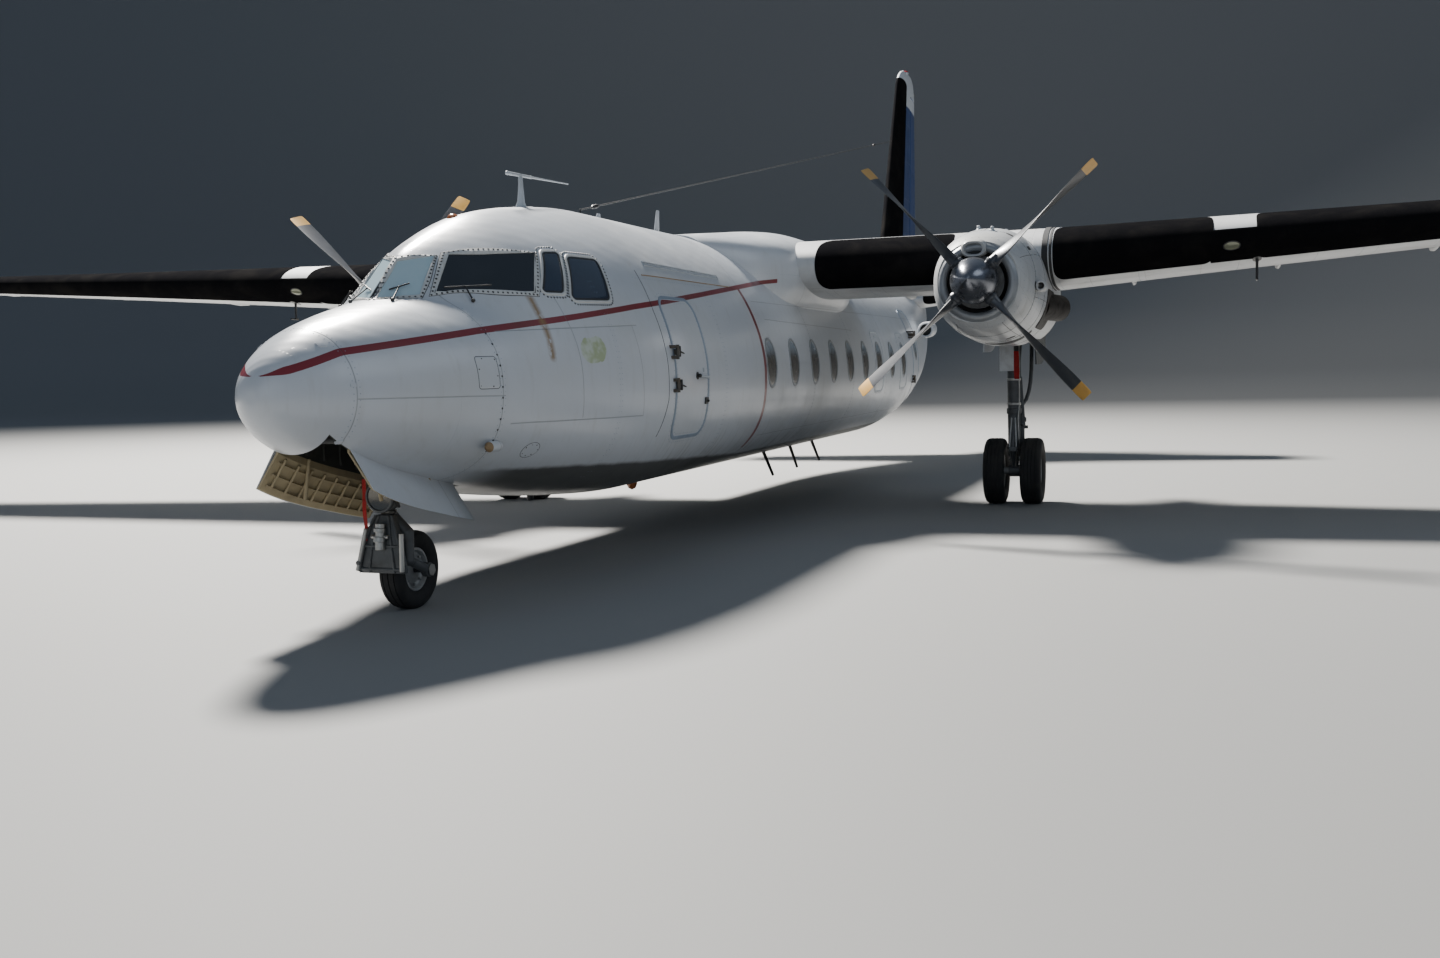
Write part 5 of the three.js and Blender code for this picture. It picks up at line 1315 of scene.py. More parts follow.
blades = [swept("blade", [((0, 7.255, roof(7.2) - 0.03), 0.088, 0.020),
                          ((0, 7.255, roof(7.2) + 0.004), 0.080, 0.016),
                          ((0, 7.285, roof(7.2) + 0.14), 0.062, 0.011),
                          ((0, 7.31, blade_top - 0.012), 0.047, 0.008),
                          ((0, 7.313, blade_top), 0.036, 0.004)]),
          swept("stub", [((0, 5.63, roof(5.63) - 0.02), 0.075, 0.03),
                         ((0, 5.63, roof(5.63) + 0.03), 0.055, 0.02),
                         ((0, 5.64, roof(5.63) + 0.065), 0.03, 0.01)]),
          plate("blade_foot", oval(7.255, 0, 0.13, 0.06, 32), 1, 0.003, place=on_roof)]
fit(together("roof_blades", blades), "airframe", white_paint)
wire_from, wire_to = Vector((0, 5.19, roof(5.2) + 0.06)), Vector((0, 20.60, 6.41))
wire = [rod(wire_from, wire_to, 0.0075, bevel=0.001, segments=8),
        rod((0, 5.19, roof(5.2) - 0.02), wire_from + Vector((0, 0, 0.01)), 0.012, 0.007)]
for aft in (5.55, 18.93):
    spot = wire_from.lerp(wire_to, (aft - wire_from.y) / (wire_to.y - wire_from.y))
    way = (wire_to - wire_from).normalized()
    wire.append(turned("insulator", [(0, 0), (0, 0.008), (0.02, 0.02), (0.05, 0.022), (0.10, 0.022),
                                     (0.13, 0.02), (0.15, 0.008), (0.15, 0)], spot - way * 0.075, spot + way,
                       16))
fit(together("aerial_wire", wire), "airframe", dark_steel_and_shade)
SCOOP_MOUTH, SCOOP_END = (1.385, 16.58, 2.44), (1.335, 17.58, 2.48)
BELLY_BARS = [((10.99, 0.735), (11.65, 0.290)), ((12.37, 0.735), (12.96, 0.303)),
              ((13.64, 0.735), (14.31, 0.311))]
bars = []
for (aft, up), (end_aft, end_up) in BELLY_BARS:
    bend = Vector((0, aft + 0.16, up - 0.035))
    bars += [rod((0, aft, up + 0.015), bend, 0.030, 0.027), ball(bend, 0.0272, 16),
             rod(bend, (0, end_aft, end_up), 0.027, 0.020),
             block((-0.055, aft - 0.07, up - 0.006), (0.055, aft + 0.14, up + 0.012), 0.004)]
bars.append(swept("block_aerial", [((0, 3.88, 0.80), 0.060, 0.030), ((0, 3.88, 0.735), 0.055, 0.028),
                                   ((0, 3.885, 0.722), 0.045, 0.020)]))
fit(together("belly_aerials", bars), "airframe", dark_steel_and_shade)
lamps = [turned("lamp", [(-0.03, 0), (-0.03, 0.06), (0.0, 0.062), (0.09, 0.058), (0.13, 0.040), (0.15, 0)],
                (0, 6.3, section(6.3)[3]), (0, 6.3, 0), 32),
         turned("lamp", [(-0.03, 0), (-0.03, 0.046), (0.0, 0.048), (0.022, 0.042), (0.036, 0.026),
                         (0.041, 0)], (-0.05, 2.76, 3.192), (-0.05, 2.70, 4), 32)]
scoop = turned("side_air_scoop", [(0.0, 0.098), (-0.012, 0.112), (0.0, 0.132), (0.05, 0.142), (0.50, 0.142),
                                  (0.95, 0.060), (0.96, 0.0), (0.16, 0.0), (0.16, 0.098)], SCOOP_MOUTH,
               SCOOP_END, 40)
fit(scoop, "airframe", white_paint)
# painted shade: a dark lining a few centimetres inside the scoop stands for the shade within it
throat = turned("side_air_scoop_throat", [(0.06, 0), (0.06, 0.0985), (0.158, 0.0985), (0.158, 0)],
                SCOOP_MOUTH, SCOOP_END, 32)
fit(throat, "airframe", dark_seal_and_shade)
amber = weathered("amber_glass", (0.42, 0.13, 0.035), (0.22, 0.08, 0.03), 0.18, 0.0, 20.0, 0.5, 0.0004, 0.5)
fit(together("body_lamps", lamps), "airframe", amber)

# Cockpit side windows and frames: two smaller panes behind the large one, in riveted pressings, and the
# wipers that rest on the lower edges of the front panes.
NARROW_PANE = [(2.555, 2.544), (2.756, 2.546), (3.054, 2.887), (2.875, 2.876)]
REAR_PANE = [(2.83, 2.492), (3.357, 2.501), (3.544, 2.851), (3.141, 2.853)]
# each wiper's foot, elbow and blade ends on the left, and how far they stand off the skin
WIPERS = (((0.193, 1.43, 2.50), (0.14, 1.60, 2.60), (0.075, 1.56, 2.56), (0.20, 1.66, 2.63)),
          ((0.63, 1.90, 2.50), (0.52, 1.93, 2.585), (0.40, 1.80, 2.56), (0.64, 2.13, 2.60)))
WIPER_OUT = (0.012, 0.022, 0.016, 0.016)
after_glass = weathered("after_glass", (0.012, 0.022, 0.045), (0.035, 0.045, 0.065), 0.08, 0.0, 3.0, 0.5,
                        0.0003, 0.6, 6.0)
for side, hand in SIDES:
    glass, frames, seals, heads = [], [], [], []
    for corners, radius in ((NARROW_PANE, 0.03), (REAR_PANE, 0.05)):
        shape = cornered(corners, radius)
        glass.append(plate("glass", shape, side, 0.0015, 0.006))
        seals.append(edging("seal", shape, strip(-0.006, 0.012, 0.0045), side))
        frames.append(edging("frame", grown(shape, 0.012), strip(0.0, 0.026, 0.008), side))
        heads += heads_on(grown(shape, 0.050), 0.032, side)
    fit(together(f"after_panes_{hand}", glass), "airframe", after_glass)
    fit(together(f"after_pane_frames_{hand}", frames), "airframe", frame_paint)
    fit(together(f"after_pane_seals_{hand}", seals), "airframe", dark_seal_and_shade)
    heads += mirrored(frame_rivets, side)
    fastener_rows(f"pane_frame_rivets_{hand}", heads, "airframe", dark_steel_and_shade, 0.0095)
    pieces = []
    for wiper in WIPERS:
        foot, elbow, low, high = (on_skin(aft, side * x, up, out)[0]
                                  for (x, aft, up), out in zip(wiper, WIPER_OUT))
        pieces += [rod(foot, elbow, 0.007, 0.005), rod(low, high, 0.006), ball(foot, 0.016),
                   ball(elbow, 0.008)]
    fit(together(f"wipers_{hand}", pieces), "airframe", dark_steel_and_shade)

# Wing: riveted aluminium skins over two spars, with black rubber boots glued round the leading edges.
# Flaps and ailerons fill the cut-outs at the back.
WING = {"aft": 8.9, "up": 3.115, "root": 3.45, "tip": 1.4, "break": 4.21, "half": 14.5, "camber": 0.02}
INCIDENCE = math.radians(3.5)
DIHEDRAL = math.radians(2.5)
CONTROL_GAP = 0.012
END_GAP = 0.026
TRAILING_HALF = 0.005
RIB_STEPS = 34


def wing_rib(span, scale=1.0):
    outboard = max(abs(span) - WING["break"], 0)
    taper = outboard / (WING["half"] - WING["break"])
    chord = mix(WING["root"], WING["tip"], taper)
    return {
        "span": span, "aft": WING["aft"] + (WING["root"] - chord) / 4 + chord * (1 - scale) / 3,
        "up": WING["up"] + outboard * math.sin(DIHEDRAL), "chord": chord * scale,
        "thickness": mix(0.21, 0.15, taper) * scale, "camber": WING["camber"],
        "tilt": INCIDENCE * (1 - 0.5 * taper),
    }


def half_thickness(share, rib):
    # the usual four-digit wing section, in shares of the chord
    shape = 0.2969 * math.sqrt(share) - 0.126 * share - 0.3516 * share ** 2
    shape += 0.2843 * share ** 3 - 0.1036 * share ** 4
    return 5 * rib["thickness"] * shape * rib["chord"] + TRAILING_HALF * share


def rib_point(rib, share, side):
    up = 4 * rib["camber"] * rib["chord"] * share * (1 - share) + side * half_thickness(share, rib)
    aft = share * rib["chord"]
    c, s = math.cos(rib["tilt"]), math.sin(rib["tilt"])
    return rib["aft"] + aft * c + up * s, rib["up"] + up * c - aft * s


def across(span, aft, up):
    return span, aft, up


def upright(span, aft, side):
    return side, aft, span


def rib_at(ribs, span):
    i = max(next((k for k, rib in enumerate(ribs) if rib["span"] >= span), len(ribs) - 1), 1)
    share = (span - ribs[i - 1]["span"]) / (ribs[i]["span"] - ribs[i - 1]["span"])
    return {key: mix(ribs[i - 1][key], ribs[i][key], share) for key in ribs[i]} | {"span": span}


def surface(name, ribs, place, spans):
    """A lifting surface; its map holds metres along the span and share of the chord, negative below."""
    shares = [0.5 * (1 + math.cos(math.pi * k / RIB_STEPS)) for k in range(RIB_STEPS + 1)]
    rings = []
    for span in spans:
        rib = rib_at(ribs, span)
        upper = [rib_point(rib, share, 1) for share in shares]
        lower = [rib_point(rib, share, -1) for share in shares[-2::-1]]
        rings.append([place(span, aft, up) for aft, up in upper + lower])
    values = shares + [-share for share in shares[-2::-1]] + [-1.0]
    return loft(name, rings, lengthways=list(spans), around=[values] * len(rings))


def hinge_of(ribs, span, share):
    rib = rib_at(ribs, span)
    upper, lower = rib_point(rib, share, 1), rib_point(rib, share, -1)
    return (upper[0] + lower[0]) / 2, (upper[1] + lower[1]) / 2, half_thickness(share, rib), rib


def control_space(ribs, control, place):
    rings = []
    for span in control[:2]:
        aft, up, radius, rib = hinge_of(ribs, span, control[2])
        front, back = aft - radius - CONTROL_GAP, rib["aft"] + rib["chord"] + 0.9
        rings.append([place(span, a, up + u) for a, u in ((front, -0.9), (back, -0.9), (back, 0.9),
                                                          (front, 0.9))])
    return loft("cutter", rings, lengthways=[0, 1])


def control_surface(name, ribs, control, place, steps=14):
    """A flap, aileron, elevator or rudder: a round nose about its hinge and the rib's own back."""
    start, end, share = control
    rings, spans = [], np.linspace(start + END_GAP, end - END_GAP, steps)
    turns = [math.pi / 2 + math.pi * k / 12 for k in range(13)]
    backs = np.linspace(share, 1, 12)[1:]
    for span in spans:
        aft, up, radius, rib = hinge_of(ribs, span, share)
        nose = [(aft + radius * math.cos(t - rib["tilt"]), up + radius * math.sin(t - rib["tilt"]))
                for t in turns]
        under = [rib_point(rib, float(b), -1) for b in backs]
        over = [rib_point(rib, float(b), 1) for b in backs[::-1]]
        rings.append([place(span, a, u) for a, u in nose + under + over])
    values = [share] * len(turns) + list(backs) + list(backs[::-1]) + [share]
    return loft(name, rings, lengthways=[float(s) for s in spans], around=[values] * len(rings))


CENTRE_RIBS = [wing_rib(-WING["break"]), wing_rib(WING["break"])]
TIP_SCALES = [(14.2, 0.985), (14.3, 0.96), (14.37, 0.93), (14.43, 0.85), (14.475, 0.75), (14.5, 0.66)]
OUTER_RIBS = [wing_rib(4.2105), wing_rib(14.08)] + [wing_rib(x, scale) for x, scale in TIP_SCALES]
INNER_FLAP = (1.48, 2.95, 0.74)
OUTER_FLAP = (4.26, 9.25, 0.74)
AILERON = (9.3, 13.9, 0.76)


def wing_material(name, paint, stain, cap=None):
    """Riveted skin with dirty paint, and another colour beyond a span."""
    material, tree, shader = finish_material(name, 0.36, coat=0.15)
    level, marks = with_grime(tree, 1.0, 1.0)
    span, share = skin_map(tree)
    colour = mixed(tree, times(tree, marks.outputs["Patches"], 0.6), paint, stain)
    colour = mixed(tree, times(tree, marks.outputs["Streaks"], 0.3), colour, tuple(0.5 * c for c in stain))
    lines = 0.0
    for along, step in ((span, 0.62), (share, 0.19)):
        nearest = apart(tree, sums(tree, "FRACT", sums(tree, "DIVIDE", along, step)), 0.5)
        width = 0.004 / step if along == span else 0.002 / step
        lines = sums(tree, "MAXIMUM", lines, thin_line(tree, nearest, width))
    colour = mixed(tree, times(tree, lines, 0.5), colour, (0.10, 0.10, 0.10))
    if cap:
        colour = mixed(tree, sums(tree, "GREATER_THAN", span, cap[0]), colour, cap[1])
    rough = plus(tree, 0.34, times(tree, marks.outputs["Patches"], 0.2))
    tree.links.new(colour, shader.inputs["Base Color"])
    tree.links.new(rough, shader.inputs["Roughness"])
    height = minus(tree, noise(tree, level.outputs["Place"], 2.0, 3), times(tree, lines, 0.4))
    raised(tree, shader, height, 0.003)
    return material


def boot(name, ribs, place, start, end, over, under, rise=0.003, corner=0.12):
    """A rubber sheet glued round a leading edge, as far back as a share of the chord over and under it."""
    spans = [start + corner * t * t for t in np.linspace(0, 1, 8)][:-1]
    spans += list(np.linspace(start + corner, end - corner, 24))
    spans += [end - corner * t * t for t in np.linspace(1, 0, 8)][1:]
    rings = []
    for span in spans:
        rib = rib_at(ribs, float(span))
        near = min(min(span - start, end - span) / corner, 1.0)
        reach = 0.25 + 0.75 * math.sqrt(1 - (1 - near) ** 2)
        bends = np.linspace(math.sqrt(over * reach), -math.sqrt(under * reach), 33)
        outer, inner = [], []
        for k, bend in enumerate(bends):
            here, ahead, back = (Vector((*rib_point(rib, float(c * c), 1 if c > 0 else -1), 0))
                                 for c in (bend, bend - 0.02, bend + 0.02))
            slope = (ahead - back).cross(Vector((0, 0, 1))).normalized()
            lift = rise * (0.15 if k in (0, 32) else 1.0)
            outer.append(here + slope * lift)
            inner.append(here - slope * 0.004)
        if (outer[16] - inner[16]).x > 0:
            outer, inner = [2 * p - q for p, q in zip(inner, outer)], outer
        rings.append([place(span, p.x, p.y) for p in outer + inner[::-1]])
    return loft(name, rings, lengthways=[float(s) for s in spans])


boot_rubber = weathered("boot_rubber", (0.007, 0.007, 0.008), (0.017, 0.016, 0.015), 0.82, 0.0, 2.5, 0.7,
                        0.0006, 0.0, 30.0)
boot_rubber.node_tree.nodes["Principled BSDF"].inputs["Specular IOR Level"].default_value = 0.0
wing_paint = wing_material("wing_paint", (0.66, 0.67, 0.68), (0.46, 0.46, 0.43))
flap_metal = wing_material("flap_metal", (0.50, 0.51, 0.52), (0.34, 0.33, 0.31))
centre_wing = surface("wing_centre_skin", CENTRE_RIBS, across, np.linspace(-4.21, 4.21, 25))
carve(centre_wing, [control_space(CENTRE_RIBS, (way * INNER_FLAP[0], way * INNER_FLAP[1], INNER_FLAP[2]),
                                  across) for way in (1, -1)])
fit(centre_wing, "airframe", wing_paint)
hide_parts("wing_centre")
fit_pair(boot("boot", CENTRE_RIBS, across, 1.42, 3.1, 0.165, 0.11), "inner_wing_boot", "airframe",
         boot_rubber)
outer_boots = [boot("boot", OUTER_RIBS, across, *row) for row in (
    (4.26, 6.02, 0.20, 0.125), (5.98, 6.51, 0.012, 0.122, 0.0024, 0.02), (6.47, 14.08, 0.20, 0.125))]
fit_pair(together("boots", outer_boots), "outer_wing_boots", "airframe", boot_rubber)
outer_wing = surface("wing_port_skin", OUTER_RIBS, across, list(np.linspace(4.2105, 14.08, 30))
                     + [x for x, _ in TIP_SCALES])
carve(outer_wing, [control_space(OUTER_RIBS, OUTER_FLAP, across), control_space(OUTER_RIBS, AILERON, across)])
fit_pair(outer_wing, "wing_skin", "airframe", wing_paint, ["wing"])
for name, ribs, control in (("inner_flap", CENTRE_RIBS, INNER_FLAP), ("outer_flap", OUTER_RIBS, OUTER_FLAP),
                            ("aileron", OUTER_RIBS, AILERON)):
    piece = control_surface(f"{name}_skin", ribs, control, across)
    fit_pair(piece, f"{name}_skin", name, flap_metal, [name], per_side_body=True)

# Wing fairing: thin panels that round off the wing's crossing over the cabin. They are screwed to the
# wing and to the fuselage along their edges.
FAIRING = [
    (7.60, 0.50, 3.445), (8.20, 0.98, 3.505), (8.80, 1.20, 3.560), (9.80, 1.29, 3.640),
    (11.00, 1.29, 3.620), (12.30, 1.05, 3.530), (13.35, 0.50, 3.440),
]
FAIRING_BASE = 2.95
fairing_half, fairing_top = [smooth_through([r[0] for r in FAIRING], [r[k] for r in FAIRING]) for k in (1, 2)]
rings = []
for aft in np.linspace(7.6, 13.35, 70):
    half, top = fairing_half(aft), fairing_top(aft)
    drop = 0.62 * (half / 1.29) ** 0.6
    ring = []
    for a in round_angles(80):
        c, s = math.cos(a), math.sin(a)
        rise, power = (top - FAIRING_BASE, 0.7) if s > 0 else (drop, 0.85)
        ring.append((half * bulged(c, power), aft, FAIRING_BASE + rise * bulged(s, power)))
    rings.append(ring)
fairing = loft("wing_fairing_skin", rings)
fit(fairing, "airframe", white_paint)
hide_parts("wing_fairing")

# Wing fittings: black end strips where the outer panels are bolted on, a landing lamp behind a curved
# lens in each leading edge, a mast under each wing, flap track covers, fuel caps and static wicks.
def edge_place(span, bend, side=1, out=0.0):
    """A place on the port wing's skin: bend squared is the share of the chord, and under it below nought."""
    ribs = CENTRE_RIBS if abs(span) <= WING["break"] else OUTER_RIBS

    def at(s, b):
        aft, up = rib_point(rib_at(ribs, s), min(b * b, 1.0), 1 if b > 0 else -1)
        return Vector((s, aft, up))

    step = 0.004
    outboard = at(span + step, bend) - at(span - step, bend)
    round_it = at(span, bend + step) - at(span, bend - step)
    normal = outboard.cross(round_it).normalized()
    if normal.z * bend < 0 and abs(bend) > 0.2 or abs(bend) <= 0.2 and normal.y > 0:
        normal.negate()
    return at(span, bend) + normal * out, normal


bands = []
for low, high, swell in ((4.135, 4.205, 1.012), (4.217, 4.25, 1.008)):
    rings, whole = [], CENTRE_RIBS if high < WING["break"] else OUTER_RIBS
    for span in (low, low + 0.004, high - 0.004, high):
        rib = rib_at(whole, span)
        puff = swell if low < span < high else 1.0
        ring = []
        for k in range(41):
            bend = mix(0.60, -0.60, k / 40)
            aft, up = rib_point(rib, bend * bend, 1 if bend > 0 else -1)
            middle = rib_point(rib, 0.15, 1)[0], rib["up"]
            ring.append((span, middle[0] + (aft - middle[0]) * puff,
                         middle[1] + (up - middle[1]) * (1 + (puff - 1) * 3)))
        rings.append(ring)
    bands.append(loft("band", rings, lengthways=[0, 1, 2, 3]))
fit_pair(together("joint_bands", bands), "wing_joint_bands", "airframe", dark_seal_and_shade)
lens = weathered("lamp_lens", (0.28, 0.29, 0.20), (0.16, 0.15, 0.10), 0.10, 0.3, 12.0, 0.5, 0.0006, 0.6)
LANDING_LAMP = oval(6.21, -0.115, 0.085, 0.052, 32)
bezel = edging("bezel", LANDING_LAMP, strip(-0.004, 0.012, 0.003), 1, place=edge_place)
fit_pair(plate("lens", LANDING_LAMP, 1, 0.002, 0.006, 0.006, place=edge_place), "landing_lamp_lens",
         "airframe", lens)
fit_pair(bezel, "landing_lamp_bezel", "airframe", dark_steel_and_shade)
mast_top, _ = edge_place(6.49, -0.36)
mast = [rod(mast_top + Vector((0, 0.0, 0.03)), (6.49, mast_top.y - 0.01, 2.74), 0.017, 0.014),
        rod((6.49, mast_top.y - 0.13, 2.735), (6.49, mast_top.y + 0.05, 2.735), 0.010, 0.013),
        plate("foot", oval(6.49, -0.36, 0.05, 0.05, 24), 1, 0.004, place=edge_place)]
fit_pair(together("mast", mast), "wing_mast", "airframe", dark_steel_and_shade)
covers, wicks, caps = [], [], []
for span in (2.2, 5.1, 6.8, 8.5, 10.6, 12.8):
    ribs = CENTRE_RIBS if span < WING["break"] else OUTER_RIBS
    rib = rib_at(ribs, span)
    rings = []
    for share, half_c, deep in ((0.50, 0.004, 0.004), (0.54, 0.020, 0.03), (0.62, 0.030, 0.06),
                                (0.70, 0.028, 0.06), (0.725, 0.018, 0.04)):
        aft, up = rib_point(rib, share, -1)
        scale_ = 1.0 if span < 9 else 0.6
        rings.append([(span + half_c * scale_ * math.cos(t), aft,
                       up + 0.012 - deep * scale_ * max(math.sin(t), -0.3)) for t in round_angles(20)])
    covers.append(loft("cover", rings))
for span in (9.7, 10.6, 11.5, 12.4, 13.3):
    rib = rib_at(OUTER_RIBS, span)
    aft, up = rib_point(rib, 1.0, 1)
    wicks.append(rod((span, aft - 0.01, up), (span, aft + 0.13, up - 0.008), 0.004, 0.0025, bevel=0.001,
                     segments=8))
fit_pair(together("covers", covers), "flap_track_covers", "airframe", wing_paint)
fit_pair(together("wicks", wicks), "aileron_wicks", "aileron", dark_seal_and_shade, per_side_body=True)
for span, bend in ((5.6, 0.56), (7.6, 0.56), (2.4, 0.55)):
    foot, slope = edge_place(span, bend)
    caps.append(turned("cap", [(-0.01, 0), (-0.01, 0.075), (0.002, 0.075), (0.004, 0.068), (0.003, 0.05),
                               (0.005, 0.045), (0.005, 0)], foot, foot + slope, 32))
fit_pair(together("caps", caps), "fuel_caps", "airframe", rim_grey)
for hand, tint in (("port", (0.40, 0.02, 0.02)), ("starboard", (0.02, 0.22, 0.10))):
    way = 1 if hand == "port" else -1
    glass = weathered(f"tip_glass_{hand}", tint, tuple(c * 0.5 for c in tint), 0.12, 0.0, 20.0, 0.4, 0.0004,
                      0.6)
    lamp = plate("tip_lamp", oval(14.22, 0.0, 0.10, 0.18, 32), 1, 0.002, 0.01, 0.012, place=edge_place)
    if way < 0:
        starboard = other_hand(lamp, "tip_lamp")
        bpy.data.objects.remove(lamp)
        lamp = starboard
    lamp.name = f"tip_lamp_{hand}"
    fit(lamp, "airframe", glass)
spots = []
for span in (1.45, 2.0, 3.4, 4.10, 4.30, 5.2, 6.3, 7.6, 9.0, 10.4, 11.8, 13.2):
    for k in range(26):
        bend = mix(0.36, 0.80, k / 25)
        spots += [edge_place(span, bend, 1, 0.0003), edge_place(span, -bend, 1, 0.0003)]
spots += mirrored(spots)
fastener_rows("wing_rivets", spots, "airframe", rim_grey, 0.0042)
spots = []
for k in range(150):
    aft = mix(7.75, 13.2, k / 149)
    half, top = fairing_half(aft), fairing_top(aft)
    for way in (1, -1):
        for turn_ in (0.02, 0.95):
            c, s = math.cos(turn_), math.sin(turn_)
            place_ = Vector((way * half * abs(c) ** 0.7, aft,
                             FAIRING_BASE + (top - FAIRING_BASE) * abs(s) ** 0.7))
            spots.append((place_, Vector((way * c, 0, s)).normalized()))
fastener_rows("fairing_screws", spots, "airframe", rim_grey)

# Tail: the blue fin stands on the tail cone behind a long fillet, with a black rubber boot round its edge
# and the rudder behind it. The tailplane crosses the cone low down.
TAILPLANE = {"up": 3.06, "dihedral": math.radians(6)}


def plain_rib(span, aft, chord, thickness, up=0.0):
    """A rib of the tail, with equal sides."""
    return {"span": span, "aft": aft, "up": up, "chord": chord, "thickness": thickness, "camber": 0.0,
            "tilt": 0.0}


FIN_RIBS = [plain_rib(*row) for row in ((3.25, 19.18, 3.85, 0.11), (7.72, 21.30, 1.83, 0.10),
                                        (7.84, 21.39, 1.70, 0.098), (7.95, 21.53, 1.50, 0.09),
                                        (8.03, 21.70, 1.22, 0.08), (8.08, 21.90, 0.90, 0.07))]
RUDDER = (3.56, 7.6, 0.62)
TAIL_RIBS = [plain_rib(*row, up=TAILPLANE["up"] + row[0] * math.sin(TAILPLANE["dihedral"])) for row in (
    (0.0, 19.75, 2.45, 0.12), (4.7, 20.35, 1.28, 0.12), (4.79, 20.39, 1.18, 0.11), (4.85, 20.44, 1.02, 0.09),
    (4.875, 20.48, 0.90, 0.07))]
ELEVATOR = (0.74, 4.56, 0.64)
cap_white = (0.58, 0.61, 0.64)
fin_paint = wing_material("fin_paint", (0.020, 0.050, 0.165), (0.014, 0.034, 0.10), (7.3, cap_white))
fin = surface("fin_skin", FIN_RIBS, upright, list(np.linspace(3.25, 7.72, 20)) + [7.84, 7.95, 8.03, 8.08])
carve(fin, [control_space(FIN_RIBS, RUDDER, upright)])
fit(fin, "airframe", fin_paint)
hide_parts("fin")
fit(boot("fin_boot", FIN_RIBS, upright, 4.35, 7.84, 0.31, 0.31, 0.002), "airframe", boot_rubber)
rings = []
for k in range(20):
    aft = mix(16.3, 20.3, k / 19)
    height = mix(3.40, 4.55, (k / 19) ** 1.35)
    low = section(aft)[1] - 0.12
    half = 0.03 + 0.13 * (k / 19)
    rings.append([(half * math.cos(a) * (1.0 if math.sin(a) > 0 else 1.6), aft,
                   (low + 0.1) + (height - low - 0.1) * math.sin(a) if math.sin(a) > 0
                   else low + 0.1 + 0.1 * math.sin(a)) for a in round_angles(32)])
fillet = loft("dorsal_fillet", rings)
fillet_paint = wing_material("fillet_paint", (0.020, 0.050, 0.165), (0.014, 0.034, 0.10))
fit(fillet, "airframe", fillet_paint)
rudder = control_surface("rudder_skin", FIN_RIBS, RUDDER, upright)
# painted light: the rudder's blue is a little lighter than the fin's, as the rudder catches more light
rudder_paint_lit = wing_material("rudder_paint_lit", (0.020, 0.055, 0.18), (0.014, 0.036, 0.11), cap=(7.3, cap_white))
fit(rudder, "rudder", rudder_paint_lit)
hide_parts("rudder")
spans = [-4.875, -4.85, -4.79] + list(np.linspace(-4.7, 4.7, 31)) + [4.79, 4.85, 4.875]
full_ribs = [rib | {"span": -rib["span"]} for rib in TAIL_RIBS[:0:-1]] + TAIL_RIBS
tail_paint = wing_material("tail_paint", (0.62, 0.63, 0.64), (0.44, 0.44, 0.41))
tailplane = surface("tailplane_skin", full_ribs, across, [float(s) for s in spans])
carve(tailplane, [control_space(full_ribs, (way * ELEVATOR[0], way * ELEVATOR[1], ELEVATOR[2]), across)
                  for way in (1, -1)])
fit(tailplane, "airframe", tail_paint)
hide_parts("tailplane")
fit_pair(boot("boot", TAIL_RIBS, across, 0.75, 4.70, 0.16, 0.13), "tailplane_boot", "airframe", boot_rubber)
fit_pair(control_surface("elevator_skin", TAIL_RIBS, ELEVATOR, across), "elevator_skin", "elevator",
         flap_metal, ["elevator"], per_side_body=True)

# Tail fittings: a red beacon on a pale seat at the fin's tip, a spike and static wicks behind, the rudder's
# hinge line and its tab, and a white lamp in the cone's end.
beacon_seat = turned("beacon_seat", [(-0.02, 0), (-0.02, 0.072), (0.0, 0.078), (0.010, 0.070), (0.012, 0)],
                     (0, 22.16, 8.072), (0, 22.16, 9), 40)
fit(beacon_seat, "airframe", light_grey)
beacon_glass = weathered("beacon_glass", (0.45, 0.025, 0.02), (0.25, 0.02, 0.015), 0.10, 0.0, 20.0, 0.4,
                         0.0004, 0.6)
beacon = turned("fin_beacon", [(0, 0), (0, 0.066), (0.012, 0.068), (0.028, 0.060), (0.038, 0.037),
                               (0.041, 0)], (0, 22.16, 8.081), (0, 22.16, 9), 40)
fit(beacon, "airframe", beacon_glass)
spikes = [rod((0, 22.95, 7.80), (0, 23.28, 7.795), 0.013, 0.008, segments=12),
          rod((0, 22.90, 7.80), (0, 22.98, 7.80), 0.022, segments=16)]
fit(together("fin_spike", spikes), "airframe", dark_steel_and_shade)
wicks = []
for span in (5.4, 6.1, 6.8, 7.4):
    rib = rib_at(FIN_RIBS, span)
    back = rib["aft"] + rib["chord"]
    wicks.append(rod((0, back - 0.01, span), (0, back + 0.12, span), 0.004, 0.0025, bevel=0.001, segments=8))
fit(together("rudder_wicks", wicks), "rudder", dark_seal_and_shade)
hinges = []
for span in (3.9, 4.8, 5.7, 6.6, 7.4):
    aft, up, radius, rib = hinge_of(FIN_RIBS, span, RUDDER[2])
    for way in (1, -1):
        inner, outer = (way * (radius - 0.003), aft - radius - 0.06), (way * (radius + 0.004),
                                                                       aft - radius - 0.013)
        hinges.append(block((*inner, span - 0.03), (*outer, span + 0.03), 0.002))
fit(together("rudder_hinge_plates", hinges), "airframe", rim_grey)
TAB = ((3.7, 0.985), (3.7, 0.86), (5.3, 0.86), (5.3, 0.985))
tabs = []
for way in (1, -1):
    path = []
    for span, share in TAB:
        rib = rib_at(FIN_RIBS, span)
        path.append(Vector((way * half_thickness(share, rib), rib["aft"] + rib["chord"] * share, span)))
    tabs.append(ribbon("tab", path, [Vector((way, 0.05, 0)).normalized()] * 4,
                       [(-0.003, -0.003), (-0.003, 0.0012), (0.003, 0.0012), (0.003, -0.003)], False))
fit(together("rudder_tab_gap", tabs), "rudder", dark_seal_and_shade)
wicks = []
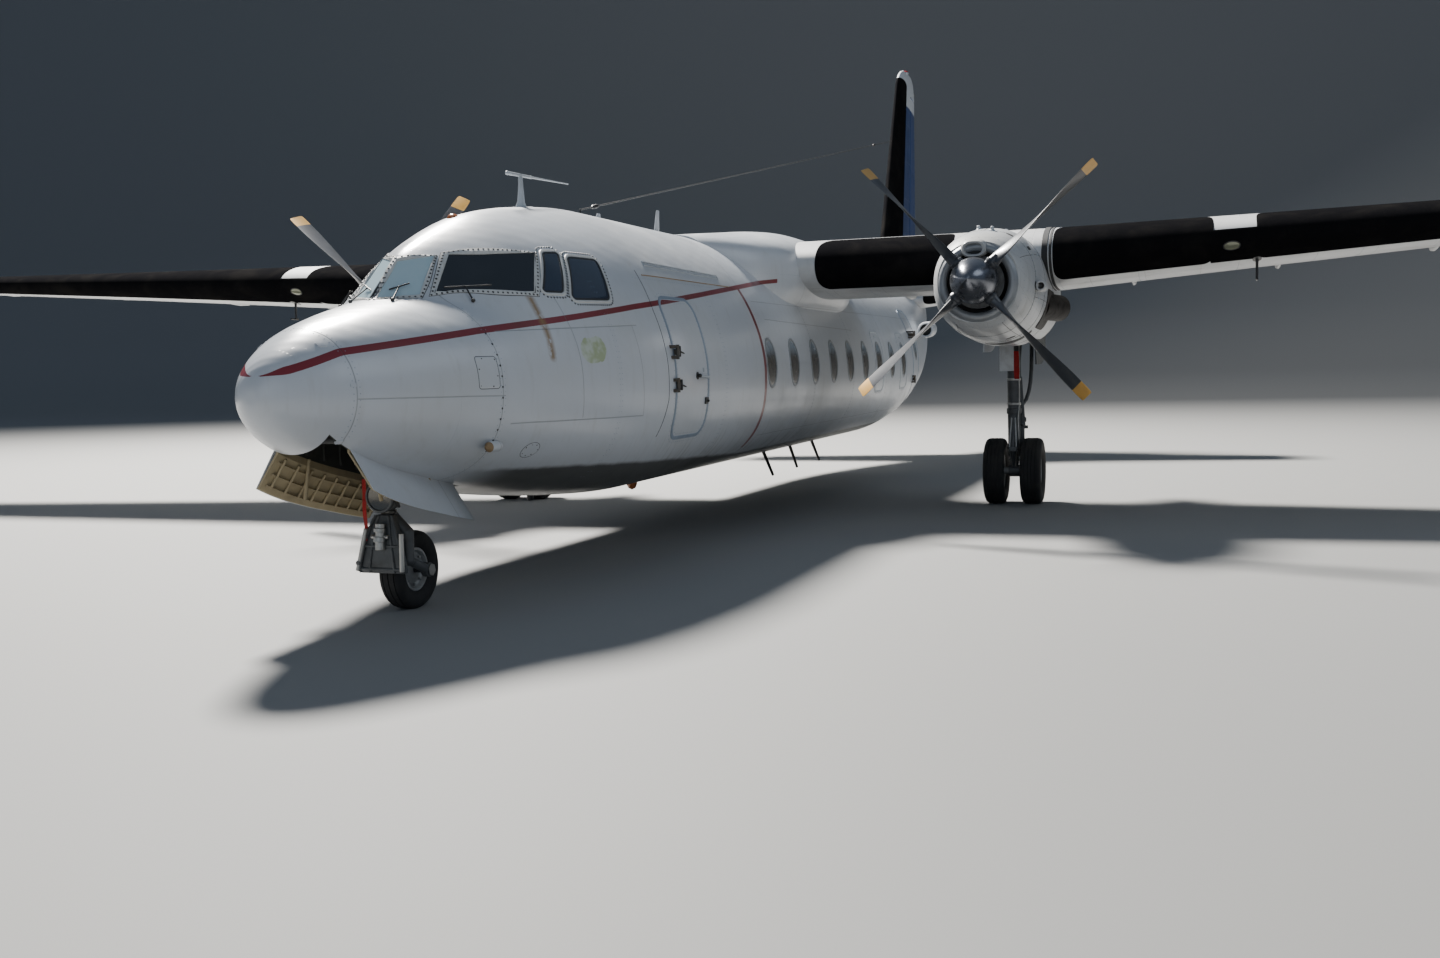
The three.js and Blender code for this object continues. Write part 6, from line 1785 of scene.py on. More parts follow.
for span in (2.0, 3.0, 4.2):
    rib = rib_at(TAIL_RIBS, span)
    aft, up = rib_point(rib, 1.0, 1)
    wicks.append(rod((span, aft - 0.01, up), (span, aft + 0.10, up), 0.004, 0.0025, bevel=0.001, segments=8))
fit_pair(together("wicks", wicks), "elevator_wicks", "elevator", dark_seal_and_shade, per_side_body=True)
cone_lamp = turned("tail_lamp", [(-0.03, 0), (-0.03, 0.030), (0.0, 0.031), (0.006, 0.024), (0.008, 0)],
                   (0, 23.545, 3.15), (0, 24, 3.15), 24)
fit(cone_lamp, "airframe", lens)
spots = []
for span in (3.7, 4.5, 5.3, 6.1, 6.9, 7.7):
    rib = rib_at(FIN_RIBS, span)
    for k in range(26):
        share = mix(0.33, 0.60, k / 25)
        for way in (1, -1):
            spots.append((Vector((way * (half_thickness(share, rib) + 0.0003),
                                  rib["aft"] + rib["chord"] * share, span)), Vector((way, 0, 0))))
for span in (1.0, 1.7, 2.4, 3.1, 3.8, 4.5):
    rib = rib_at(TAIL_RIBS, span)
    for k in range(24):
        share = mix(0.14, 0.60, k / 23)
        for way in (1, -1):
            aft, up = rib_point(rib, share, way)
            for hand in (1, -1):
                spots.append((Vector((hand * span, aft, up)), Vector((0, 0, way))))
fastener_rows("tail_rivets", spots, "airframe", rim_grey)

# Nacelles: aluminium cowls round the engine and, behind it, round the main gear. The rounded lip takes
# the air in round the spinner; the oil cooler has its own mouth above.
ENGINE = {"x": 3.6, "z": 2.74, "lip": 7.48, "bore": 0.395, "bore_to": 8.86}
NACELLE = [(7.48, 0.425, 3.165, 2.74, 2.315), (7.62, 0.490, 3.235, 2.74, 2.245),
           (8.00, 0.555, 3.330, 2.74, 2.170), (8.60, 0.595, 3.400, 2.74, 2.110),
           (9.50, 0.600, 3.400, 2.72, 2.065), (10.80, 0.590, 3.330, 2.70, 2.060),
           (11.70, 0.480, 3.180, 2.74, 2.230), (12.40, 0.300, 3.110, 2.82, 2.530),
           (12.95, 0.060, 2.990, 2.92, 2.860)]
NACELLE_SQUARENESS = 2.2
nacelle_curves = [smooth_through([r[0] for r in NACELLE], [r[k] for r in NACELLE]) for k in range(1, 5)]
MAIN_BAY = {"half": 0.33, "from": 10.25, "to": 12.05, "roof": 2.62}
EXHAUST = {"from": (4.05, 9.25, 2.53), "to": (4.25, 9.79, 2.505), "radius": 0.16, "wall": 0.006}


def nacelle_point(aft, angle, out=0.0):
    half, top, mid, bottom = (curve(aft) for curve in nacelle_curves)
    c, s = math.cos(angle), math.sin(angle)
    rise = (top - mid if s > 0 else mid - bottom) + out
    return Vector((
        ENGINE["x"] + (half + out) * bulged(c, 2 / NACELLE_SQUARENESS), aft,
        mid + rise * bulged(s, 2 / NACELLE_SQUARENESS)))


def nacelle_length(start, end, steps, out=0.0, count=96):
    angles = [-math.pi / 2 + math.tau * k / count for k in range(count)]
    return [[nacelle_point(float(a), t, out) for t in angles] for a in np.linspace(start, end, steps)]


x, z = ENGINE["x"], ENGINE["z"]
cowl = loft("nacelle_skin", nacelle_length(7.5, 12.95, 70))
bore = turned("bore", [(0, 0), (0, ENGINE["bore"]), (ENGINE["bore_to"] - 7.4, ENGINE["bore"]),
                       (ENGINE["bore_to"] - 7.4, 0)], (x, 7.4, z), (x, 9, z), 96)
bay = box_cutter((x - MAIN_BAY["half"], MAIN_BAY["from"], 0),
                 (x + MAIN_BAY["half"], MAIN_BAY["to"], MAIN_BAY["roof"]))
pipe_from, pipe_to = Vector(EXHAUST["from"]), Vector(EXHAUST["to"])
pipe_room = turned("room", [(0, 0), (0, EXHAUST["radius"] + 0.004), (1.0, EXHAUST["radius"] + 0.004),
                            (1.0, 0)], pipe_from, pipe_to, 48)
carve(cowl, [bore, bay, pipe_room])
# painted shade: the cowls' white paint is given as a dimmer blue-grey, the look of their sides in shade
cowl_paint_shaded = wing_material("cowl_paint_shaded", (0.53, 0.545, 0.56), (0.34, 0.33, 0.29))
fit_pair(cowl, "nacelle_skin", "airframe", cowl_paint_shaded, ["nacelle"])
lip_outline = [(0.30, 0.39), (0.16, 0.352), (0.06, 0.333), (0.01, 0.330), (-0.018, 0.336), (-0.034, 0.352),
               (-0.040, 0.372), (-0.036, 0.390), (-0.022, 0.406), (-0.004, 0.417), (-0.002, 0.4165),
               (0.000, 0.419), (0.024, 0.433), (0.06, 0.449), (0.11, 0.468), (0.16, 0.47), (0.16, 0.40),
               (0.30, 0.394)]
lip = turned("lip", lip_outline, (x, ENGINE["lip"], z), (x, 9, z), 128, loop=True)
lip_metal = weathered("lip_metal", (0.30, 0.32, 0.345), (0.21, 0.21, 0.20), 0.40, 0.45, 4.0)
# the oil cooler's mouth: a thick rounded collar on top of the lip
COOLER = {"x": 3.567, "up": 3.092}


def rounded_slot(aft, half_c, height_c, lift):
    return [(COOLER["x"] + half_c * bulged(math.cos(t), 0.75), ENGINE["lip"] + aft,
             COOLER["up"] + lift + height_c * bulged(math.sin(t), 0.75)) for t in round_angles(40)]


collar = [rounded_slot(*row) for row in ((0.30, 0.074, 0.038, 0.03), (0.02, 0.084, 0.050, 0),
                                         (-0.035, 0.088, 0.055, 0), (-0.058, 0.098, 0.065, 0),
                                         (-0.060, 0.118, 0.081, 0), (-0.03, 0.138, 0.094, 0.004),
                                         (0.10, 0.152, 0.100, 0.02), (0.30, 0.158, 0.096, 0.06),
                                         (0.55, 0.120, 0.06, 0.12), (0.56, 0.05, 0.02, 0.12))]
fit_pair(loft("cooler_collar", collar), "cooler_collar", "airframe", cowl_paint_shaded)
fit_pair(lip, "intake_lip", "airframe", lip_metal)
wall, radius = EXHAUST["wall"], EXHAUST["radius"]
length = (pipe_to - pipe_from).length
pipe_outline = [(0, 0), (0, radius), (length, radius), (length + 0.001, radius - wall / 2),
                (length, radius - wall), (length * 0.15, radius - wall), (length * 0.15, 0)]
# soot and painted shade: the pipe and the shield beside it are near black, darker than their soot alone, for
# the shade round the exhaust
burnt_and_shaded = weathered("burnt_and_shaded_steel", (0.020, 0.015, 0.012), (0.010, 0.008, 0.007), 0.6, 0.3, 9.0, 0.9)
fit_pair(turned("exhaust_pipe", pipe_outline, pipe_from, pipe_to, 64), "exhaust_pipe", "airframe", burnt_and_shaded,
         ["exhaust"])
engine_finish = weathered("engine_finish", (0.16, 0.165, 0.17), (0.06, 0.06, 0.06), 0.5, 0.6, 10.0, 0.8)
for hand in ("port", "starboard"):
    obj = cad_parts[f"engine_{hand}"]
    obj.data.materials.clear()
    obj.data.materials.append(engine_finish)

# Nacelle fittings: an air pipe on the outer side, small inlets shown as dark patches of painted shade,
# lifting eyes on top, a burnt steel shield by the exhaust, darkened further as painted shade, the cowls' gaps
# with their screws and catches, and vanes inside the round intake.
def nacelle_place(aft, turn_, side=1, out=0.0):
    """A place on the port nacelle from metres aft and the turn round it in radians, and its normal."""
    step = 0.01
    along = nacelle_point(aft + step, turn_) - nacelle_point(aft - step, turn_)
    round_it = nacelle_point(aft, turn_ + step) - nacelle_point(aft, turn_ - step)
    normal = along.cross(round_it).normalized()
    middle = nacelle_point(aft, turn_)
    if normal.dot(Vector((middle.x - x, 0, middle.z - z))) < 0:
        normal.negate()
    return middle + normal * out, normal


GAP_STRIP = strip(-0.0025, 0.0025, 0.0016)
gaps, eyes, catches = [], [], []
for aft in (8.05, 8.72, 9.6):
    gaps.append(edging("gap", [(aft, math.tau * k / 120 + 0.01) for k in range(120)], GAP_STRIP,
                       place=nacelle_place))
for degrees, start, end in ((28, 7.62, 8.72), (152, 7.62, 8.72), (-14, 8.05, 9.6), (194, 8.05, 9.6),
                            (90, 8.05, 8.72), (-62, 7.62, 8.9), (242, 7.62, 8.9)):
    turn_ = math.radians(degrees)
    gaps.append(edging("gap", [(start, turn_), (end, turn_)], GAP_STRIP, closed=False, place=nacelle_place))
# painted shade: the slots and holes are dark plates on the cowl, and the cooler's mouth is filled with a dark
# plug, standing for the shade inside them
gaps.append(plate("slot", [(8.90, math.radians(-100)), (9.12, math.radians(-100)), (9.15, math.radians(-75)),
                           (9.10, math.radians(-50)), (8.98, math.radians(-48)), (8.90, math.radians(-75))],
                  1, 0.0022, 0.008, place=nacelle_place))
gaps.append(plate("slot", oval(8.55, math.radians(-70), 0.05, 0.10, 20), 1, 0.002, place=nacelle_place))
gaps.append(plate("hole", oval(8.02, math.radians(-2), 0.030, 0.05, 20), 1, 0.0022, place=nacelle_place))
gaps.append(plate("hole", oval(8.05, math.radians(62), 0.045, 0.10, 24), 1, 0.0025, place=nacelle_place))
gaps.append(plate("hole", rounded_outline(8.12, 8.26, math.radians(34), math.radians(39), 0.02), 1, 0.002,
                  place=nacelle_place))
shield = plate("shield", rounded_outline(9.02, 9.74, math.radians(-44), math.radians(-1), 0.09), 1, 0.008,
               0.01, place=nacelle_place)
fit_pair(shield, "heat_shield", "airframe", burnt_and_shaded)
gaps.append(loft("mouth_shade_plug", [rounded_slot(0.0, 0.0845, 0.0505, 0),
                                rounded_slot(0.26, 0.074, 0.038, 0.026)]))
fit_pair(together("gaps", gaps), "cowl_gaps", "airframe", dark_seal_and_shade)
for aft, degrees in ((8.0, 82), (8.5, 100), (9.2, 82)):
    foot, slope = nacelle_place(aft, math.radians(degrees))
    eyes.append(turned("eye", [(-0.01, 0), (-0.01, 0.034), (0.008, 0.034), (0.016, 0.022), (0.045, 0.018),
                               (0.05, 0.010), (0.05, 0)], foot, foot + slope, 24))
    eyes.append(plate("seat", oval(aft, math.radians(degrees), 0.055, 0.095, 24), 1, 0.004,
                      place=nacelle_place))
for degrees in (28, -14, 152, 194):
    for aft in (8.2, 8.5) if degrees in (28, 152) else (8.3, 8.9, 9.3):
        t_ = math.radians(degrees)
        catches.append(plate("catch", rounded_outline(aft - 0.035, aft + 0.035, t_ - 0.022, t_ + 0.022, 0.01),
                             1, 0.004, place=nacelle_place))
fit_pair(together("eyes", eyes + catches), "cowl_catches", "airframe", light_grey)
pipe = [(0.0, 0.036), (-0.006, 0.042), (-0.004, 0.052), (0.02, 0.058), (0.30, 0.060), (0.62, 0.050),
        (0.85, 0.02), (0.86, 0.0), (0.62, 0.0), (0.12, 0.0), (0.12, 0.036)]
pipe_mouth, pipe_end = Vector((4.215, 8.02, 2.70)), Vector((4.165, 8.9, 2.71))
fit_pair(turned("air_pipe", pipe, pipe_mouth, pipe_end, 40), "air_pipe", "airframe", cowl_paint_shaded)
# painted shade: a dark disk a little inside the pipe's mouth stands for the shade within the pipe
shade_plug = turned("shade_plug", [(0.10, 0), (0.10, 0.0365), (0.117, 0.0365), (0.117, 0)], pipe_mouth, pipe_end, 32)
saddle = loft("saddle", [[(mix(4.10, 4.215, 0.5) + half_c * math.cos(t), aft, 2.705 + 0.045 * math.sin(t))
                          for t in round_angles(20)]
                         for aft, half_c in ((8.06, 0.03), (8.12, 0.06), (8.6, 0.055), (8.85, 0.02))])
fit_pair(saddle, "air_pipe_saddle", "airframe", cowl_paint_shaded)
vanes = [shade_plug]
for back in (0.26, 0.40):
    ring = [(back, 0.29), (back, 0.372), (back + 0.03, 0.372), (back + 0.03, 0.29)]
    vanes.append(turned("vane_ring", ring, (x, ENGINE["lip"], z), (x, 9, z), 64, loop=True))
centre = Vector((x, ENGINE["lip"] + 0.30, z))
for t_ in round_angles(24):
    spoke = Vector((math.cos(t_), 0, math.sin(t_)))
    vanes.append(rod(centre + spoke * 0.285, centre + spoke * 0.376, 0.006, segments=8))
fit_pair(together("vanes", vanes), "intake_vanes", "airframe", dark_steel_and_shade)
spots = []
for aft, pitch in ((8.03, 0.06), (8.07, 0.06), (8.70, 0.06), (8.74, 0.06), (9.58, 0.07), (9.62, 0.07),
                   (7.60, 0.07)):
    ring = [nacelle_point(aft, math.tau * k / 300) for k in range(301)]
    for spot in spaced(ring, pitch, False):
        turn_ = math.atan2(spot.z - z, spot.x - x)
        for _ in range(4):
            miss = nacelle_point(aft, turn_)
            turn_ += math.atan2(spot.z - z, spot.x - x) - math.atan2(miss.z - z, miss.x - x)
        spots.append(nacelle_place(aft, turn_, 1, 0.0004))
for degrees in (24, 32, -18, -10, 148, 156, 190, 198):
    for k in range(16):
        spots.append(nacelle_place(mix(7.7, 9.5, k / 15), math.radians(degrees), 1, 0.0004))
spots += mirrored(spots)
fastener_rows("cowl_screws", spots, "airframe", rim_grey, 0.0048)

# Propellers: four square-tipped blades of forged aluminium with yellow tips, held in a hub behind a
# polished spinner. They are feathered, as the aircraft stands parked.
HUB_BACK = 7.38
PROPELLER_AFT = 7.23
BLADES = [
    (0.33, 0.190, 0.096, 122), (0.52, 0.270, 0.058, 112), (0.85, 0.300, 0.038, 98),
    (1.25, 0.285, 0.024, 86), (1.55, 0.235, 0.016, 76), (1.70, 0.110, 0.009, 70),
]
BLADE_TURN = {"port": 47, "starboard": 43}
# the lower pair on the left has swung to fine pitch; the others are feathered
BLADE_PITCH = {"port": (0, -24, -22, 0), "starboard": (0, 0, 0, 0)}
SPINNER = [(0.0, 0.238), (0.19, 0.246), (0.34, 0.226), (0.48, 0.174), (0.59, 0.102), (0.645, 0.041),
           (0.66, 0.0)]
blade_curves = [smooth_through([r[0] for r in BLADES], [r[k] for r in BLADES]) for k in (1, 2, 3)]


def propeller_blade():
    rings = []
    for r in list(np.linspace(0.30, 1.66, 40)) + [1.68, 1.695, 1.70]:
        chord, thick, angle = (curve(max(min(r, 1.70), 0.33)) for curve in blade_curves)
        turn = math.radians(angle)
        if r > 1.55:
            chord = mix(0.235, 0.205, fade(r, 1.55, 1.70)) * (1 - 0.14 * fade(r, 1.675, 1.70))
        ring = []
        for k in range(28):
            a = math.tau * k / 28
            fullness = 0.5 if math.sin(a) > 0 else 0.36
            u = 0.5 * math.cos(a) * chord
            v = fullness * math.sin(a) * (1 + 0.35 * math.cos(a)) * thick
            ring.append((u * math.cos(turn) - v * math.sin(turn), u * math.sin(turn) + v * math.cos(turn), r))
        rings.append(ring)
    blade = loft("blade", rings, lengthways=[ring[0][2] for ring in rings])
    root = turned("root", [(0, 0), (0, 0.072), (0.24, 0.072), (0.25, 0.078), (0.275, 0.078), (0.285, 0.068),
                           (0.36, 0.055), (0.36, 0)], (0, 0, 0), (0, 0, 1), 32)
    return together("blade", [blade, root])


blade_grey, tree, shader = finish_material("blade_grey", 0.34, 0.25, 0.2)
level, marks = with_grime(tree, 5.0, 0.8)
colour = mixed(tree, marks.outputs["Patches"], (0.045, 0.050, 0.060), (0.085, 0.09, 0.095))
tip = tree.nodes.new("ShaderNodeAttribute")
tip.attribute_name = "radius"
tip_mask = sums(tree, "GREATER_THAN", tip.outputs["Fac"], 1.545)
colour = mixed(tree, tip_mask, colour, mixed(tree, marks.outputs["Patches"], (0.66, 0.38, 0.09),
                                             (0.48, 0.28, 0.09)))
colour = mixed(tree, times(tree, marks.outputs["Specks"], 0.5), colour, (0.20, 0.20, 0.20))
tree.links.new(colour, shader.inputs["Base Color"])
raised(tree, shader, noise(tree, level.outputs["Place"], 40, 4), 0.0008)
polished = weathered("polished_spinner", (0.21, 0.22, 0.25), (0.13, 0.13, 0.14), 0.22, 0.9, 5.0, 0.6, 0.0004)
blade = propeller_blade()
for hand, side in (("port", 1), ("starboard", -1)):
    centre = (side * x, PROPELLER_AFT, z)
    parts = []
    for k in range(4):
        copy = bpy.data.objects.new("blade", blade.data.copy())
        copy.data.transform(Matrix.Rotation(math.radians(BLADE_PITCH[hand][k]), 4, "Z"))
        copy.data.transform(Matrix.Rotation(math.radians(BLADE_TURN[hand] + 90 * k), 4, "Y"))
        parts.append(copy)
    parts.append(turned("hub", [(0, 0), (0, 0.12), (0.01, 0.13), (0.29, 0.13), (0.30, 0.12), (0.30, 0)],
                        (0, -0.15, 0), (0, 1, 0), 48))
    prop = together(f"propeller_{hand}_blades", parts)
    reach = np.array([math.hypot(v.co.x, v.co.z) for v in prop.data.vertices], np.float32)
    layer = prop.data.attributes.new("radius", "FLOAT", "POINT")
    layer.data.foreach_set("value", reach)
    prop.data.transform(Matrix.Translation(centre))
    fit(prop, f"propeller_{hand}", blade_grey)
    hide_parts(f"propeller_{hand}")
    spin_radius = smooth_through(*zip(*SPINNER))
    ahead = [0.66 * (1 - (1 - k / 40) ** 1.6) for k in range(40)]
    outline = [(0, 0), (0, 0.232), (0.004, 0.238)]
    outline += [(a, max(spin_radius(a), 0.004)) for a in ahead[1:]] + [(0.66, 0)]
    back = Vector((side * x, HUB_BACK + 0.02, z))
    shell = turned(f"spinner_{hand}_shell", outline, back, back - Vector((0, 1, 0)), 96)
    room = [turned("room", [(0, 0), (0, 0.1305), (0.32, 0.1305), (0.32, 0)], back + Vector((0, 0.01, 0)),
                   back - Vector((0, 1, 0)), 48)]
    for k in range(4):
        a = math.radians(BLADE_TURN[hand] + 90 * k)
        start = Vector((side * x, PROPELLER_AFT, z))
        room.append(turned("room", [(0, 0), (0, 0.086), (0.4, 0.086), (0.4, 0)], start,
                           start + Vector((math.sin(a), 0, math.cos(a))), 32))
    carve(shell, room)
    fit(shell, f"propeller_{hand}", polished)
    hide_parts(f"spinner_{hand}")
bpy.data.objects.remove(blade)

# Wheels and tyres: cast rims in two halves bolted together, and grooved rubber tyres worn at the
# shoulders. Each main leg has two of them on one axle.
MAIN = {"aft": WHEELS_AFT, "radius": 0.432, "width": 0.273, "twin": 0.235, "axle": 0.045}
NOSE = {"aft": 1.78, "radius": 0.305, "width": 0.196, "axle": 0.026}


def above_ground(aft, height):
    return (height - (aft - MAIN["aft"]) * math.sin(NOSE_DOWN)) / math.cos(NOSE_DOWN)


def tyre(name, centre, radius, width, grooves):
    half = width / 2
    outline = [(-0.62, 0.56), (-0.80, 0.60), (-0.94, 0.70), (-1.0, 0.80), (-0.97, 0.88), (-0.88, 0.945),
               (-0.72, 0.982)]
    tread = [(-0.58, 0.995)]
    for k in range(grooves):
        g = mix(-0.5, 0.5, k / (grooves - 1))
        tread += [(g - 0.045, 1.0), (g - 0.035, 0.974), (g + 0.035, 0.974), (g + 0.045, 1.0)]
    tread.append((0.58, 0.995))
    whole = outline + tread + [(-a, r) for a, r in outline[::-1]]
    whole = [(a * half, r * radius) for a, r in whole]
    whole += [(0.6 * half, 0.555 * radius), (-0.6 * half, 0.555 * radius)]
    centre = Vector(centre)
    return turned(name, whole, centre, centre + Vector((1, 0, 0)), 96, loop=True)


def wheel_rim(name, centre, radius, width, bore):
    bead, half = radius * 0.56 - 0.0005, width / 2
    flange = bead - 0.022
    face = [(0.62 * half, bead), (0.66 * half, bead - 0.004), (0.66 * half, flange + 0.004),
            (0.60 * half, flange), (0.34 * half, flange - 0.01), (0.26 * half, flange - 0.03),
            (0.34 * half, radius * 0.30), (0.46 * half, radius * 0.24), (0.52 * half, radius * 0.18),
            (0.52 * half, bore)]
    outline = face + [(-a, r) for a, r in face[::-1]]
    centre = Vector(centre)
    pieces = [turned(name, outline, centre, centre + Vector((1, 0, 0)), 72, loop=bore > 0)]
    for way in (1, -1):
        for k in range(8):
            a = math.tau * k / 8
            spot = centre + Vector((way * 0.28 * half, math.cos(a) * radius * 0.40,
                                    math.sin(a) * radius * 0.40))
            pieces.append(rod(spot, spot + Vector((way * 0.02, 0, 0)), 0.011, bevel=0.002, segments=6))
    return pieces


rubber = weathered("tyre_rubber", (0.018, 0.018, 0.018), (0.055, 0.052, 0.047), 0.78, 0.0, 6.0, 0.7, 0.0008)
rim_paint = weathered("rim_paint", (0.40, 0.41, 0.41), (0.20, 0.19, 0.17), 0.42, 0.3, 8.0, 0.7)
# painted shade: the gear's grey paint is darkened to near black, the look of the legs in the shade under the
# aircraft
gear_paint_and_shade = weathered("gear_paint_and_shade", (0.105, 0.112, 0.117), (0.065, 0.065, 0.062), 0.45, 0.2, 6.0, 0.8)
axle = Vector((x, MAIN["aft"], above_ground(MAIN["aft"], MAIN["radius"])))
pieces = []
for way in (1, -1):
    pieces += wheel_rim("rim", axle + Vector((way * MAIN["twin"], 0, 0)), MAIN["radius"], MAIN["width"], 0)
pieces.append(rod(axle - Vector((MAIN["twin"], 0, 0)), axle + Vector((MAIN["twin"], 0, 0)), MAIN["axle"]))
fit_pair(together("main_rims", pieces), "main_rims", "main_wheels", rim_paint, ["main_wheels"],
         per_side_body=True)
for place, way in (("outer", 1), ("inner", -1)):
    piece = tyre("tyre", axle + Vector((way * MAIN["twin"], 0, 0)), MAIN["radius"], MAIN["width"], 4)
    fit_pair(piece, f"main_{place}_tyre_rubber", "main_wheels", rubber, [f"main_tyre_{place}"],
             per_side_body=True)

# Main gear: a forged leg with a sliding piston, scissors ahead of it and a drag strut behind. A sheet metal
# door hangs on each side of its bay; the outer one is painted dark all over, as painted shade.
leg_top = Vector((x, MAIN["aft"] - 0.04, 2.48))
knee = Vector((x, MAIN["aft"] - 0.018, 1.18))
scissor = Vector((x, MAIN["aft"] - 0.185, 0.73))
brace_z = MAIN_BAY["roof"] - 0.06
half = MAIN_BAY["half"] - 0.0005
collar = [(0, 0), (0, 0.082), (0.01, 0.095), (0.07, 0.095), (0.08, 0.082), (0.08, 0)]
sleeve = [(0, 0), (0, 0.070), (0.015, 0.080), (0.56, 0.082), (0.57, 0.078), (0.57, 0)]
boss = [(-0.0725, 0.0465), (-0.0725, 0.074), (-0.068, 0.078), (0.068, 0.078), (0.0725, 0.074),
        (0.0725, 0.0465)]
above_knee = knee + Vector((0, 0, 0.01))
pieces = [rod(knee, leg_top, 0.082, segments=40),
          rod(axle + Vector((0, 0, 0.02)), above_knee, 0.056, segments=40),
          rod(leg_top - Vector((half, 0, 0)), leg_top + Vector((half, 0, 0)), 0.052, segments=32),
          rod(knee + Vector((0, 0.06, 0.06)), (x, MAIN["aft"] + 0.95, brace_z), 0.036, segments=24),
          rod((x - half, MAIN["aft"] + 0.95, brace_z), (x + half, MAIN["aft"] + 0.95, brace_z), 0.034,
              segments=24),
          rod(scissor, (x, MAIN["aft"] - 0.07, 1.15), 0.024),
          rod(scissor, (x, MAIN["aft"] - 0.04, 0.48), 0.024),
          block((x - 0.05, MAIN["aft"] - 0.21, 0.70), (x + 0.05, MAIN["aft"] - 0.165, 0.76)),
          turned("collar", collar, knee, leg_top, 40),
          turned("sleeve", sleeve, axle + Vector((0, -0.002, 0.19)), above_knee, 40),
          turned("boss", boss, axle, axle + Vector((1, 0, 0)), 40, loop=True)]
leg = together("main_leg", pieces)
fit_pair(leg, "main_leg", "airframe", gear_paint_and_shade, ["main_gear_leg"])


def edge_over_bay(bay, half, wide, bottom, squareness):
    """The height of a belly over the edge of its gear bay, from the belly's rounded section."""
    return wide - (wide - bottom) * (1 - min(bay["half"] / half, 1) ** squareness) ** (1 / squareness)


def door_profile(bay, thickness, edge, degrees, drop):
    """A gear door's outline across the aircraft: a rim inside the bay, and a leaf that hangs out from it."""
    far = bay["half"] - 0.0005
    near = far - thickness
    out, down = math.sin(math.radians(degrees)) * drop, math.cos(math.radians(degrees)) * drop
    return [(near, edge + 0.03), (far, edge + 0.03), (far, edge - 0.022), (far + out, edge - 0.022 - down),
            (near + out, edge - 0.022 - down), (near, edge - 0.022)]


# painted shade: the outer door's white paint is given as dark grey, as the door stands in shadow
door_painted_shade = weathered("door_painted_shade", (0.085, 0.092, 0.092), (0.045, 0.045, 0.042), 0.6, 0.0, 5.0, 0.8)
for place, side, drop, paint, slot in (("outer", 1, 0.30, door_painted_shade, "dark_paint"),
                                       ("inner", -1, 0.13, white_paint, "white_paint")):
    rings = []
    for aft in np.linspace(10.27, 11.5, 24):
        half, _, wide, bottom = (curve(aft) for curve in nacelle_curves)
        edge = edge_over_bay(MAIN_BAY, half, wide, bottom, NACELLE_SQUARENESS)
        rings.append([(x + side * a, aft, u) for a, u in door_profile(MAIN_BAY, 0.018, edge, 2, drop)])
    door = loft(f"main_{place}_gear_door", rings)
    fit_pair(door, f"main_{place}_gear_door", "airframe", paint, [f"main_gear_door_{place}"])

# Main gear fittings: a flat plate ahead of each leg, a second strut with a bowed brace, torque links,
# hydraulic pipes, the bay's dark riveted lining, and a red remove-before-flight strip on each leg.
aft_axle = MAIN["aft"]
fittings = [rod((3.50, 10.59, 2.05), (3.55, 10.70, 2.05), 0.012),
            rod((3.50, 10.59, 1.85), (3.55, 10.70, 1.85), 0.012),
            rod((3.705, 10.80, 1.02), (3.640, 10.95, 1.66), 0.036, 0.040, segments=28),
            rod((3.640, 10.95, 1.66), (3.62, 11.0, 2.45), 0.030, 0.030, segments=24),
            turned("collar", [(0, 0), (0, 0.046), (0.01, 0.052), (0.05, 0.052), (0.06, 0.046), (0.06, 0)],
                   (3.70, 10.81, 1.07), (3.64, 10.95, 1.66), 28),
            block((3.61, 10.84, 0.72), (3.72, 10.89, 1.06), 0.012),
            block((3.55, 10.83, 1.14), (3.66, 10.90, 1.20), 0.01),
            rod((3.56, 10.90, 0.74), (3.76, 10.90, 0.74), 0.022, segments=20),
            rod((3.56, 10.90, 1.00), (3.76, 10.90, 1.00), 0.022, segments=20)]
bow = [(3.69, 10.90, 1.30), (3.735, 10.93, 1.36), (3.765, 10.97, 1.46), (3.782, 11.02, 1.58),
       (3.79, 11.07, 1.75)]
fittings += bent_rod(bow, 0.026, 0.0263, 18)
fittings.append(rod(bow[-1], (3.79, 11.2, 2.52), 0.026, segments=18))
leg_plate = together("leg_plate", [block((3.435, 10.575, 1.745), (3.618, 10.590, 2.20), 0.004)]
                     + [rod((a, 10.570, u), (a, 10.578, u), 0.007, bevel=0.002, segments=8)
                        for a in (3.455, 3.598) for u in (1.77, 1.90, 2.03)])
# painted light: the plate is painted paler than its real paint, to make up for the nacelle's shadow over it
plate_painted_light = weathered("plate_painted_light", (0.78, 0.80, 0.82), (0.50, 0.50, 0.48), 0.45, 0.0, 5.0, 0.6)
fit_pair(leg_plate, "main_leg_plate", "airframe", plate_painted_light)
fit_pair(together("fittings", fittings), "main_leg_fittings", "airframe", gear_paint_and_shade)
links = []
for way in (1, -1):
    knuckle = (x + way * 0.045, aft_axle - 0.185, 0.73)
    links += [rod(knuckle, (x + way * 0.020, aft_axle - 0.08, 1.15), 0.012, segments=12),
              rod(knuckle, (x + way * 0.020, aft_axle - 0.05, 0.49), 0.012, segments=12)]
for u, r in ((0.56, 0.066), (0.72, 0.086), (1.30, 0.088), (1.62, 0.088), (2.2, 0.088)):
    clamp = [(0, r - 0.012), (0, r), (0.004, r + 0.004), (0.026, r + 0.004), (0.03, r), (0.03, r - 0.012)]
    links.append(turned("clamp", clamp, (x, aft_axle - 0.022, u), (x, aft_axle - 0.022, 3), 32, loop=True))
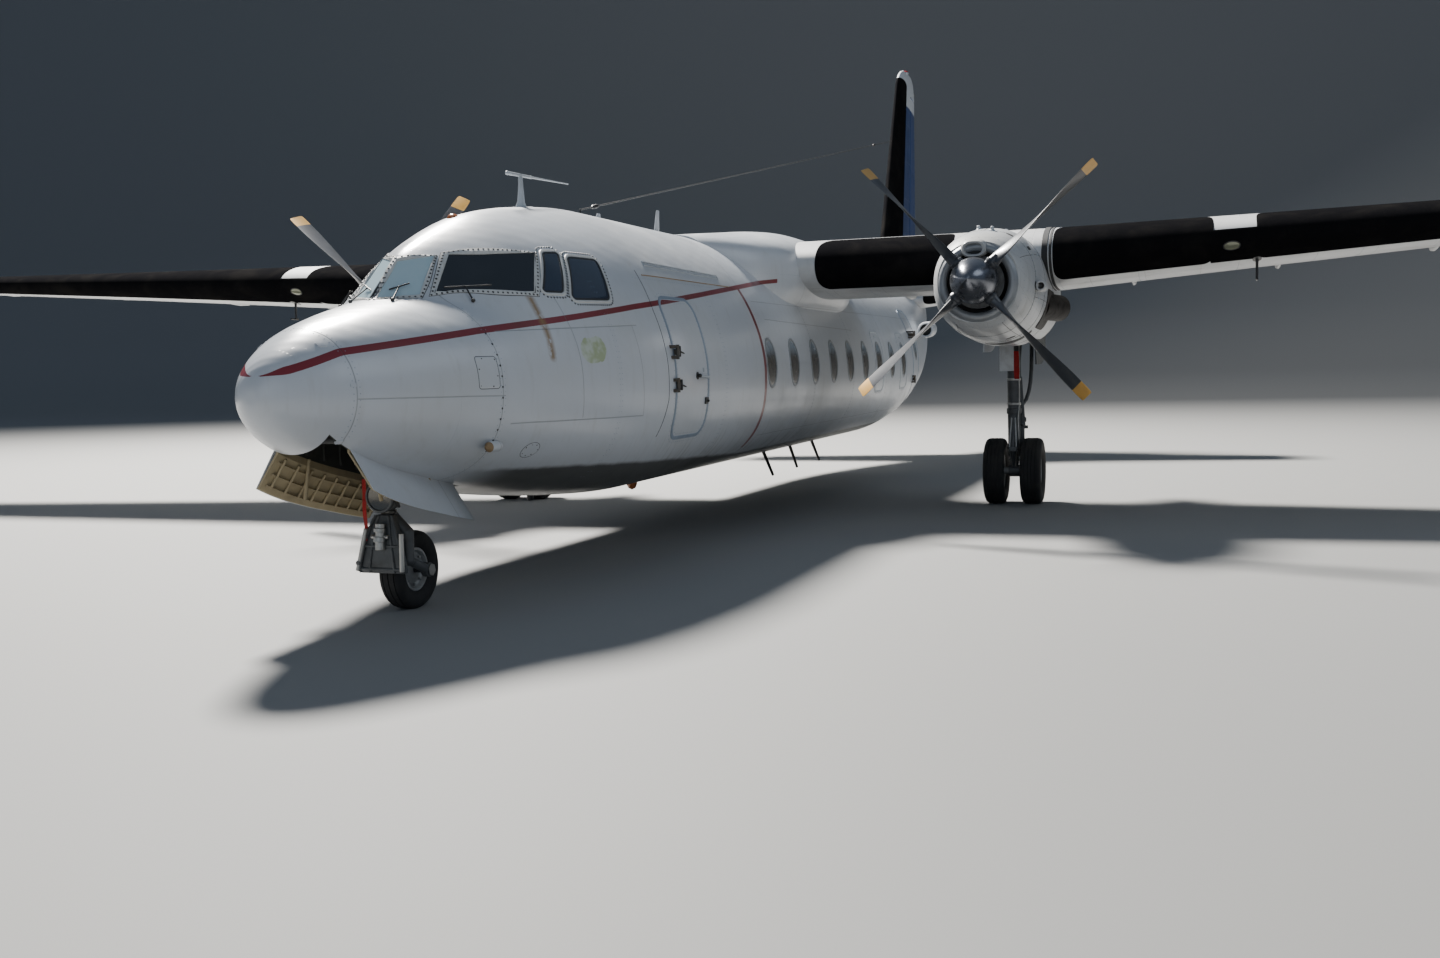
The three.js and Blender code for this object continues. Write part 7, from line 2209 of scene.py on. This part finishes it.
pipes = [(x + 0.075, aft_axle - 0.07, 2.40), (x + 0.072, aft_axle - 0.07, 1.30),
         (x + 0.06, aft_axle - 0.10, 1.12), (x + 0.07, aft_axle - 0.11, 0.85),
         (x + 0.055, aft_axle - 0.03, 0.56)]
links += bent_rod(pipes, 0.007, 0.008, 10)
fit_pair(together("links", links), "main_torque_links", "airframe", worn_metal)
red_cloth, tree, shader = finish_material("red_cloth", 0.8)
level, marks = with_grime(tree, 12.0, 0.8)
weave = times(tree, sums(tree, "SINE", times(tree, level.outputs["Up"], 2600)),
             sums(tree, "SINE", times(tree, level.outputs["Out"], 2600)))
tree.links.new(mixed(tree, marks.outputs["Patches"], (0.52, 0.022, 0.022), (0.33, 0.02, 0.02)),
               shader.inputs["Base Color"])
raised(tree, shader, plus(tree, weave, noise(tree, level.outputs["Place"], 40, 3)), 0.0006)


def hung_strip(name, top, width, length, across_by, body, twist=0.5, waves=1.6):
    """A strip of webbing that hangs from its upper edge, with a gentle twist and a few soft folds."""
    top = Vector(top)
    rows, columns, thick = 30, 5, 0.0016
    faces, points = [], []
    for back in (0, 1):
        for i in range(rows + 1):
            share = i / rows
            angle = twist * share * math.sin(waves * share * math.pi)
            for j in range(columns + 1):
                u = (j / columns - 0.5) * width
                sway = 0.012 * math.sin(waves * 2 * math.pi * share) * share
                way = Vector((math.cos(angle), math.sin(angle), 0))
                points.append(top + way * u + Vector((across_by * share, sway, -length * share))
                              + Vector((-way.y, way.x, 0)) * thick * (back - 0.5))
    size = (rows + 1) * (columns + 1)
    for i in range(rows):
        for j in range(columns):
            a = i * (columns + 1) + j
            faces += [(a, a + 1, a + columns + 2, a + columns + 1),
                      (size + a, size + a + columns + 1, size + a + columns + 2, size + a + 1)]
    edge = list(range(columns + 1)) + [(i + 1) * (columns + 1) + columns for i in range(rows)]
    edge += [rows * (columns + 1) + j for j in range(columns - 1, -1, -1)]
    edge += [i * (columns + 1) for i in range(rows - 1, 0, -1)]
    for a, b in zip(edge, edge[1:] + edge[:1]):
        faces.append((a, size + a, size + b, b))
    obj = mesh_object(name, points, faces)
    outward(obj)
    fit(obj, body, red_cloth, crease=60)
    return obj


for hand, way in (("port", 1), ("starboard", -1)):
    streamer = hung_strip(f"main_gear_streamer_{hand}", (way * 3.642, 10.60, 2.0), 0.075, 0.36, way * 0.012,
                          "airframe")
    hook = rod((way * 3.60, 10.66, 2.01), (way * 3.66, 10.60, 1.998), 0.004, segments=8)
    fit(hook, "airframe", dark_steel_and_shade)
    hook.name = f"main_gear_streamer_hook_{hand}"

bay_dark = weathered("bay_dark", (0.055, 0.058, 0.052), (0.025, 0.024, 0.022), 0.7, 0.0, 4.0, 0.8)
LINING = {"gap": 0.002, "wall": 0.012}


def bay_lining(name, bay, middle, inner, floor_up, rib_places, rib_half, rib_deep):
    """A gear bay's lining: a thin box trimmed to the skin, with ribs up its walls and across its roof."""
    half, roof_up = bay["half"], bay["roof"]

    def box(by, low_up, name="cutter"):
        return box_cutter((middle - half + by, bay["from"] + by, low_up),
                          (middle + half - by, bay["to"] - by, roof_up - by), name)

    shell = box(LINING["gap"], floor_up, "shell")
    carve(shell, [box(LINING["wall"], floor_up - 0.1)])
    carve(shell, [inner], operation="INTERSECT")
    pieces = [shell]
    for aft, low in rib_places:
        before, after = aft - rib_half, aft + rib_half
        for way in (1, -1):
            wall = middle + way * (half - 0.011)
            pieces.append(block((wall, before, low), (wall - way * rib_deep, after, roof_up - 0.014), 0.003))
        pieces.append(block((middle - half + 0.014, before, roof_up - 0.014 - rib_deep),
                            (middle + half - 0.014, after, roof_up - 0.012), 0.003))
    return together(name, pieces)


rib_places = []
for k in range(7):
    aft = mix(MAIN_BAY["from"] + 0.15, MAIN_BAY["to"] - 0.15, k / 6)
    rib_places.append((aft, max(nacelle_curves[3](aft) + 0.10, 2.12) + 0.05))
inner = loft("main_bay_lining", nacelle_length(MAIN_BAY["from"] - 0.05, MAIN_BAY["to"] + 0.05, 24, -0.006))
lining = bay_lining("main_bay_lining", MAIN_BAY, x, inner, 1.9, rib_places, 0.010, 0.022)
fit_pair(lining, "main_bay_lining", "airframe", bay_dark)

# Nose gear: one wheel in a cast fork under a steered leg, with a drag strut ahead. Two doors, tan with
# primer inside, hang open on the bay's edges.
nose_axle = Vector((0, NOSE["aft"], above_ground(NOSE["aft"], NOSE["radius"])))
leg_aft = NOSE["aft"] - 0.24
rim = together("nose_rim", wheel_rim("rim", nose_axle, NOSE["radius"], NOSE["width"], NOSE["axle"] + 0.001))
fit(rim, "nose_wheel", rim_paint)
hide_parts("nose_wheel")
piece = tyre("nose_tyre_rubber", nose_axle, NOSE["radius"], NOSE["width"], 3)
fit(piece, "nose_wheel", rubber)
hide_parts("nose_tyre")
half = BAY["half"] - 0.0005
sleeve = [(0.0, 0.0475), (0.0, 0.068), (0.006, 0.074), (0.12, 0.074), (0.13, 0.080), (0.17, 0.080),
          (0.18, 0.074), (0.495, 0.074), (0.495, 0.0), (0.295, 0.0), (0.295, 0.0475)]
pieces = [turned("sleeve", sleeve, (0, leg_aft, 0.905), (0, leg_aft, 2), 40),
          rod((-half, leg_aft, 1.33), (half, leg_aft, 1.33), 0.042, segments=28),
          rod((0, leg_aft - 0.06, 1.03), (0, 1.02, 1.45), 0.028),
          rod((-half, 1.02, 1.45), (half, 1.02, 1.45), 0.026)]
leg = together("nose_leg", pieces)
fit(leg, "airframe", gear_paint_and_shade)
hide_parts("nose_gear_leg")
pieces = [rod((0, leg_aft, 0.83), (0, leg_aft, 1.18), 0.045, segments=32),
          rod((-0.06, leg_aft, 0.83), (0.06, leg_aft, 0.83), 0.046)]
for way in (-1, 1):
    shoulder, elbow = Vector((way * 0.16, leg_aft - 0.01, 0.72)), Vector((way * 0.16, leg_aft - 0.02, 0.51))
    foot = Vector((way * 0.16, NOSE["aft"], nose_axle.z))
    pieces += [rod((way * 0.04, leg_aft, 0.83), shoulder, 0.044), rod(shoulder, elbow, 0.044),
               rod(elbow, foot, 0.036)]
    pieces += [ball(shoulder, 0.046), ball(elbow, 0.046)]
    pieces.append(turned("eye", [(-0.03, 0.027), (-0.03, 0.05), (-0.024, 0.056), (0.024, 0.056), (0.03, 0.05),
                                 (0.03, 0.027)], foot, foot + Vector((1, 0, 0)), 32, loop=True))
# the yoke's front is a casting that widens downwards, with webs on its face: up, half width, front, back
YOKE = [(0.862, 0.060, 1.470, 1.520), (0.855, 0.078, 1.460, 1.525), (0.78, 0.112, 1.440, 1.510),
        (0.70, 0.138, 1.424, 1.490), (0.60, 0.168, 1.414, 1.468), (0.52, 0.192, 1.408, 1.456),
        (0.445, 0.206, 1.406, 1.450), (0.425, 0.202, 1.410, 1.446), (0.42, 0.190, 1.418, 1.440)]
yoke = []
for up, half_w, front, back in YOKE:
    middle, deep = (front + back) / 2, (back - front) / 2
    yoke.append([(half_w * bulged(math.cos(t), 0.35), middle + deep * bulged(math.sin(t), 0.5), up)
                 for t in [math.tau * (k + 0.5) / 48 for k in range(48)]])
pieces.append(loft("yoke", yoke, lengthways=[row[0] for row in YOKE]))
for share in (-0.93, -0.52, 0.52, 0.93):
    for (up, half_w, front, _), (low, low_half, low_front, _) in zip(YOKE[1:7], YOKE[2:8]):
        pieces.append(rod((share * half_w, front - 0.002, up), (share * low_half, low_front - 0.002, low),
                          0.011, segments=10))
pieces += [rod((-0.20, 1.408, 0.452), (0.20, 1.408, 0.452), 0.014, segments=14),
           rod((-0.155, 1.412, 0.628), (0.155, 1.412, 0.628), 0.010, segments=12),
           rod((-0.19, 1.402, 0.50), (-0.19, 1.372, 0.50), 0.020, segments=18),
           rod((0.19, 1.402, 0.50), (0.19, 1.372, 0.50), 0.020, segments=18)]
pieces.append(rod(nose_axle - Vector((0.2, 0, 0)), nose_axle + Vector((0.2, 0, 0)), NOSE["axle"]))
fork = together("nose_fork", pieces)
fit(fork, "nose_gear_fork", gear_paint_and_shade)
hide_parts("nose_gear_fork")
primer = weathered("door_primer", (0.40, 0.33, 0.20), (0.25, 0.20, 0.12), 0.6, 0.0, 5.0, 0.7)
DOOR_TILT = 35
LEAN = math.sin(math.radians(DOOR_TILT)), math.cos(math.radians(DOOR_TILT))


def nose_edge(aft):
    half, _, wide, bottom, _, lower = section(float(aft))
    return edge_over_bay(BAY, half, wide, bottom, lower)


rings = [[(a, aft, u) for a, u in door_profile(BAY, 0.016, nose_edge(aft), DOOR_TILT, 0.31)]
         for aft in np.linspace(0.62, 1.96, 28)]
fit_pair(loft("nose_door", rings), "nose_door", "airframe", primer, ["nose_gear_door"])

# Nose gear fittings: the landing lamp on the leg, hoses and pipes, the steering jack, a red strip, ribs
# and hinge arms inside the doors, and the bay's dark lining.
lamp_spot = Vector((0.0, leg_aft - 0.12, 1.0))
shade = [(0.0, 0.098), (-0.012, 0.112), (-0.010, 0.118), (0.01, 0.120), (0.05, 0.112), (0.085, 0.085),
         (0.105, 0.045), (0.11, 0.0), (0.095, 0.0), (0.075, 0.045), (0.04, 0.09), (0.012, 0.098)]
rim = [(-0.016, 0.104), (-0.016, 0.116), (-0.008, 0.122), (0.006, 0.122), (0.006, 0.116), (-0.006, 0.104)]
mirror = [(0.004, 0), (0.002, 0.05), (-0.004, 0.098), (0.008, 0.0985), (0.03, 0.06), (0.04, 0.0)]
lamp_back = lamp_spot + Vector((0, 1, 0))
lamp_body = [turned("shade", shade, lamp_spot, lamp_back, 56),
             rod(lamp_spot + Vector((0, 0.08, 0)), (0, leg_aft, 1.02), 0.028, segments=20),
             turned("rim", rim, lamp_spot, lamp_back, 56, loop=True)]
fit(together("nose_lamp", lamp_body), "airframe", gear_paint_and_shade)
reflector = turned("nose_lamp_face", mirror, lamp_spot, lamp_back, 48)
lamp_glass = weathered("lamp_face", (0.17, 0.16, 0.14), (0.07, 0.065, 0.055), 0.12, 0.7, 14.0, 0.6, 0.001,
                       0.6, 25.0)
fit(reflector, "airframe", lamp_glass)
pieces = []
for path in ([(0.10, leg_aft - 0.02, 1.33), (0.115, leg_aft - 0.03, 1.15), (0.10, leg_aft - 0.05, 0.98),
              (0.105, leg_aft - 0.03, 0.92)],
             [(-0.09, leg_aft + 0.02, 1.33), (-0.12, leg_aft + 0.05, 1.16), (-0.10, leg_aft + 0.03, 0.98),
              (-0.085, leg_aft, 0.93)]):
    pieces += bent_rod(path, 0.010, 0.0105, 12)
pieces += [rod((-0.14, leg_aft + 0.09, 1.00), (0.14, leg_aft + 0.09, 1.00), 0.032, segments=24),
           rod((-0.19, leg_aft + 0.09, 1.00), (0.19, leg_aft + 0.09, 1.00), 0.013, segments=16),
           rod((0, leg_aft + 0.05, 1.0), (0, leg_aft + 0.10, 1.0), 0.03, segments=16)]
fit(together("nose_hoses", pieces), "airframe", dark_steel_and_shade)
pieces = [rod((-0.20, NOSE["aft"], nose_axle.z), (-0.206, NOSE["aft"], nose_axle.z), 0.05, segments=6),
          rod((0.20, NOSE["aft"], nose_axle.z), (0.206, NOSE["aft"], nose_axle.z), 0.05, segments=6),
          rod((0.192, 1.376, 0.44), (0.192, 1.384, 0.73), 0.019, segments=18),
          rod((-0.200, 1.386, 0.44), (-0.128, 1.412, 0.76), 0.018, segments=16),
          rod((0, 1.392, 0.60), (0, 1.412, 0.80), 0.038, segments=28),
          rod((0, 1.386, 0.66), (0, 1.392, 0.70), 0.046, segments=28),
          rod((0, 1.394, 0.735), (0, 1.398, 0.765), 0.045, segments=28),
          rod((-0.075, 1.398, 0.70), (0.075, 1.398, 0.70), 0.016, segments=16),
          turned("gaiter", [(0, 0.046), (0, 0.056), (0.008, 0.06), (0.016, 0.054), (0.024, 0.06),
                            (0.032, 0.054), (0.04, 0.06), (0.048, 0.052), (0.05, 0.046)], (0, leg_aft, 0.842),
                 (0, leg_aft, 2), 36, loop=True)]
fit(together("fork_fittings", pieces), "nose_gear_fork", worn_metal)
streamer = hung_strip("nose_gear_streamer", (-0.135, 1.42, 1.135), 0.032, 0.47, -0.004, "airframe", 0.3)
hook = rod((-0.06, leg_aft, 1.15), (-0.14, 1.42, 1.133), 0.005, segments=8)
fit(hook, "airframe", dark_steel_and_shade)
hook.name = "nose_gear_streamer_hook"
ribs = []
lean_out, lean_down = LEAN
for k in range(9):
    aft = mix(0.70, 1.90, k / 8)
    start = Vector((BAY["half"] - 0.022, aft, nose_edge(aft) - 0.04))
    ribs.append(rod(start, start + Vector((lean_out, 0, -lean_down)) * 0.25, 0.010, segments=10))
stringer = [(-0.008, -0.006), (-0.008, 0.010), (0.008, 0.010), (0.008, -0.006)]
for down_by in (0.06, 0.16, 0.255):
    path = []
    for k in range(20):
        aft = mix(0.66, 1.93, k / 19)
        on_rim = Vector((BAY["half"] - 0.020, aft, nose_edge(aft) - 0.03))
        path.append(on_rim + Vector((lean_out, 0, -lean_down)) * down_by)
    ribs.append(ribbon("stringer", path, [Vector((-lean_down, 0, -lean_out))] * 20, stringer, False))
for aft in (0.95, 1.62):
    ribs.append(rod((BAY["half"] - 0.03, aft, 1.32), (BAY["half"] + 0.02, aft, 1.02), 0.014, segments=12))
fit_pair(together("ribs", ribs), "nose_door_ribs", "airframe", primer)
SHEET, LEAF = 0.004, 0.312
far = BAY["half"] + 0.0008
skin = []
for aft in np.linspace(0.615, 1.965, 28):
    edge = nose_edge(aft)
    tip_x, tip_up = far + lean_out * LEAF, edge - 0.024 - lean_down * LEAF
    skin.append([(a, aft, u) for a, u in (
        (far, edge + 0.010), (far + SHEET * lean_down, edge + 0.008 + SHEET * lean_out),
        (tip_x + SHEET * lean_down, tip_up + SHEET * lean_out), (tip_x, tip_up))])
fit_pair(loft("door_skin", skin), "nose_door_skin", "airframe", white_paint)
rib_places = [(aft, nose_edge(aft) + 0.06) for aft in [mix(0.55, 1.95, k / 7) for k in range(8)]]
lining = bay_lining("nose_bay_lining", BAY, 0, skin_length("inner", 0.35, 2.12, 40, 0.006), 0.8, rib_places,
                    0.008, 0.018)
fit(lining, "airframe", bay_dark)
